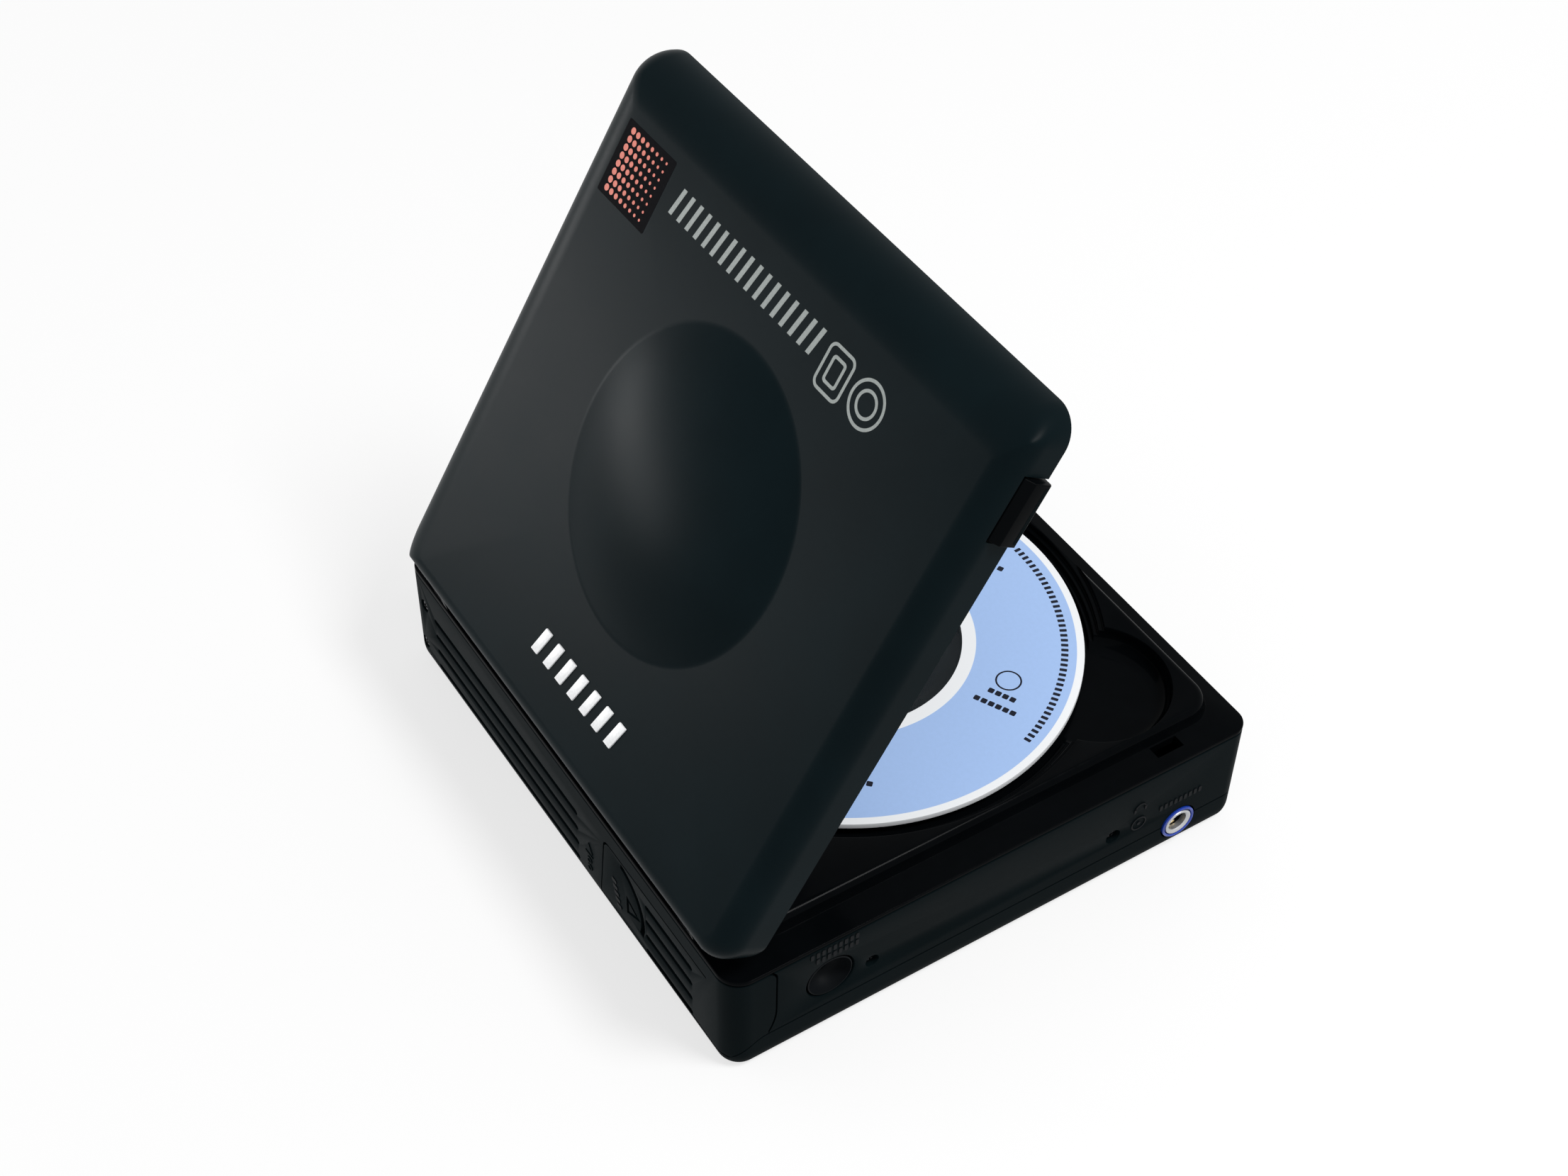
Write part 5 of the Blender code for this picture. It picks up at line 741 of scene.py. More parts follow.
def use(name):
    """The named finish, made the first time it is asked for."""
    colours = bpy.context.scene.player_finishes
    disc = bpy.context.scene.player_disc
    recipes = {
        "lid plastic": lambda n: moulded(n, colours.lid, 0.34, 0.55, 0.05, gloss=0.022),
        "case plastic": lambda n: moulded(n, colours.case, 0.44, 0.9, gloss=0.008),
        "cover plastic": lambda n: moulded(n, colours.cover, 0.50, 1.1, gloss=0.008),
        "deck gloss": lambda n: polished(n, colours.gloss, gloss=0.015),
        "latch plastic": lambda n: moulded(n, colours.gloss, 0.30, 0.3, gloss=0.02),
        "inner black": lambda n: moulded(n, (0.005, 0.006, 0.007), 0.5, 0.8, gloss=0.04),
        "key plastic": lambda n: moulded(n, (0.026, 0.027, 0.029), 0.34, 0.4),
        "disc label": lambda n: disc_label(n, disc),
        "disc clear": lambda n: clear(n, (0.020, 0.026, 0.030), 0.40, gloss=0.1),
        "disc read side": read_side,
        "steel": lambda n: metal(n, (0.62, 0.62, 0.64), 0.24, 0.3),
        "zinc": lambda n: metal(n, (0.50, 0.51, 0.52), 0.38, 0.2),
        "brass": lambda n: metal(n, (0.72, 0.55, 0.26), 0.30, 0.1),
        "black screw": lambda n: metal(n, (0.045, 0.046, 0.05), 0.34, 0.1),
        "nylon": lambda n: moulded(n, (0.70, 0.68, 0.60), 0.45, 0.4),
        "rubber": lambda n: rubbery(n, (0.012, 0.013, 0.014)),
        "blue plastic": lambda n: moulded(n, colours.ring, 0.30, 0.2),
        "battery sleeve": lambda n: shrink_wrapped(n, (0.10, 0.16, 0.30)),
        "circuit board": lambda n: lacquered_board(n, (0.012, 0.10, 0.045)),
        "window": lambda n: clear(n, (0.02, 0.024, 0.026), 0.45, 0.05),
        "display": lambda n: moulded(n, (0.20, 0.235, 0.185), 0.30, 0.1),
        "display cells": lambda n: printed(n, (0.10, 0.12, 0.095), 0.30),
        "grey print": lambda n: printed(n, colours.print_grey),
        "white paint": lambda n: printed(n, colours.print_white, 0.35),
        "orange print": lambda n: printed(n, colours.print_orange),
        "black print": lambda n: printed(n, (0.002, 0.002, 0.003), 0.5, gloss=0.01),
        "label ink": lambda n: printed(n, (0.008, 0.010, 0.020), 0.45, gloss=0.1),
        "lens glass": lambda n: polished(n, (0.02, 0.03, 0.07), 0.03),
    }
    return bpy.data.materials.get(name) or recipes[name](name)


# Lid


def round_over(radius, drop):
    """How far a rounded edge has drawn in, a given distance below its top."""
    return radius - sqrt(radius**2 - (radius - drop) ** 2) if drop < radius else 0.0


def lid_level(front, left, right, back, height):
    """One level of the lid, whose corners tighten as the edges beside them draw in."""
    steps = bpy.context.scene.player_lid.corner_steps
    beside = ((right, front), (right, back), (left, back), (left, front))
    radii = []
    for radius, (across, along) in zip(LID_CORNERS, beside):
        radii.append((max(radius - across, radius / 5), max(radius - along, radius / 5)))
    box = (LEFT + left, RIGHT - right, front - DEPTH, LID_BACK - back)
    return level(corner_outline(*box, radii, steps, steps * 2), height)


def rolled(offset, edge, drop):
    """How far the front, left, right and back edges lie in, a drop below an offset surface's top."""
    return [offset + edge + round_over(roll - offset, drop) for roll in LID_ROLLS]


def lid_rings(top, offset, bottom, steps):
    """Rings from the rim up over the rounded edges, for a surface set in by an offset."""

    def ring(drop, back_in=0.0, edge=0.0):
        front, left, right, back = rolled(offset, edge, drop)
        return lid_level(front, left, right, back + back_in, top - drop)

    rings = []
    for share in SKIRT_SHARES:
        edge = LID_LIP_EASED if share == 0 and not offset else 0.0
        back_in = LID_SKIRT * (1 - sqrt(1 - (1 - share) ** 2))
        rings.append(ring(top - bottom - LID_SKIRT * share, back_in, edge))
    roll = LID_ROLLS[0] - offset
    start = asin(max(0.0, 1 - (top - bottom - LID_SKIRT) / roll))
    for i in range(1, steps + 1):
        rings.append(ring(roll * (1 - sin(start + (pi / 2 - start) * i / steps))))
    return rings


def dome_levels(radius, rise, fillet, foot, steps):
    """The dome's (radius, height) points, from its fillet up to its crown."""
    ball = (radius**2 + rise**2) / (2 * rise)
    middle = rise - ball
    reach = sqrt((ball + fillet) ** 2 - (fillet - middle) ** 2)
    lean = asin(reach / (ball + fillet))
    points = []
    for i in range(7):
        turn = lean * i / 6
        points.append((reach - fillet * sin(turn), foot + fillet * (1 - cos(turn))))
    for i in range(1, steps + 1):
        turn = lean * (1 - i / (steps + 0.4))
        points.append((ball * sin(turn), foot + middle + ball * cos(turn)))
    return points


def on_circle(ring, radius, height):
    """A circle about the dome's centre whose points lie in line with a ring's."""
    turns = [atan2(y - DOME_Y, x) for x, y, _ in ring]
    return [(radius * cos(t), DOME_Y + radius * sin(t), height) for t in turns]


def hinge_spots():
    """Which way is outboard at each hinge, and its x."""
    return [(side, HINGE_X + side * LUG_X) for side in (-1, 1)]


def lid_shell(sizes):
    outside = lid_rings(LID_TOP, 0.0, LID_RIM, 22)
    inside = lid_rings(LID_TOP - LID_WALL, LID_WALL, LID_RIM, 8)
    dome = dome_levels(sizes.dome_radius / MM, sizes.dome_rise / MM, sizes.dome_fillet / MM, LID_TOP, 18)
    crown = [on_circle(outside[-1], radius, height) for radius, height in dome]
    shell = loft("lid", crown[::-1] + outside[::-1] + inside)
    cuts = []
    root, half = LID_BACK - LID_WALL - LID_WALL / 2, LUG_WIDTH / 2
    play, reach, room = 2 * GAP, 4.0, 2.1
    for side, x in hinge_spots():
        inner, outer = sorted((x + side * (half + play), x + side * (half + reach)))
        head = arc(HINGE_Y, HINGE_Z, LUG_RADIUS, -pi / 2, pi / 2, 24)
        ear = [(root, HINGE_Z - LUG_RADIUS), *head, (root, HINGE_Z + LUG_RADIUS)]
        join(shell, prism("ear", ear, inner, outer, "X"))
        low = (x - half - play, DEPTH - 4.8, LID_RIM - OVER)
        high = (x + half + play, HINGE_Y + room, HINGE_Z + room)
        left, right = sorted((x - side * 2.7, x + side * (half + 3.55)))
        cuts += [block("notch", low, high), cylinder_x("seat", PIN_BORE, left, right, HINGE_Y, HINGE_Z)]
    half = LATCH_LENGTH / 2 + GAP
    low = (LEFT - OVER, LATCH_Y - half, LID_RIM - OVER)
    high = (LEFT + 2.5, LATCH_Y + half, LID_RIM + LATCH_HEIGHT + GAP)
    cut(shell, *cuts, block("latch notch", low, high))
    finish(shell, "lid_outer_shell", "lid", "lid plastic", "lid", ("lid_shell",), 40)


def hinge_pins():
    for side, x in hinge_spots():
        left, right = sorted((x - side * 2.55, x + side * (LUG_WIDTH / 2 + 3.4)))
        end = PIN_RADIUS - 0.1
        profile = [(0, left), (end, left), (PIN_RADIUS, left + 0.1)]
        profile += [(PIN_RADIUS, right - 0.1), (end, right), (0, right)]
        pin = turned("pin", profile, 32, (0, HINGE_Y, HINGE_Z), "X")
        dress(pin, "hinge_pin_left" if side < 0 else "hinge_pin_right", "lid", "steel", "steel")


def lid_liner():
    top, ceiling, rim = LID_TOP - 3.4, LID_TOP - 4.4, LID_RIM + 0.8
    outside, inside = 1.8, 2.5

    def ring(offset, height, edge=0.0):
        front, left, right = rolled(offset, edge, LID_TOP - offset - height)[:3]
        return lid_level(front, left, right, LID_BACK - 42.4 + offset + edge - outside, height)

    foot = ceiling - 0.5
    rings = [ring(inside, ceiling, 0.5), ring(inside, ceiling - 0.15, 0.15)]
    rings += [ring(inside, foot - (foot - rim) * i / 10) for i in range(11)]
    rings += [ring(outside, rim + (top - rim) * i / 12) for i in range(13)]
    liner = loft("liner", rings)
    low = DISC_TOP + 1.0
    presser = [(PRESSER_INNER, ceiling + 0.4), (PRESSER_INNER, low + 0.3), (PRESSER_INNER + 0.3, low)]
    presser += [(PRESSER_OUTER - 0.3, low), (PRESSER_OUTER, low + 0.3), (PRESSER_OUTER, ceiling - 0.6)]
    presser += [(12.9, ceiling - 0.15), (13.6, ceiling), (13.6, ceiling + 0.4)]
    join(liner, turned("presser", presser, 96, (0, DISC_Y, 0), closed=True))
    half = LATCH_LENGTH / 2 + 0.7
    end = LID_RIM + LATCH_HEIGHT + GAP
    gate = block("gate", (LEFT, LATCH_Y - half, LID_RIM - OVER), (LEFT + LINER_GATE, LATCH_Y + half, end))
    back = block("back", (LEFT, 38.0, LID_RIM - OVER), (RIGHT, DEPTH, ceiling + 0.1))
    cut(liner, cylinder("bore", PRESSER_INNER, low - OVER, top + OVER, 0, DISC_Y, 96), gate, back)
    finish(liner, "lid_inner_pan", "lid", "deck gloss", "gloss", ("lid_liner",))
    inner, outer = BEAD_RADIUS - 0.4, BEAD_RADIUS + 0.4
    bead = [(inner, 0.1), (inner, -0.2), (inner + 0.15, -0.35)]
    bead += [(outer - 0.15, -0.35), (outer, -0.2), (outer, 0.1)]
    bead = turned("bead", bead, 128, (0, DISC_Y, ceiling), closed=True)
    finish(bead, "lid_pan_bead", "lid", "deck gloss", "gloss")
    rib = prism("rib", pill(0, 0, 4.8, 0.24, 0.2, 4), ceiling - 0.3, ceiling + 0.1)
    step = 2 * pi / RIB_COUNT
    rib = round_arc(rib, "deck gloss", RIB_COUNT, RIB_RADIUS, step / 2, step, (0, DISC_Y, 0))
    finish(rib, "lid_pan_ribs", "lid", "deck gloss", "gloss")


def latch_button():
    outside, half, top, inner = LEFT - LATCH_PROUD, LATCH_LENGTH / 2, LID_RIM + LATCH_HEIGHT, LEFT + 2.7
    shape = [
        (outside + 0.4, LID_RIM),
        (LEFT + LID_WALL, LID_RIM),
        (inner, LID_RIM + 0.8),
        (inner, top),
        (LEFT, top),
        (outside, top - 1.2),
        (outside, LID_RIM + 0.4),
    ]
    button = prism("button", shape, LATCH_Y - half, LATCH_Y + half, "Y")
    tip, thick, wide = RIM - 2.6, 0.9, 2
    low, high = (inner - thick, LATCH_Y - wide, tip), (inner + thick, LATCH_Y + wide, top - 0.9)
    tongue = block("tongue", low, high)
    low, high = (inner - thick - OVER, LATCH_Y - half, tip - OVER), (inner, LATCH_Y + half, LID_RIM + 0.4)
    button = soften(join(button, cut(tongue, block("relief", low, high))), 0.22, 3)
    dress(button, "latch_button", "latch", "latch plastic", "gloss")
    band = rounded(LATCH_Y - half + 0.5, LATCH_Y + half - 0.5, LID_RIM + 0.5, LID_RIM + 1.15, 0.2)
    band = prism("band", band, outside - 0.02, outside + 0.1, "X")
    finish(band, "latch_band", "latch", "cover plastic", "gloss")


def outlined(name, outer, inner, low, high):
    """The line between two outlines, as a thin body."""
    return loft(name, [level(inner, low), level(outer, low), level(outer, high), level(inner, high)], True)


def shifted(piece, x, y, z):
    piece.data.transform(Matrix.Translation((x, y, z)))
    return piece


def lid_markings(sizes):
    """Plain marks in the places where the lid is printed or carries raised letters."""
    top = LID_TOP
    ring = [circle(*PRINT_RING_SPOT, radius, 64) for radius in (3.7, 3.2, 2.2, 1.7)]
    square = [(-18.5, -12.3, -36.3, -28.9, 1.4), (-18.0, -12.8, -35.8, -29.4, 0.9)]
    square += [(-17.0, -13.8, -34.8, -30.4, 0.7), (-16.5, -14.3, -34.3, -30.9, 0.3)]
    square = [rounded(*sides) for sides in square]
    shapes = {
        "lid_print_ring": ring[:2],
        "lid_print_inner_ring": ring[2:],
        "lid_print_square": square[:2],
        "lid_print_inner_square": square[2:],
    }
    for name, pair in shapes.items():
        mark = outlined(name, *pair, top - PRINT_SUNK, top + PRINT_PROUD)
        finish(mark, name, "lid", "grey print", "lid")
    bar = prism("bar", [(-0.95, -2.3), (-0.05, -2.3), (0.95, 2.3), (0.05, 2.3)], -PRINT_SUNK, PRINT_PROUD)
    bar = along_line(bar, "grey print", sizes.bar_count, x=-sizes.bar_pitch / MM)
    finish(shifted(bar, *BARS_SPOT, top), "lid_print_bars", "lid", "grey print", "lid")
    patch = prism("patch", rounded(*PATCH_SIDES, PATCH_CORNER), top - 0.3, top + 0.02)
    finish(patch, "lid_dark_patch", "lid", "black print", "lid")
    dot = prism("dot", circle(0, 0, DOT_RADIUS, 16), -PRINT_SUNK, PRINT_SUNK)
    grid = (sizes.dot_columns, DOT_ROWS, DOT_PITCH, DOT_FADE)
    dot = over_grid(dot, "orange print", *grid, (*DOTS_SPOT, top))
    finish(dot, "lid_graded_dots", "lid", "orange print", "lid")
    mark = prism("mark", [(-1.5, -2.35), (0.3, -2.35), (1.5, 2.35), (-0.3, 2.35)], -0.1, 0.28)
    mark = along_line(soften(mark, 0.09, 2), "white paint", MARK_COUNT, x=-MARK_PITCH)
    finish(shifted(mark, *MARKS_SPOT, top), "lid_raised_marks", "lid", "white paint", "lid")


# Case


def base_level(inset, height):
    corners = (FRONT_CORNER, BACK_RIGHT_CORNER, BACK_LEFT_CORNER, FRONT_CORNER)
    radii = [(max(r - inset, 0.5), max(r - inset, 0.5)) for r in corners]
    return level(corner_outline(LEFT + inset, RIGHT - inset, inset - DEPTH, DEPTH - inset, radii, 16), height)


def body_tray():
    """The floor and walls as one tray, before the parting line splits it."""
    rings = []
    for i in range(13):
        turn = pi / 2 * i / 12
        rings.append(base_level(UNDER_IN * (1 - sin(turn)), FOOT + UNDER_UP * (1 - cos(turn))))
    rings += [base_level(0, CASE_TOP - EASED), base_level(EASED, CASE_TOP), base_level(WALL, CASE_TOP)]
    for i in range(4, -1, -1):
        turn = pi / 2 * i / 4
        height = FOOT + FLOOR + (UNDER_UP - FLOOR) * (1 - cos(turn))
        rings.append(base_level(WALL + UNDER_IN / 2 * (1 - sin(turn)), height))
    return loft("tray", rings)


def parted(side):
    """Everything above (1) or below (-1) the parting line, which drops at the back."""
    lift = GAP / 2 * side
    curve = [(-DEPTH - OVER, PARTING + lift)]
    for i in range(19):
        share = i / 18
        drop = (PARTING - PARTING_BACK) * share**2
        curve.append((DROP_START + (DROP_END - DROP_START) * share, PARTING - drop + lift))
    curve.append((DEPTH + OVER, PARTING_BACK + lift))
    far = RIM + OVER if side > 0 else -OVER
    return prism("parted", curve + [(curve[-1][0], far), (curve[0][0], far)], LEFT - OVER, RIGHT + OVER, "X")


def door_volume(shrink):
    """The space of the battery door, round the corner of the back and left walls."""
    back_top, side_top = RIM - DOOR_BACK_DROP - shrink, RIM - DOOR_SIDE_DROP - shrink
    outside, end, bottom = LEFT - OVER, DOOR_END - shrink, DOOR_BOTTOM + shrink
    back = [
        (outside, bottom),
        (end + DOOR_LEAN, bottom),
        (end, back_top - DOOR_CORNER),
        *arc(end - DOOR_CORNER, back_top - DOOR_CORNER, DOOR_CORNER, 0, pi / 2, 12),
        (DOOR_SHOULDER + shrink, back_top),
        (LEFT + DOOR_SHOULDER_IN, side_top),
        (outside, side_top),
    ]
    piece = prism("door", back, DEPTH - DOOR_REACH, DEPTH + OVER, "Y")
    near, far = DOOR_SIDE + shrink, DEPTH + OVER
    turns = [pi / 2 * i / 20 for i in range(21)]
    sweep = [(DEPTH - (DEPTH - near) * cos(t), bottom + DOOR_SWEEP * (1 - sin(t))) for t in turns]
    corner = arc(near + DOOR_CORNER, side_top - DOOR_CORNER, DOOR_CORNER, pi / 2, pi, 12)
    side = [*sweep, (far, bottom), (far, side_top), *corner]
    side = prism("door side", side, outside, LEFT + DOOR_REACH, "X")
    keep = block("keep", (outside - OVER, near, bottom - OVER), (RIGHT, far + OVER, side_top + OVER))
    return join(combine(piece, keep, "INTERSECT"), side)


def grown(outline, by):
    """An outline moved out from itself."""
    points = []
    for i, (x, y) in enumerate(outline):
        along = (Vector(outline[(i + 1) % len(outline)]) - Vector(outline[i - 1])).normalized()
        points.append((x + along.y * by, y - along.x * by))
    return points


def sunk(outline, depth, edge, axis, face, inwards):
    """A cutter whose mouth flares, so that the sunk shape has an eased edge."""
    levels = ((depth, 0.0), (edge, 0.0), (edge * 0.3, edge * 0.3), (0.0, edge), (-OVER, edge))
    place = {"Y": lambda u, v, w: (u, w, v), "X": lambda u, v, w: (w, u, v)}[axis]
    rings = []
    for down, by in levels:
        rings.append([place(u, v, face + inwards * down) for u, v in grown(outline, by)])
    return loft("sunk", rings)


def grooves(left, right, sizes):
    made = []
    for i in range(4):
        height = RIM - GROOVE_DROP - GROOVE_PITCH * i
        shape = slot_outline(left, right, height, sizes.groove_width / MM, 12)
        made.append(sunk(shape, sizes.groove_depth / MM, GROOVE_EASED, "Y", DEPTH, -1))
    return made


def case_shell(case, sizes):
    cut(case, door_volume(0.0), *grooves(*WALL_GROOVES, sizes))
    cut(case, sunk(circle(DC_Y, DC_Z, DC_MOUTH, 64), WALL + OVER, GAP, "X", LEFT, 1))
    for _, y, z, radius, _ in SIDE_SCREWS:
        cut(case, sunk(circle(y, z, radius), WALL + OVER, EASED, "X", LEFT, 1))
    through = (-DEPTH - OVER, WALL - DEPTH + OVER, "Y")
    for x in key_spots():
        cut(case, prism("key", key_outline(x, GAP), *through))
    cut(case, prism("display", display_outline(GAP), *through))
    half = sqrt(WHEEL_ROOM**2 - (RIGHT - WALL - WHEEL_X) ** 2) + GAP
    inner, outer = RIGHT - WALL - OVER, RIGHT + OVER
    cut(case, block("wheel", (inner, WHEEL_Y - half, WHEEL_Z - 1.1), (outer, WHEEL_Y + half, WHEEL_Z + 1.1)))
    low = (inner, HOLD_Y - HOLD_HALF - GAP, WHEEL_Z - HOLD_TALL - GAP)
    high = (outer, HOLD_Y + HOLD_HALF + HOLD_TRAVEL + GAP, WHEEL_Z + HOLD_TALL + GAP)
    cut(case, block("hold", low, high))
    cut(case, sunk(slot_outline(HOLD_Y - 4.6, HOLD_Y + 7.6, WHEEL_Z, 4.6, 12), 0.35, 0.2, "X", RIGHT, -1))
    cut(case, sunk(slot_outline(WHEEL_Y - 7, WHEEL_Y + 7, WHEEL_Z, 5.2, 12), 0.4, 0.25, "X", RIGHT, -1))
    for x, z in BACK_SCREWS:
        cut(case, sunk(circle(x, z, 1.2), 0.9, EASED, "Y", DEPTH, -1))
    finish(case, "case_walls", "base", "case plastic", "case", ("side_case",))


def dished(name, radius, eased, depth, segments, centre):
    """A cutter for a round seat in the bottom, with its corner eased."""
    profile = [(radius, -OVER), (radius, FOOT), (radius - 0.3, FOOT + eased), (radius - 0.3, FOOT + depth)]
    return turned(name, profile, segments, (*centre, 0))


def bottom_cover(cover):
    for x, y in PILLARS:
        join(cover, cylinder("pillar", PILLAR_RADIUS, FOOT + FLOOR / 2, DECK_BOTTOM - GAP, x, y, 32))
        cut(cover, cylinder("bore", PILLAR_BORE, -OVER, DECK_BOTTOM + OVER, x, y, 32))
        cut(cover, dished("seat", 2.5, 0.3, 1.6, 48, (x, y)))
    for spot in FEET:
        cut(cover, dished("recess", FOOT_RADIUS + 0.6, 0.2, 0.5, 64, spot))
    finish(cover, "case_bottom", "base", "cover plastic", "cover", ("bottom_cover",))


def battery_door(door, sizes):
    cut(door, *grooves(*DOOR_GROOVES, sizes))
    thumb = arc(*THUMB, THUMB_OUTER, THUMB_START, THUMB_END, 24)
    thumb += arc(*THUMB, THUMB_INNER, THUMB_END, THUMB_START, 24)
    cut(door, sunk(thumb, THUMB_DEPTH, 0.1, "Y", DEPTH, -1))
    low, high = DEPTH - ARROW_DEPTH, DEPTH + OVER
    levels = ((low, ARROW_HOLLOW), (low, ARROW), (high, ARROW), (high, ARROW_HOLLOW))
    rings = [[(x, y, z) for x, z in shape] for y, shape in levels]
    cut(door, loft("arrow", rings, closed=True))
    dress(door, "battery_door", "battery_door", "case plastic", "case")
    signs = []
    for i in range(5):
        x, z = [spot + step * i for spot, step in zip(DOOR_SIGN_SPOT, DOOR_SIGN_STEP)]
        signs.append(sign(pill(x, z, 0.7, 0.4, 0.2), "Y", DEPTH, 1))
    finish(gather("door signs", signs), "door_symbols", "battery_door", "inner black", "case")


def case_walls(sizes):
    """The case, the bottom and the battery door, all cut from the one tray."""
    tray = body_tray()
    cover = combine(copy_of(tray), parted(-1), "INTERSECT")
    case = combine(tray, parted(1), "INTERSECT")
    door = combine(copy_of(case), door_volume(GAP), "INTERSECT")
    for piece in (case, cover):
        cut(piece, cylinder_x("phones", PHONES_HOLE, LEFT - OVER, LEFT + WALL + OVER, PHONES_Y, PHONES_Z, 64))
    case_shell(case, sizes)
    bottom_cover(cover)
    battery_door(door, sizes)


def sign(shape, axis, wall, out):
    """A shape that stands a little proud of a wall, and is sunk a little into it."""
    return prism("sign", shape, *sorted((wall - out * SIGN_SUNK, wall + out * SIGN_PROUD)), axis)


def open_ring(x, y, outer, inner, ends, steps):
    """A ring with a gap, from one end's angle round to the other's."""
    start, end = ends
    return arc(x, y, outer, start, end, steps) + arc(x, y, inner, end, start, steps)


def wall_marks():
    """Small raised symbols of a plain kind by the sockets, and the back wall's screws."""
    left, base = LEFT - SIGN_PROUD, LEFT + SIGN_SUNK
    ring = [(1.25, left), (1.5, left), (1.5, base), (1.25, base)]
    parts = [turned("ring", ring, 40, (0, *DIAL_SPOT), "X", closed=True)]
    parts.append(cylinder_x("dot", 0.35, left, base, *DIAL_SPOT, 20))
    parts.append(sign(open_ring(*HEADSET_SPOT, 1.15, 0.9, (0.1, pi - 0.1), 14), "X", LEFT, -1))
    for y in (-28.65, -26.55):
        parts.append(sign(pill(y, 14.7, 0.22, 0.5, 0.15), "X", LEFT, -1))
    for y, z, count in WALL_ROWS:
        for i in range(count):
            parts.append(sign(pill(y + i - (count - 1) / 2, z, 0.3, 0.6, 0.2), "X", LEFT, -1))
    finish(gather("marks", parts), "wall_symbols", "base", "inner black", "case")
    x, half = BACK_SIGN_X, BACK_SIGN_HALF
    shapes = [[(x - half, 9.0), (x + half, 9.0), (x, 11.1)], pill(x, 8.2, half, 0.2, 0.1)]
    shapes += [open_ring(x, z, 0.75, 0.5, (0.5, 2 * pi - 0.5), 20) for z in (4.9, 6.7)]
    signs = [sign(shape, "Y", DEPTH, 1) for shape in shapes]
    finish(gather("signs", signs), "back_symbols", "base", "case plastic", "case")
    for count, (x, z) in enumerate(BACK_SCREWS, 1):
        head = screw_head(1.05, 0.7, (x, DEPTH - 0.9, z), "Y", 1)
        finish(head, f"back_screw_{count}", "base", "black screw", "steel")


def screw_head(radius, height, centre, axis, side):
    """A pan head with a crossed slot, standing on its seat and facing up or down its axis."""
    profile = [(0, 0), (radius, 0), (radius, height * 0.55), (radius * 0.93, height * 0.8)]
    profile += [(radius * 0.6, height), (0, height)]
    head = turned("screw", [(across, side * up) for across, up in profile], 40, centre, axis)
    long, thin = radius * 0.62, radius * 0.17
    near, far = sorted((side * height * 0.45, side * (height + 1)))
    order = {"X": (2, 0, 1), "Y": (0, 2, 1), "Z": (0, 1, 2)}[axis]
    for first, second in ((long, thin), (thin, long)):
        corners = (-first, -second, near), (first, second, far)
        low, high = [[place + corner[i] for place, i in zip(centre, order)] for corner in corners]
        cut(head, block("slot", low, high))
    return head


# Deck


def deck():
    def plateau(inset, height):
        radius = max(PLATEAU_CORNER - inset, PLATEAU_EDGE)
        side, front, back = PLATEAU_SIDE + inset, PLATEAU_FRONT + inset, PLATEAU_BACK + inset
        box = (LEFT + side, RIGHT - side, front - DEPTH, DEPTH - back)
        return level(corner_outline(*box, [(radius, radius)] * 4, 16), height)

    edge, hidden = PLATEAU_EDGE, WALL + GAP
    lip = ((hidden, DECK_LIP), (0.1, DECK_LIP), (0, 0.7), (0, 0.2), (0.06, 0.06), (0.2, 0))
    rings = [base_level(hidden, DECK_BOTTOM)] + [base_level(inset, RIM - drop) for inset, drop in lip]
    hollow = ((-0.45, 0), (-0.13, 0.13), (0, 0.45))
    rings += [plateau(inset, RIM + rise) for inset, rise in hollow]
    for i in range(9):
        turn = pi / 2 * i / 8
        rings.append(plateau(edge / 4 + edge * (1 - cos(turn)), PLATEAU - edge * (1 - sin(turn))))
    piece = loft("deck", rings)
    pan_top = DECK_BOTTOM + 0.75
    join(piece, cylinder("pan", PAN_RADIUS, PAN_BOTTOM, pan_top, 0, DISC_Y, 160))
    join(piece, cylinder("finger pan", FINGER_RADIUS + 1.4, PAN_BOTTOM, pan_top, FINGER_X, FINGER_Y, 64))
    cut(piece, disc_well(), finger_dip())
    start = asin(WINDOW_HALF / WINDOW_RADIUS)
    window = arc(0, DISC_Y, WINDOW_RADIUS, start, 2 * pi - start, 96)
    window += rounded(20, WINDOW_END, DISC_Y - WINDOW_HALF, DISC_Y + WINDOW_HALF, 1.0)[0:14]
    cut(piece, prism("window", window, PAN_BOTTOM - OVER, WELL_FLOOR + OVER))
    left, half = LEFT + 2.7 - GAP, 2.6
    low, high = (left, LATCH_Y - half, DECK_BOTTOM - OVER), (left + 2.3, LATCH_Y + half, RIM + OVER)
    cut(piece, block("slot", low, high))
    for side, x in hinge_spots():
        half, back, foot = LUG_WIDTH / 2, DEPTH - WALL / 4, RIM - 0.75
        head = arc(HINGE_Y, HINGE_Z, LUG_RADIUS, -pi / 6, pi, 28)
        lug = prism("lug", [(back - 3.2, foot), (back, foot), *head], x - half, x + half, "X")
        join(piece, soften(lug, 0.15, 2))
        cut(piece, cylinder_x("bore", LUG_BORE, x - half - OVER, x + half + OVER, HINGE_Y, HINGE_Z))
    hole = (PLUNGER_HOLE, DECK_BOTTOM - OVER, RIM + OVER, PLUNGER_X, PLUNGER_Y, 32)
    cut(piece, cylinder("plunger hole", *hole))
    dress(piece, "deck", "base", "deck gloss", "gloss")
    low, radius = DECK_BOTTOM - 0.7, PLUNGER_RADIUS
    stem = [(0, low), (radius, low), (radius, RIM + 0.45), (0.62, RIM + 0.65), (0, RIM + 0.7)]
    stem = turned("stem", stem, 32, (PLUNGER_X, PLUNGER_Y, 0))
    finish(stem, "lid_plunger_dressed", "lid_plunger", "inner black", "gloss", ("lid_switch_plunger",))


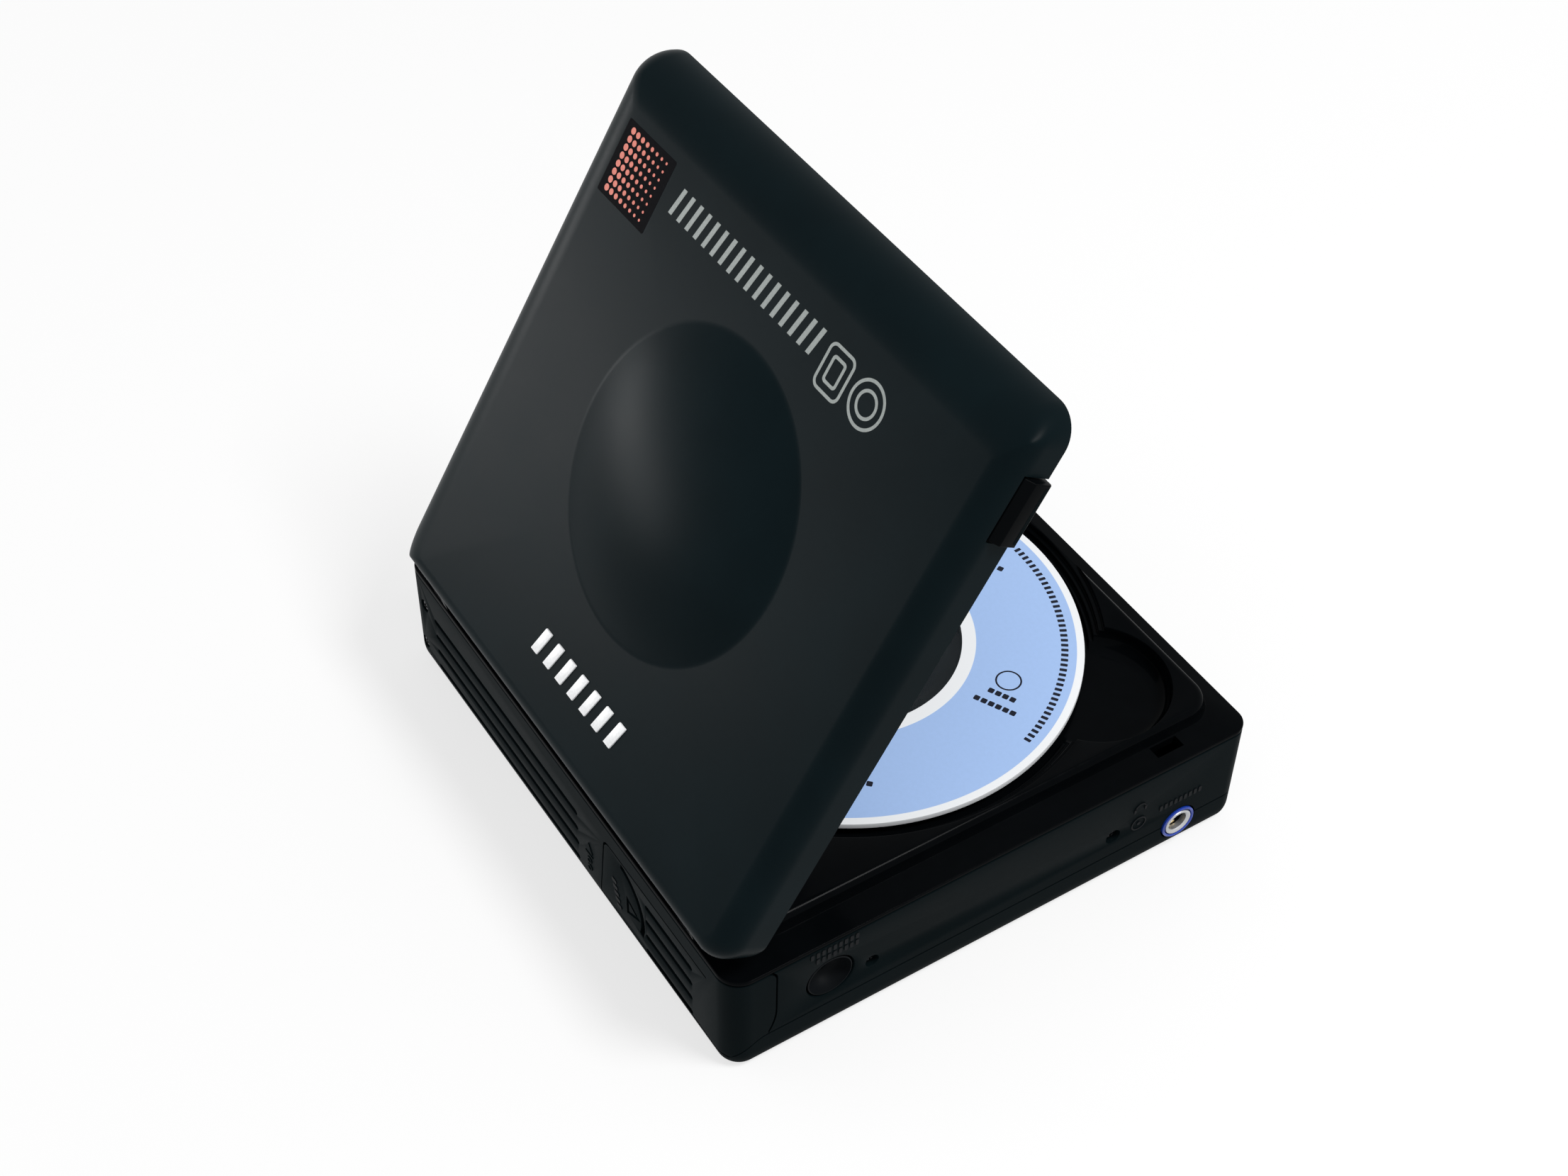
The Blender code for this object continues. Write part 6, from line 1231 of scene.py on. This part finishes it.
def disc_well():
    """The stepped round well, with the edge of each step eased."""
    rise, radius, soft = (PLATEAU - WELL_FLOOR) / WELL_STEPS, WELL_RADIUS, EASED
    profile = [(0, WELL_FLOOR), (radius - WELL_EASED, WELL_FLOOR), (radius - 0.09, WELL_FLOOR + 0.09)]
    profile.append((radius, WELL_FLOOR + WELL_EASED))
    for i in range(1, WELL_STEPS):
        height = WELL_FLOOR + rise * i
        profile += [(radius, height - soft), (radius + soft, height)]
        radius += WELL_STEP
        profile += [(radius - soft / 2, height), (radius, height + soft / 2)]
    profile += [(radius, PLATEAU - WELL_EASED), (radius + 0.09, PLATEAU - 0.09)]
    profile += [(radius + WELL_EASED, PLATEAU), (radius + WELL_EASED, PLATEAU + OVER), (0, PLATEAU + OVER)]
    return turned("well", profile, 192, (0, DISC_Y, 0))


def finger_dip():
    """The round dip where a finger lifts the disc's edge."""
    radius, soft = FINGER_RADIUS, FINGER_ROUND
    profile = [(0, WELL_FLOOR)]
    for i in range(11):
        turn = pi / 2 * i / 10
        profile.append((radius - soft * (1 - sin(turn)), WELL_FLOOR + soft * (1 - cos(turn))))
    profile += [(radius, PLATEAU - 0.3), (radius + 0.1, PLATEAU - 0.08), (radius + 0.3, PLATEAU)]
    profile += [(radius + 0.3, PLATEAU + OVER), (0, PLATEAU + OVER)]
    return turned("finger", profile, 96, (FINGER_X, FINGER_Y, 0))


# Disc and its drive


def disc(sizes):
    """The disc in three bodies: its clear hub, its printed side and its read side."""
    hub, edge, low, high = sizes.hub_edge / MM, DISC_RADIUS, DISC_BOTTOM, DISC_TOP
    middle, centre, bore = low + DISC_LAYER, (0, DISC_Y, 0), DISC_BORE
    shape = [(bore + 0.1, low), (bore, low + 0.1), (bore, high - 0.1), (bore + 0.1, high), (hub - 2.3, high)]
    shape += [(hub - 2.1, high - 0.12), (hub - 1.6, high - 0.12), (hub - 1.4, high), (hub, high), (hub, low)]
    shape += [(hub - 1.0, low), (hub - 1.2, low - 0.15), (hub - 1.9, low - 0.15), (hub - 2.1, low)]
    label = [(hub, middle), (edge, middle), (edge, high - 0.15), (edge - 0.05, high - 0.04)]
    label += [(edge - 0.15, high), (hub, high)]
    read = [(hub, low), (edge - 0.15, low), (edge - 0.04, low + 0.04), (edge, low + 0.15)]
    read += [(edge, middle), (hub, middle)]
    layers = (
        ("disc_clear_hub", shape, 160, "disc clear"),
        ("disc_label_side", label, 224, "disc label"),
        ("disc_read_layer", read, 224, "disc read side"),
    )
    for name, profile, segments, material in layers:
        piece = turned(name, profile, segments, centre, closed=True)
        finish(piece, name, "disc", material, "disc", ("disc",))
    tick = prism("tick", pill(0, 0, 0.6, 0.3, 0.12), -INK_SUNK, INK_PROUD)
    start, step = radians(TICK_START), radians(TICK_STEP)
    tick = round_arc(tick, "label ink", sizes.tick_count, TICK_RADIUS, start, step, (0, DISC_Y, high))
    finish(tick, "disc_tick_ring", "disc", "label ink", "disc")
    low, high, inner, outer = high - INK_SUNK, high + INK_PROUD, DISC_RING_INNER, DISC_RING_OUTER
    ring = [(inner, low), (outer, low), (outer, high), (inner, high)]
    marks = [turned("circle", ring, 48, DISC_RING_SPOT, closed=True)]
    for x, y, lean, count in DISC_ROWS:
        row = Matrix.Translation((x, y, 0)) @ Matrix.Rotation(radians(lean), 4, "Z")
        for i in range(count):
            bar = prism("bar", pill(0, 0, 0.5, 0.52, 0.2), low, high)
            bar.data.transform(row @ Matrix.Translation(((i - (count - 1) / 2) * DISC_ROW_PITCH, 0, 0)))
            marks.append(bar)
    finish(gather("marks", marks), "disc_print_marks", "disc", "label ink", "disc")


def drive():
    """What shows of the drive when the disc is lifted out."""
    refined("turntable", "spindle", "inner black", "dark", smooth=40)
    low, inner, outer = DISC_BOTTOM, 9.4, 13.0
    pad = [(inner, low - 0.32), (outer, low - 0.32), (outer, low - 0.06)]
    pad += [(outer - 0.1, low), (inner + 0.1, low), (inner, low - 0.06)]
    pad = turned("pad", pad, 96, (0, DISC_Y, 0), closed=True)
    finish(pad, "turntable_pad", "spindle", "rubber", "rubber")
    refined("disc_clip", "spindle", "steel", "steel")
    refined("chassis_plate", "base", "zinc", "zinc", 0.06)
    refined("pickup_sled", "sled", "inner black", "dark", 0.1)
    for node, body, material in (
        ("sled_rack", "sled", "nylon"),
        ("feed_gear", "feed_gear", "nylon"),
        ("motor_pinion", "motor_pinion", "brass"),
    ):
        refined(node, body, material, material)
    for node in ("guide_rod_front", "guide_rod_back"):
        refined(node, "base", "steel", "steel", smooth=60)
    refined("pickup_lens", "sled", "lens glass", "glass", smooth=60)
    for count in (1, 2, 3):
        refined(f"rubber_damper_{count}", "base", "rubber", "rubber", smooth=60)


# Sockets, keys and controls


def sockets():
    start, left = LEFT + 0.15, LEFT - 0.3
    dish = []
    for i in range(17):
        turn = pi / 2 * i / 16
        across = DC_RADIUS - (DC_RADIUS - DC_BORE) * (1 - cos(turn))
        dish.append((across * (1 - 0.04 * (1 - i / 16)), start + DC_DISH * sin(turn)))
    profile = [(0, start + 7.9), (DC_BORE, start + 7.9), *dish[::-1], (DC_RADIUS - 0.08, start)]
    profile += [(DC_RADIUS, start + 0.08), (DC_RADIUS, start + 9.5), (0, start + 9.5)]
    inlet = turned("inlet", profile, 72, (0, DC_Y, DC_Z), "X")
    finish(inlet, "power_inlet", "base", "inner black", "dark", ("dc_jack",))
    front, end = start + DC_DISH, start + 7.6
    pin = [(0, front), (0.5, front), (0.8, front + 0.5), (0.8, end), (0, end)]
    pin = turned("pin", pin, 32, (0, DC_Y, DC_Z), "X")
    finish(pin, "power_inlet_pin", "base", "steel", "steel", ("dc_jack_pin",))
    inner, outer, end = 2.75, 3.2, LEFT + WALL
    ring = [(inner, left + 0.15), (inner + 0.2, left), (outer - 0.15, left), (outer, left + 0.15)]
    ring += [(outer, end), (inner, end)]
    inner, outer, end, deep = 1.8, 2.6, left + 1.3, left + 12
    sleeve = [(inner, left + 0.35), (inner + 0.2, left + 0.1), (2.25, left), (outer - 0.1, left + 0.08)]
    sleeve += [(outer, left + 0.25), (outer, end), (inner, end)]
    barrel = [(inner, end), (outer, end), (outer, deep), (inner, deep)]
    rings = (
        ("phones_ring", ring, 64, "blue plastic", "blue", ("headphone_ring",)),
        ("phones_sleeve", sleeve, 64, "zinc", "steel", ("headphone_sleeve",)),
        ("phones_barrel", barrel, 48, "inner black", "dark", ()),
    )
    for name, profile, segments, material, finish_slot, replaces in rings:
        piece = turned(name, profile, segments, (0, PHONES_Y, PHONES_Z), "X", closed=True)
        finish(piece, name, "base", material, finish_slot, replaces)
    leaf = rounded(PHONES_Y - 0.5, PHONES_Y + 0.5, PHONES_Z - 1.75, PHONES_Z - 1.1, 0.1)
    finish(prism("leaf", leaf, LEFT + 1.2, LEFT + 5.0, "X"), "phones_contact", "base", "brass", "brass")
    seat = LEFT + 1.7
    for name, y, z, _, radius in SIDE_SCREWS:
        head = screw_head(radius, 1.0, (seat, y, z), "X", -1)
        shank = cylinder_x("shank", radius, seat, seat + 4, y, z)
        dress(join(head, shank), name, "base", "black screw", "steel")


def key_spots():
    return [KEY_START + KEY_PITCH * i for i in range(4)]


def key_outline(x, grow):
    return pill(x, KEY_Z, KEY_HALF + grow, KEY_TALL + grow, KEY_CORNER + grow, 6)


def display_outline(grow):
    half, tall = DISPLAY_WIDTH / 2 + grow, DISPLAY_HEIGHT / 2 + grow
    return pill(DISPLAY_X, KEY_Z, half, tall, max(DISPLAY_CORNER + grow, GAP), 6)


def key_symbols():
    """Each key's symbol as outlines about its middle: skip back, stop, play and skip forward."""
    back = [[(0.9, -0.8), (0.9, 0.8), (-0.5, 0)], [(-1.0, -0.8), (-0.7, -0.8), (-0.7, 0.8), (-1.0, 0.8)]]
    play = [[(-1.3, -0.8), (0.2, 0), (-1.3, 0.8)]]
    play += [[(x, -0.8), (x + 0.35, -0.8), (x + 0.35, 0.8), (x, 0.8)] for x in (0.6, 1.25)]
    stop = [[(-0.75, -0.75), (0.75, -0.75), (0.75, 0.75), (-0.75, 0.75)]]
    forward = [[(-x, y) for x, y in shape] for shape in back]
    return back, stop, play, forward


def front_panel():
    names = ("skip_back_key", "stop_key", "play_key", "skip_forward_key")
    face, inside = -DEPTH - 0.48, WALL - DEPTH
    behind = inside + GAP
    levels = ((-0.55, face), (-0.2, face + 0.06), (0.0, face + 0.35), (0.0, behind), (1.0, behind))
    levels += ((1.0, inside + 1.3),)
    for name, x, shapes in zip(names, key_spots(), key_symbols()):
        key = loft("key", [[(u, y, v) for u, v in key_outline(x, grow)] for grow, y in levels])
        dress(key, name, name, "key plastic", "key")
        signs = [[(x + u, KEY_Z + v) for u, v in shape] for shape in shapes]
        signs = [prism("sign", shape, face - 0.015, face + 0.02, "Y") for shape in signs]
        finish(gather("signs", signs), name + "_symbol", name, "grey print", "key")
    levels = ((-0.25, GAP - DEPTH), (0.0, GAP - DEPTH + 0.2), (0.0, inside))
    window = loft("window", [[(u, y, v) for u, v in display_outline(grow)] for grow, y in levels])
    dress(window, "display_window", "base", "window", "glass")
    module = prism("module", display_outline(-1.2), behind, behind + 2.2, "Y")
    dress(module, "display_module", "base", "display", "screen")
    cell = prism("cell", pill(0, 0, 0.8, 0.16, 0.1), -0.01, 0.02, "Y")
    cell = shifted(cell, DISPLAY_X - 10.4, behind - 0.02, KEY_Z - 1.7)
    finish(along_line(cell, "display cells", 11, x=2.08), "display_cells", "base", "display cells", "screen")


def side_controls(sizes):
    centre, radius, count = (WHEEL_X, WHEEL_Y, WHEEL_Z), WHEEL_RADIUS, sizes.rib_count
    core = [(3.1, -0.8), (radius - 0.25, -0.8), (radius, -0.55)]
    core += [(across, -up) for across, up in reversed(core)]
    wheel = turned("wheel", core, 120, centre, closed=True)
    finish(wheel, "volume_wheel_core", "volume_wheel", "key plastic", "key", ("volume_wheel",))
    rib = soften(block("rib", (-0.25, -0.22, -0.6), (0.2, 0.22, 0.6)), 0.08)
    rib = round_arc(rib, "key plastic", count, radius, 0.0, 2 * pi / count, centre)
    finish(rib, "volume_wheel_ribs", "volume_wheel", "key plastic", "key", ("volume_wheel",))

    def slab(name, left, right, half, tall, y=HOLD_Y):
        return block(name, (left, y - half, WHEEL_Z - tall), (right, y + half, WHEEL_Z + tall))

    inner = RIGHT - WALL
    knob = slab("knob", inner - 0.6, RIGHT + 0.8, HOLD_HALF, HOLD_TALL)
    plate = slab("plate", inner - 1.1, inner - GAP, 3.4, 2.1)
    for i in range(4):
        cut(knob, slab("grip", RIGHT + 0.5, RIGHT + 2, 0.2, 2, HOLD_Y - 1.5 + i))
    dress(join(soften(knob, 0.12), plate), "hold_switch", "hold_switch", "key plastic", "key")


def underside():
    seat = FOOT + 1.3
    for count, (x, y) in enumerate(PILLARS, 1):
        head = screw_head(1.9, 0.75, (x, y, seat), "Z", -1)
        shank = cylinder("shank", 0.9, seat, DECK_BOTTOM + 1.0, x, y, 24)
        dress(join(head, shank), f"case_screw_{count}", "base", "black screw", "steel")
    top, radius = FOOT + 0.35, FOOT_RADIUS
    profile = [(0, 0.05), (3.2, 0.05), (3.3, 0.0), (radius - 0.3, 0.0), (radius - 0.1, 0.06)]
    profile += [(radius, 0.2), (radius, top), (0, top)]
    for count, (x, y) in enumerate(FEET, 1):
        foot = turned("foot", profile, 64, (x, y, 0))
        dress(foot, f"rubber_foot_{count}", "base", "rubber", "rubber")


HIDDEN_FINISHES = {
    "lid_switch": "inner black",
    "spindle_motor": "steel",
    "feed_gear_post": "steel",
    "feed_motor": "steel",
    "battery_pack": "battery sleeve",
    "battery_cradle": "inner black",
    "battery_contact_plus": "brass",
    "battery_contact_minus": "brass",
    "headphone_jack_body": "inner black",
    "control_board": "circuit board",
    "volume_pot": "inner black",
    "main_board": "circuit board",
    "processor_chip": "inner black",
    "board_capacitor": "steel",
}


# Stage


def background_rays(tree):
    """1 for rays that see the background: from the camera, in a gloss and through glass."""
    made = tree.node("ShaderNodeLightPath").socket.node
    names = ("Is Camera Ray", "Is Glossy Ray", "Is Transmission Ray")
    kinds = [Signal(tree, made.outputs[name]) for name in names]
    return kinds[0].math("MAXIMUM", kinds[1]).math("MAXIMUM", kinds[2])


def floor():
    """A white floor that stays white to the camera and keeps the player's shadow."""
    half = FLOOR_HALF
    corners = [(-half, -half, 0), (half, -half, 0), (half, half, 0), (-half, half, 0)]
    piece = mesh_object("floor", corners, [(0, 1, 2, 3)])
    paint = Paint("floor white", (0.90, 0.90, 0.90), 0.7)
    paint.set(colour=paint.tinted(paint.noise(0.05, 3.0).above(0.5, 0.6) * 0.2, 0.985))
    glow = paint.node("ShaderNodeEmission", None, {"Color": (1, 1, 1, 1), "Strength": 1.0})
    far = paint.reach().above(HORIZON, HORIZON_BLUR)
    share = background_rays(paint) * (far * (1 - FLOOR_GLOW) + FLOOR_GLOW)
    sockets = {0: share, 1: Signal(paint, paint.shader.outputs[0]), 2: glow}
    both = paint.node("ShaderNodeMixShader", None, sockets)
    paint.tree.links.new(both.socket, paint.tree.nodes["Material Output"].inputs["Surface"])
    piece.data.materials.append(paint.material)


def world(sizes):
    sky = bpy.data.worlds.new("Studio")
    sky.use_nodes = True
    bpy.context.scene.world = sky
    tree = Tree(sky.node_tree)
    ambient = tree.node("ShaderNodeBackground", None, {0: (1, 1, 1, 1), 1: sizes.ambient})
    seen = tree.node("ShaderNodeBackground", None, {0: (1, 1, 1, 1), 1: 1.0})
    both = tree.node("ShaderNodeMixShader", None, {0: background_rays(tree), 1: ambient, 2: seen})
    tree.tree.links.new(both.socket, sky.node_tree.nodes["World Output"].inputs["Surface"])


def lamp(name, power, size, spot):
    light = bpy.data.lights.new(name, "AREA")
    light.shape, light.energy = "ELLIPSE", power
    light.size, light.size_y = size
    holder = bpy.data.objects.new(name, light)
    holder.location = spot
    holder.rotation_euler = (Vector(LAMP_AIM) - Vector(spot)).to_track_quat("-Z", "Y").to_euler()
    bpy.context.scene.collection.objects.link(holder)


def camera(sizes):
    turn, height, roll = radians(CAMERA_TURN), radians(CAMERA_HEIGHT), radians(CAMERA_ROLL)
    back = Vector((sin(turn) * cos(height), -cos(turn) * cos(height), sin(height)))
    right = (-back).cross(Vector((0, 0, 1))).normalized()
    up = right.cross(-back)
    across = cos(roll) * right + sin(roll) * up
    over = -sin(roll) * right + cos(roll) * up
    eye = bpy.data.cameras.new("Camera")
    eye.lens, eye.sensor_width, eye.clip_start = sizes.lens, SENSOR_WIDTH, CLIP_START
    eye.sensor_fit = "HORIZONTAL"
    holder = bpy.data.objects.new("Camera", eye)
    place = Matrix((across, over, back)).transposed().to_4x4()
    place.translation = CAMERA_SPOT
    holder.matrix_world = place
    bpy.context.scene.collection.objects.link(holder)
    bpy.context.scene.camera = holder
    bpy.context.scene.view_settings.view_transform = "Standard"


# Settings


def length(name, description, default):
    return FloatProperty(name=name, description=description, default=default, unit="LENGTH")


def power(name, description, default):
    return FloatProperty(name=name, description=description, default=default, unit="POWER")


def whole(name, description, default, least, most):
    return IntProperty(name=name, description=description, default=default, min=least, max=most)


def shade(name, description, default):
    return FloatVectorProperty(name=name, description=description, default=default, subtype="COLOR")


class PlayerLid(bpy.types.PropertyGroup):
    dome_radius: length("Dome radius", "Half the width of the lid's dome", 0.0253)
    dome_rise: length("Dome rise", "Height of the dome over the lid's top", 0.0045)
    dome_fillet: length("Dome fillet", "Radius of the hollow at the dome's foot", 0.003)
    bar_pitch: length("Bar pitch", "Distance between the slanted bars", 0.00235)
    bar_count: whole("Bars", "Slanted bars printed along the lid's front edge", 17, 1, 20)
    dot_columns: whole("Dot columns", "Columns of graded dots on the dark patch", 8, 1, 8)
    corner_steps: whole("Corner steps", "Facets round each corner of the lid", 14, 4, 40)


class PlayerCase(bpy.types.PropertyGroup):
    groove_width: length("Groove width", "Width of the grooves in the back wall", 0.001)
    groove_depth: length("Groove depth", "Depth of the grooves in the back wall", 0.0007)
    rib_count: whole("Wheel ribs", "Ribs round the volume wheel", 40, 8, 80)


class PlayerDisc(bpy.types.PropertyGroup):
    hub_edge: length("Clear hub", "Outer radius of the clear hub", 0.0198)
    inner_ring: length("Inner ring", "Outer radius of the white inner ring", 0.0221)
    outer_ring: length("Outer ring", "Inner radius of the white outer ring", 0.0387)
    tick_count: whole("Ticks", "Ticks printed along the disc's edge", 42, 1, 120)
    label_colour: shade("Label", "Colour of the disc's label", (0.33, 0.485, 0.79))


class PlayerFinishes(bpy.types.PropertyGroup):
    lid: shade("Lid", "Colour of the lid's plastic", (0.0028, 0.0066, 0.0082))
    case: shade("Case", "Colour of the case's walls", (0.0022, 0.0044, 0.0052))
    cover: shade("Bottom", "Colour of the bottom cover", (0.0026, 0.0048, 0.0056))
    gloss: shade("Deck", "Colour of the glossy deck", (0.0012, 0.0016, 0.0020))
    ring: shade("Socket ring", "Colour of the headphone socket's ring", (0.007, 0.036, 0.30))
    print_grey: shade("Grey print", "Ink of the lid's bars", (0.24, 0.27, 0.26))
    print_white: shade("White paint", "Paint of the raised marks", (0.86, 0.87, 0.88))
    print_orange: shade("Orange print", "Ink of the graded dots", (0.62, 0.13, 0.08))


class PlayerStage(bpy.types.PropertyGroup):
    ambient: FloatProperty(name="Ambient", description="Strength of the even light", default=0.5, min=0)
    key: power("Key light", "Power of the lamp behind the lid", 2.2)
    fill: power("Fill light", "Power of the lamp by the sockets", 7.0)
    lens: FloatProperty(name="Lens", description="Focal length on a 36 mm sensor", default=56.2088, min=1)


# Operators


class DISCPLAYER_OT_lid(bpy.types.Operator):
    """Build the lid's outer shell with its dome, and its hinge pins"""

    bl_idname = "discplayer.lid"
    bl_label = "Lid"

    def execute(self, context):
        lid_shell(context.scene.player_lid)
        hinge_pins()
        return {"FINISHED"}


class DISCPLAYER_OT_lid_inside(bpy.types.Operator):
    """Build the glossy pan inside the lid and the latch button"""

    bl_idname = "discplayer.lid_inside"
    bl_label = "Lid inside and latch"

    def execute(self, context):
        lid_liner()
        latch_button()
        return {"FINISHED"}


class DISCPLAYER_OT_markings(bpy.types.Operator):
    """Print the plain marks on the lid"""

    bl_idname = "discplayer.markings"
    bl_label = "Lid markings"

    def execute(self, context):
        lid_markings(context.scene.player_lid)
        return {"FINISHED"}


class DISCPLAYER_OT_case(bpy.types.Operator):
    """Build the case walls, the bottom and the battery door from one tray"""

    bl_idname = "discplayer.case"
    bl_label = "Case and battery door"

    def execute(self, context):
        case_walls(context.scene.player_case)
        wall_marks()
        return {"FINISHED"}


class DISCPLAYER_OT_deck(bpy.types.Operator):
    """Build the glossy deck with its stepped well and hinge lugs"""

    bl_idname = "discplayer.deck"
    bl_label = "Deck"

    def execute(self, context):
        deck()
        return {"FINISHED"}


class DISCPLAYER_OT_disc(bpy.types.Operator):
    """Build the disc, and dress the drive under it"""

    bl_idname = "discplayer.disc"
    bl_label = "Disc and drive"

    def execute(self, context):
        disc(context.scene.player_disc)
        drive()
        return {"FINISHED"}


class DISCPLAYER_OT_sockets(bpy.types.Operator):
    """Build the power inlet, the headphone socket and the side screws"""

    bl_idname = "discplayer.sockets"
    bl_label = "Sockets"

    def execute(self, context):
        sockets()
        return {"FINISHED"}


class DISCPLAYER_OT_front(bpy.types.Operator):
    """Build the keys and the display of the front wall"""

    bl_idname = "discplayer.front"
    bl_label = "Keys and display"

    def execute(self, context):
        front_panel()
        return {"FINISHED"}


class DISCPLAYER_OT_side_controls(bpy.types.Operator):
    """Build the volume wheel and the hold switch"""

    bl_idname = "discplayer.side_controls"
    bl_label = "Volume and hold"

    def execute(self, context):
        side_controls(context.scene.player_case)
        return {"FINISHED"}


class DISCPLAYER_OT_underside(bpy.types.Operator):
    """Build the rubber feet and the case screws"""

    bl_idname = "discplayer.underside"
    bl_label = "Feet and screws"

    def execute(self, context):
        underside()
        return {"FINISHED"}


class DISCPLAYER_OT_inside(bpy.types.Operator):
    """Give the parts that stay inside the case their finishes"""

    bl_idname = "discplayer.inside"
    bl_label = "Inside parts"

    def execute(self, context):
        for name, material in HIDDEN_FINISHES.items():
            node = frame["nodes"][name]
            if not node.material_slots:
                raise RuntimeError(f"{name} has no material slot")
            for place in node.material_slots:
                place.material = use(material)
        return {"FINISHED"}


class DISCPLAYER_OT_stage(bpy.types.Operator):
    """Lay the floor, hang the lamps and set the camera"""

    bl_idname = "discplayer.stage"
    bl_label = "Stage"

    def execute(self, context):
        sizes = context.scene.player_stage
        floor()
        world(sizes)
        lamp("Key lamp", sizes.key, KEY_SIZE, KEY_SPOT)
        lamp("Fill lamp", sizes.fill, FILL_SIZE, FILL_SPOT)
        camera(sizes)
        return {"FINISHED"}


OPERATORS = (
    DISCPLAYER_OT_lid,
    DISCPLAYER_OT_lid_inside,
    DISCPLAYER_OT_markings,
    DISCPLAYER_OT_case,
    DISCPLAYER_OT_deck,
    DISCPLAYER_OT_disc,
    DISCPLAYER_OT_sockets,
    DISCPLAYER_OT_front,
    DISCPLAYER_OT_side_controls,
    DISCPLAYER_OT_underside,
    DISCPLAYER_OT_inside,
    DISCPLAYER_OT_stage,
)
SETTINGS = {
    "player_lid": PlayerLid,
    "player_case": PlayerCase,
    "player_disc": PlayerDisc,
    "player_finishes": PlayerFinishes,
    "player_stage": PlayerStage,
}


class DISCPLAYER_PT_panel(bpy.types.Panel):
    """The player's sizes and colours, with a button for each piece"""

    bl_label = "Disc Player"
    bl_idname = "DISCPLAYER_PT_panel"
    bl_space_type = "VIEW_3D"
    bl_region_type = "UI"
    bl_category = "Disc Player"

    def draw(self, context):
        for name, group in SETTINGS.items():
            box = self.layout.box()
            for key in group.__annotations__:
                box.prop(getattr(context.scene, name), key)
        for each in OPERATORS:
            self.layout.operator(each.bl_idname)


def register():
    for each in (*SETTINGS.values(), *OPERATORS, DISCPLAYER_PT_panel):
        bpy.utils.register_class(each)
    for name, group in SETTINGS.items():
        setattr(bpy.types.Scene, name, PointerProperty(type=group))


def unregister():
    for name in SETTINGS:
        delattr(bpy.types.Scene, name)
    for each in reversed((*SETTINGS.values(), *OPERATORS, DISCPLAYER_PT_panel)):
        bpy.utils.unregister_class(each)


def main():
    register()
    for each in OPERATORS:
        group, name = each.bl_idname.split(".")
        getattr(getattr(bpy.ops, group), name)()


if __name__ == "__main__":
    main()
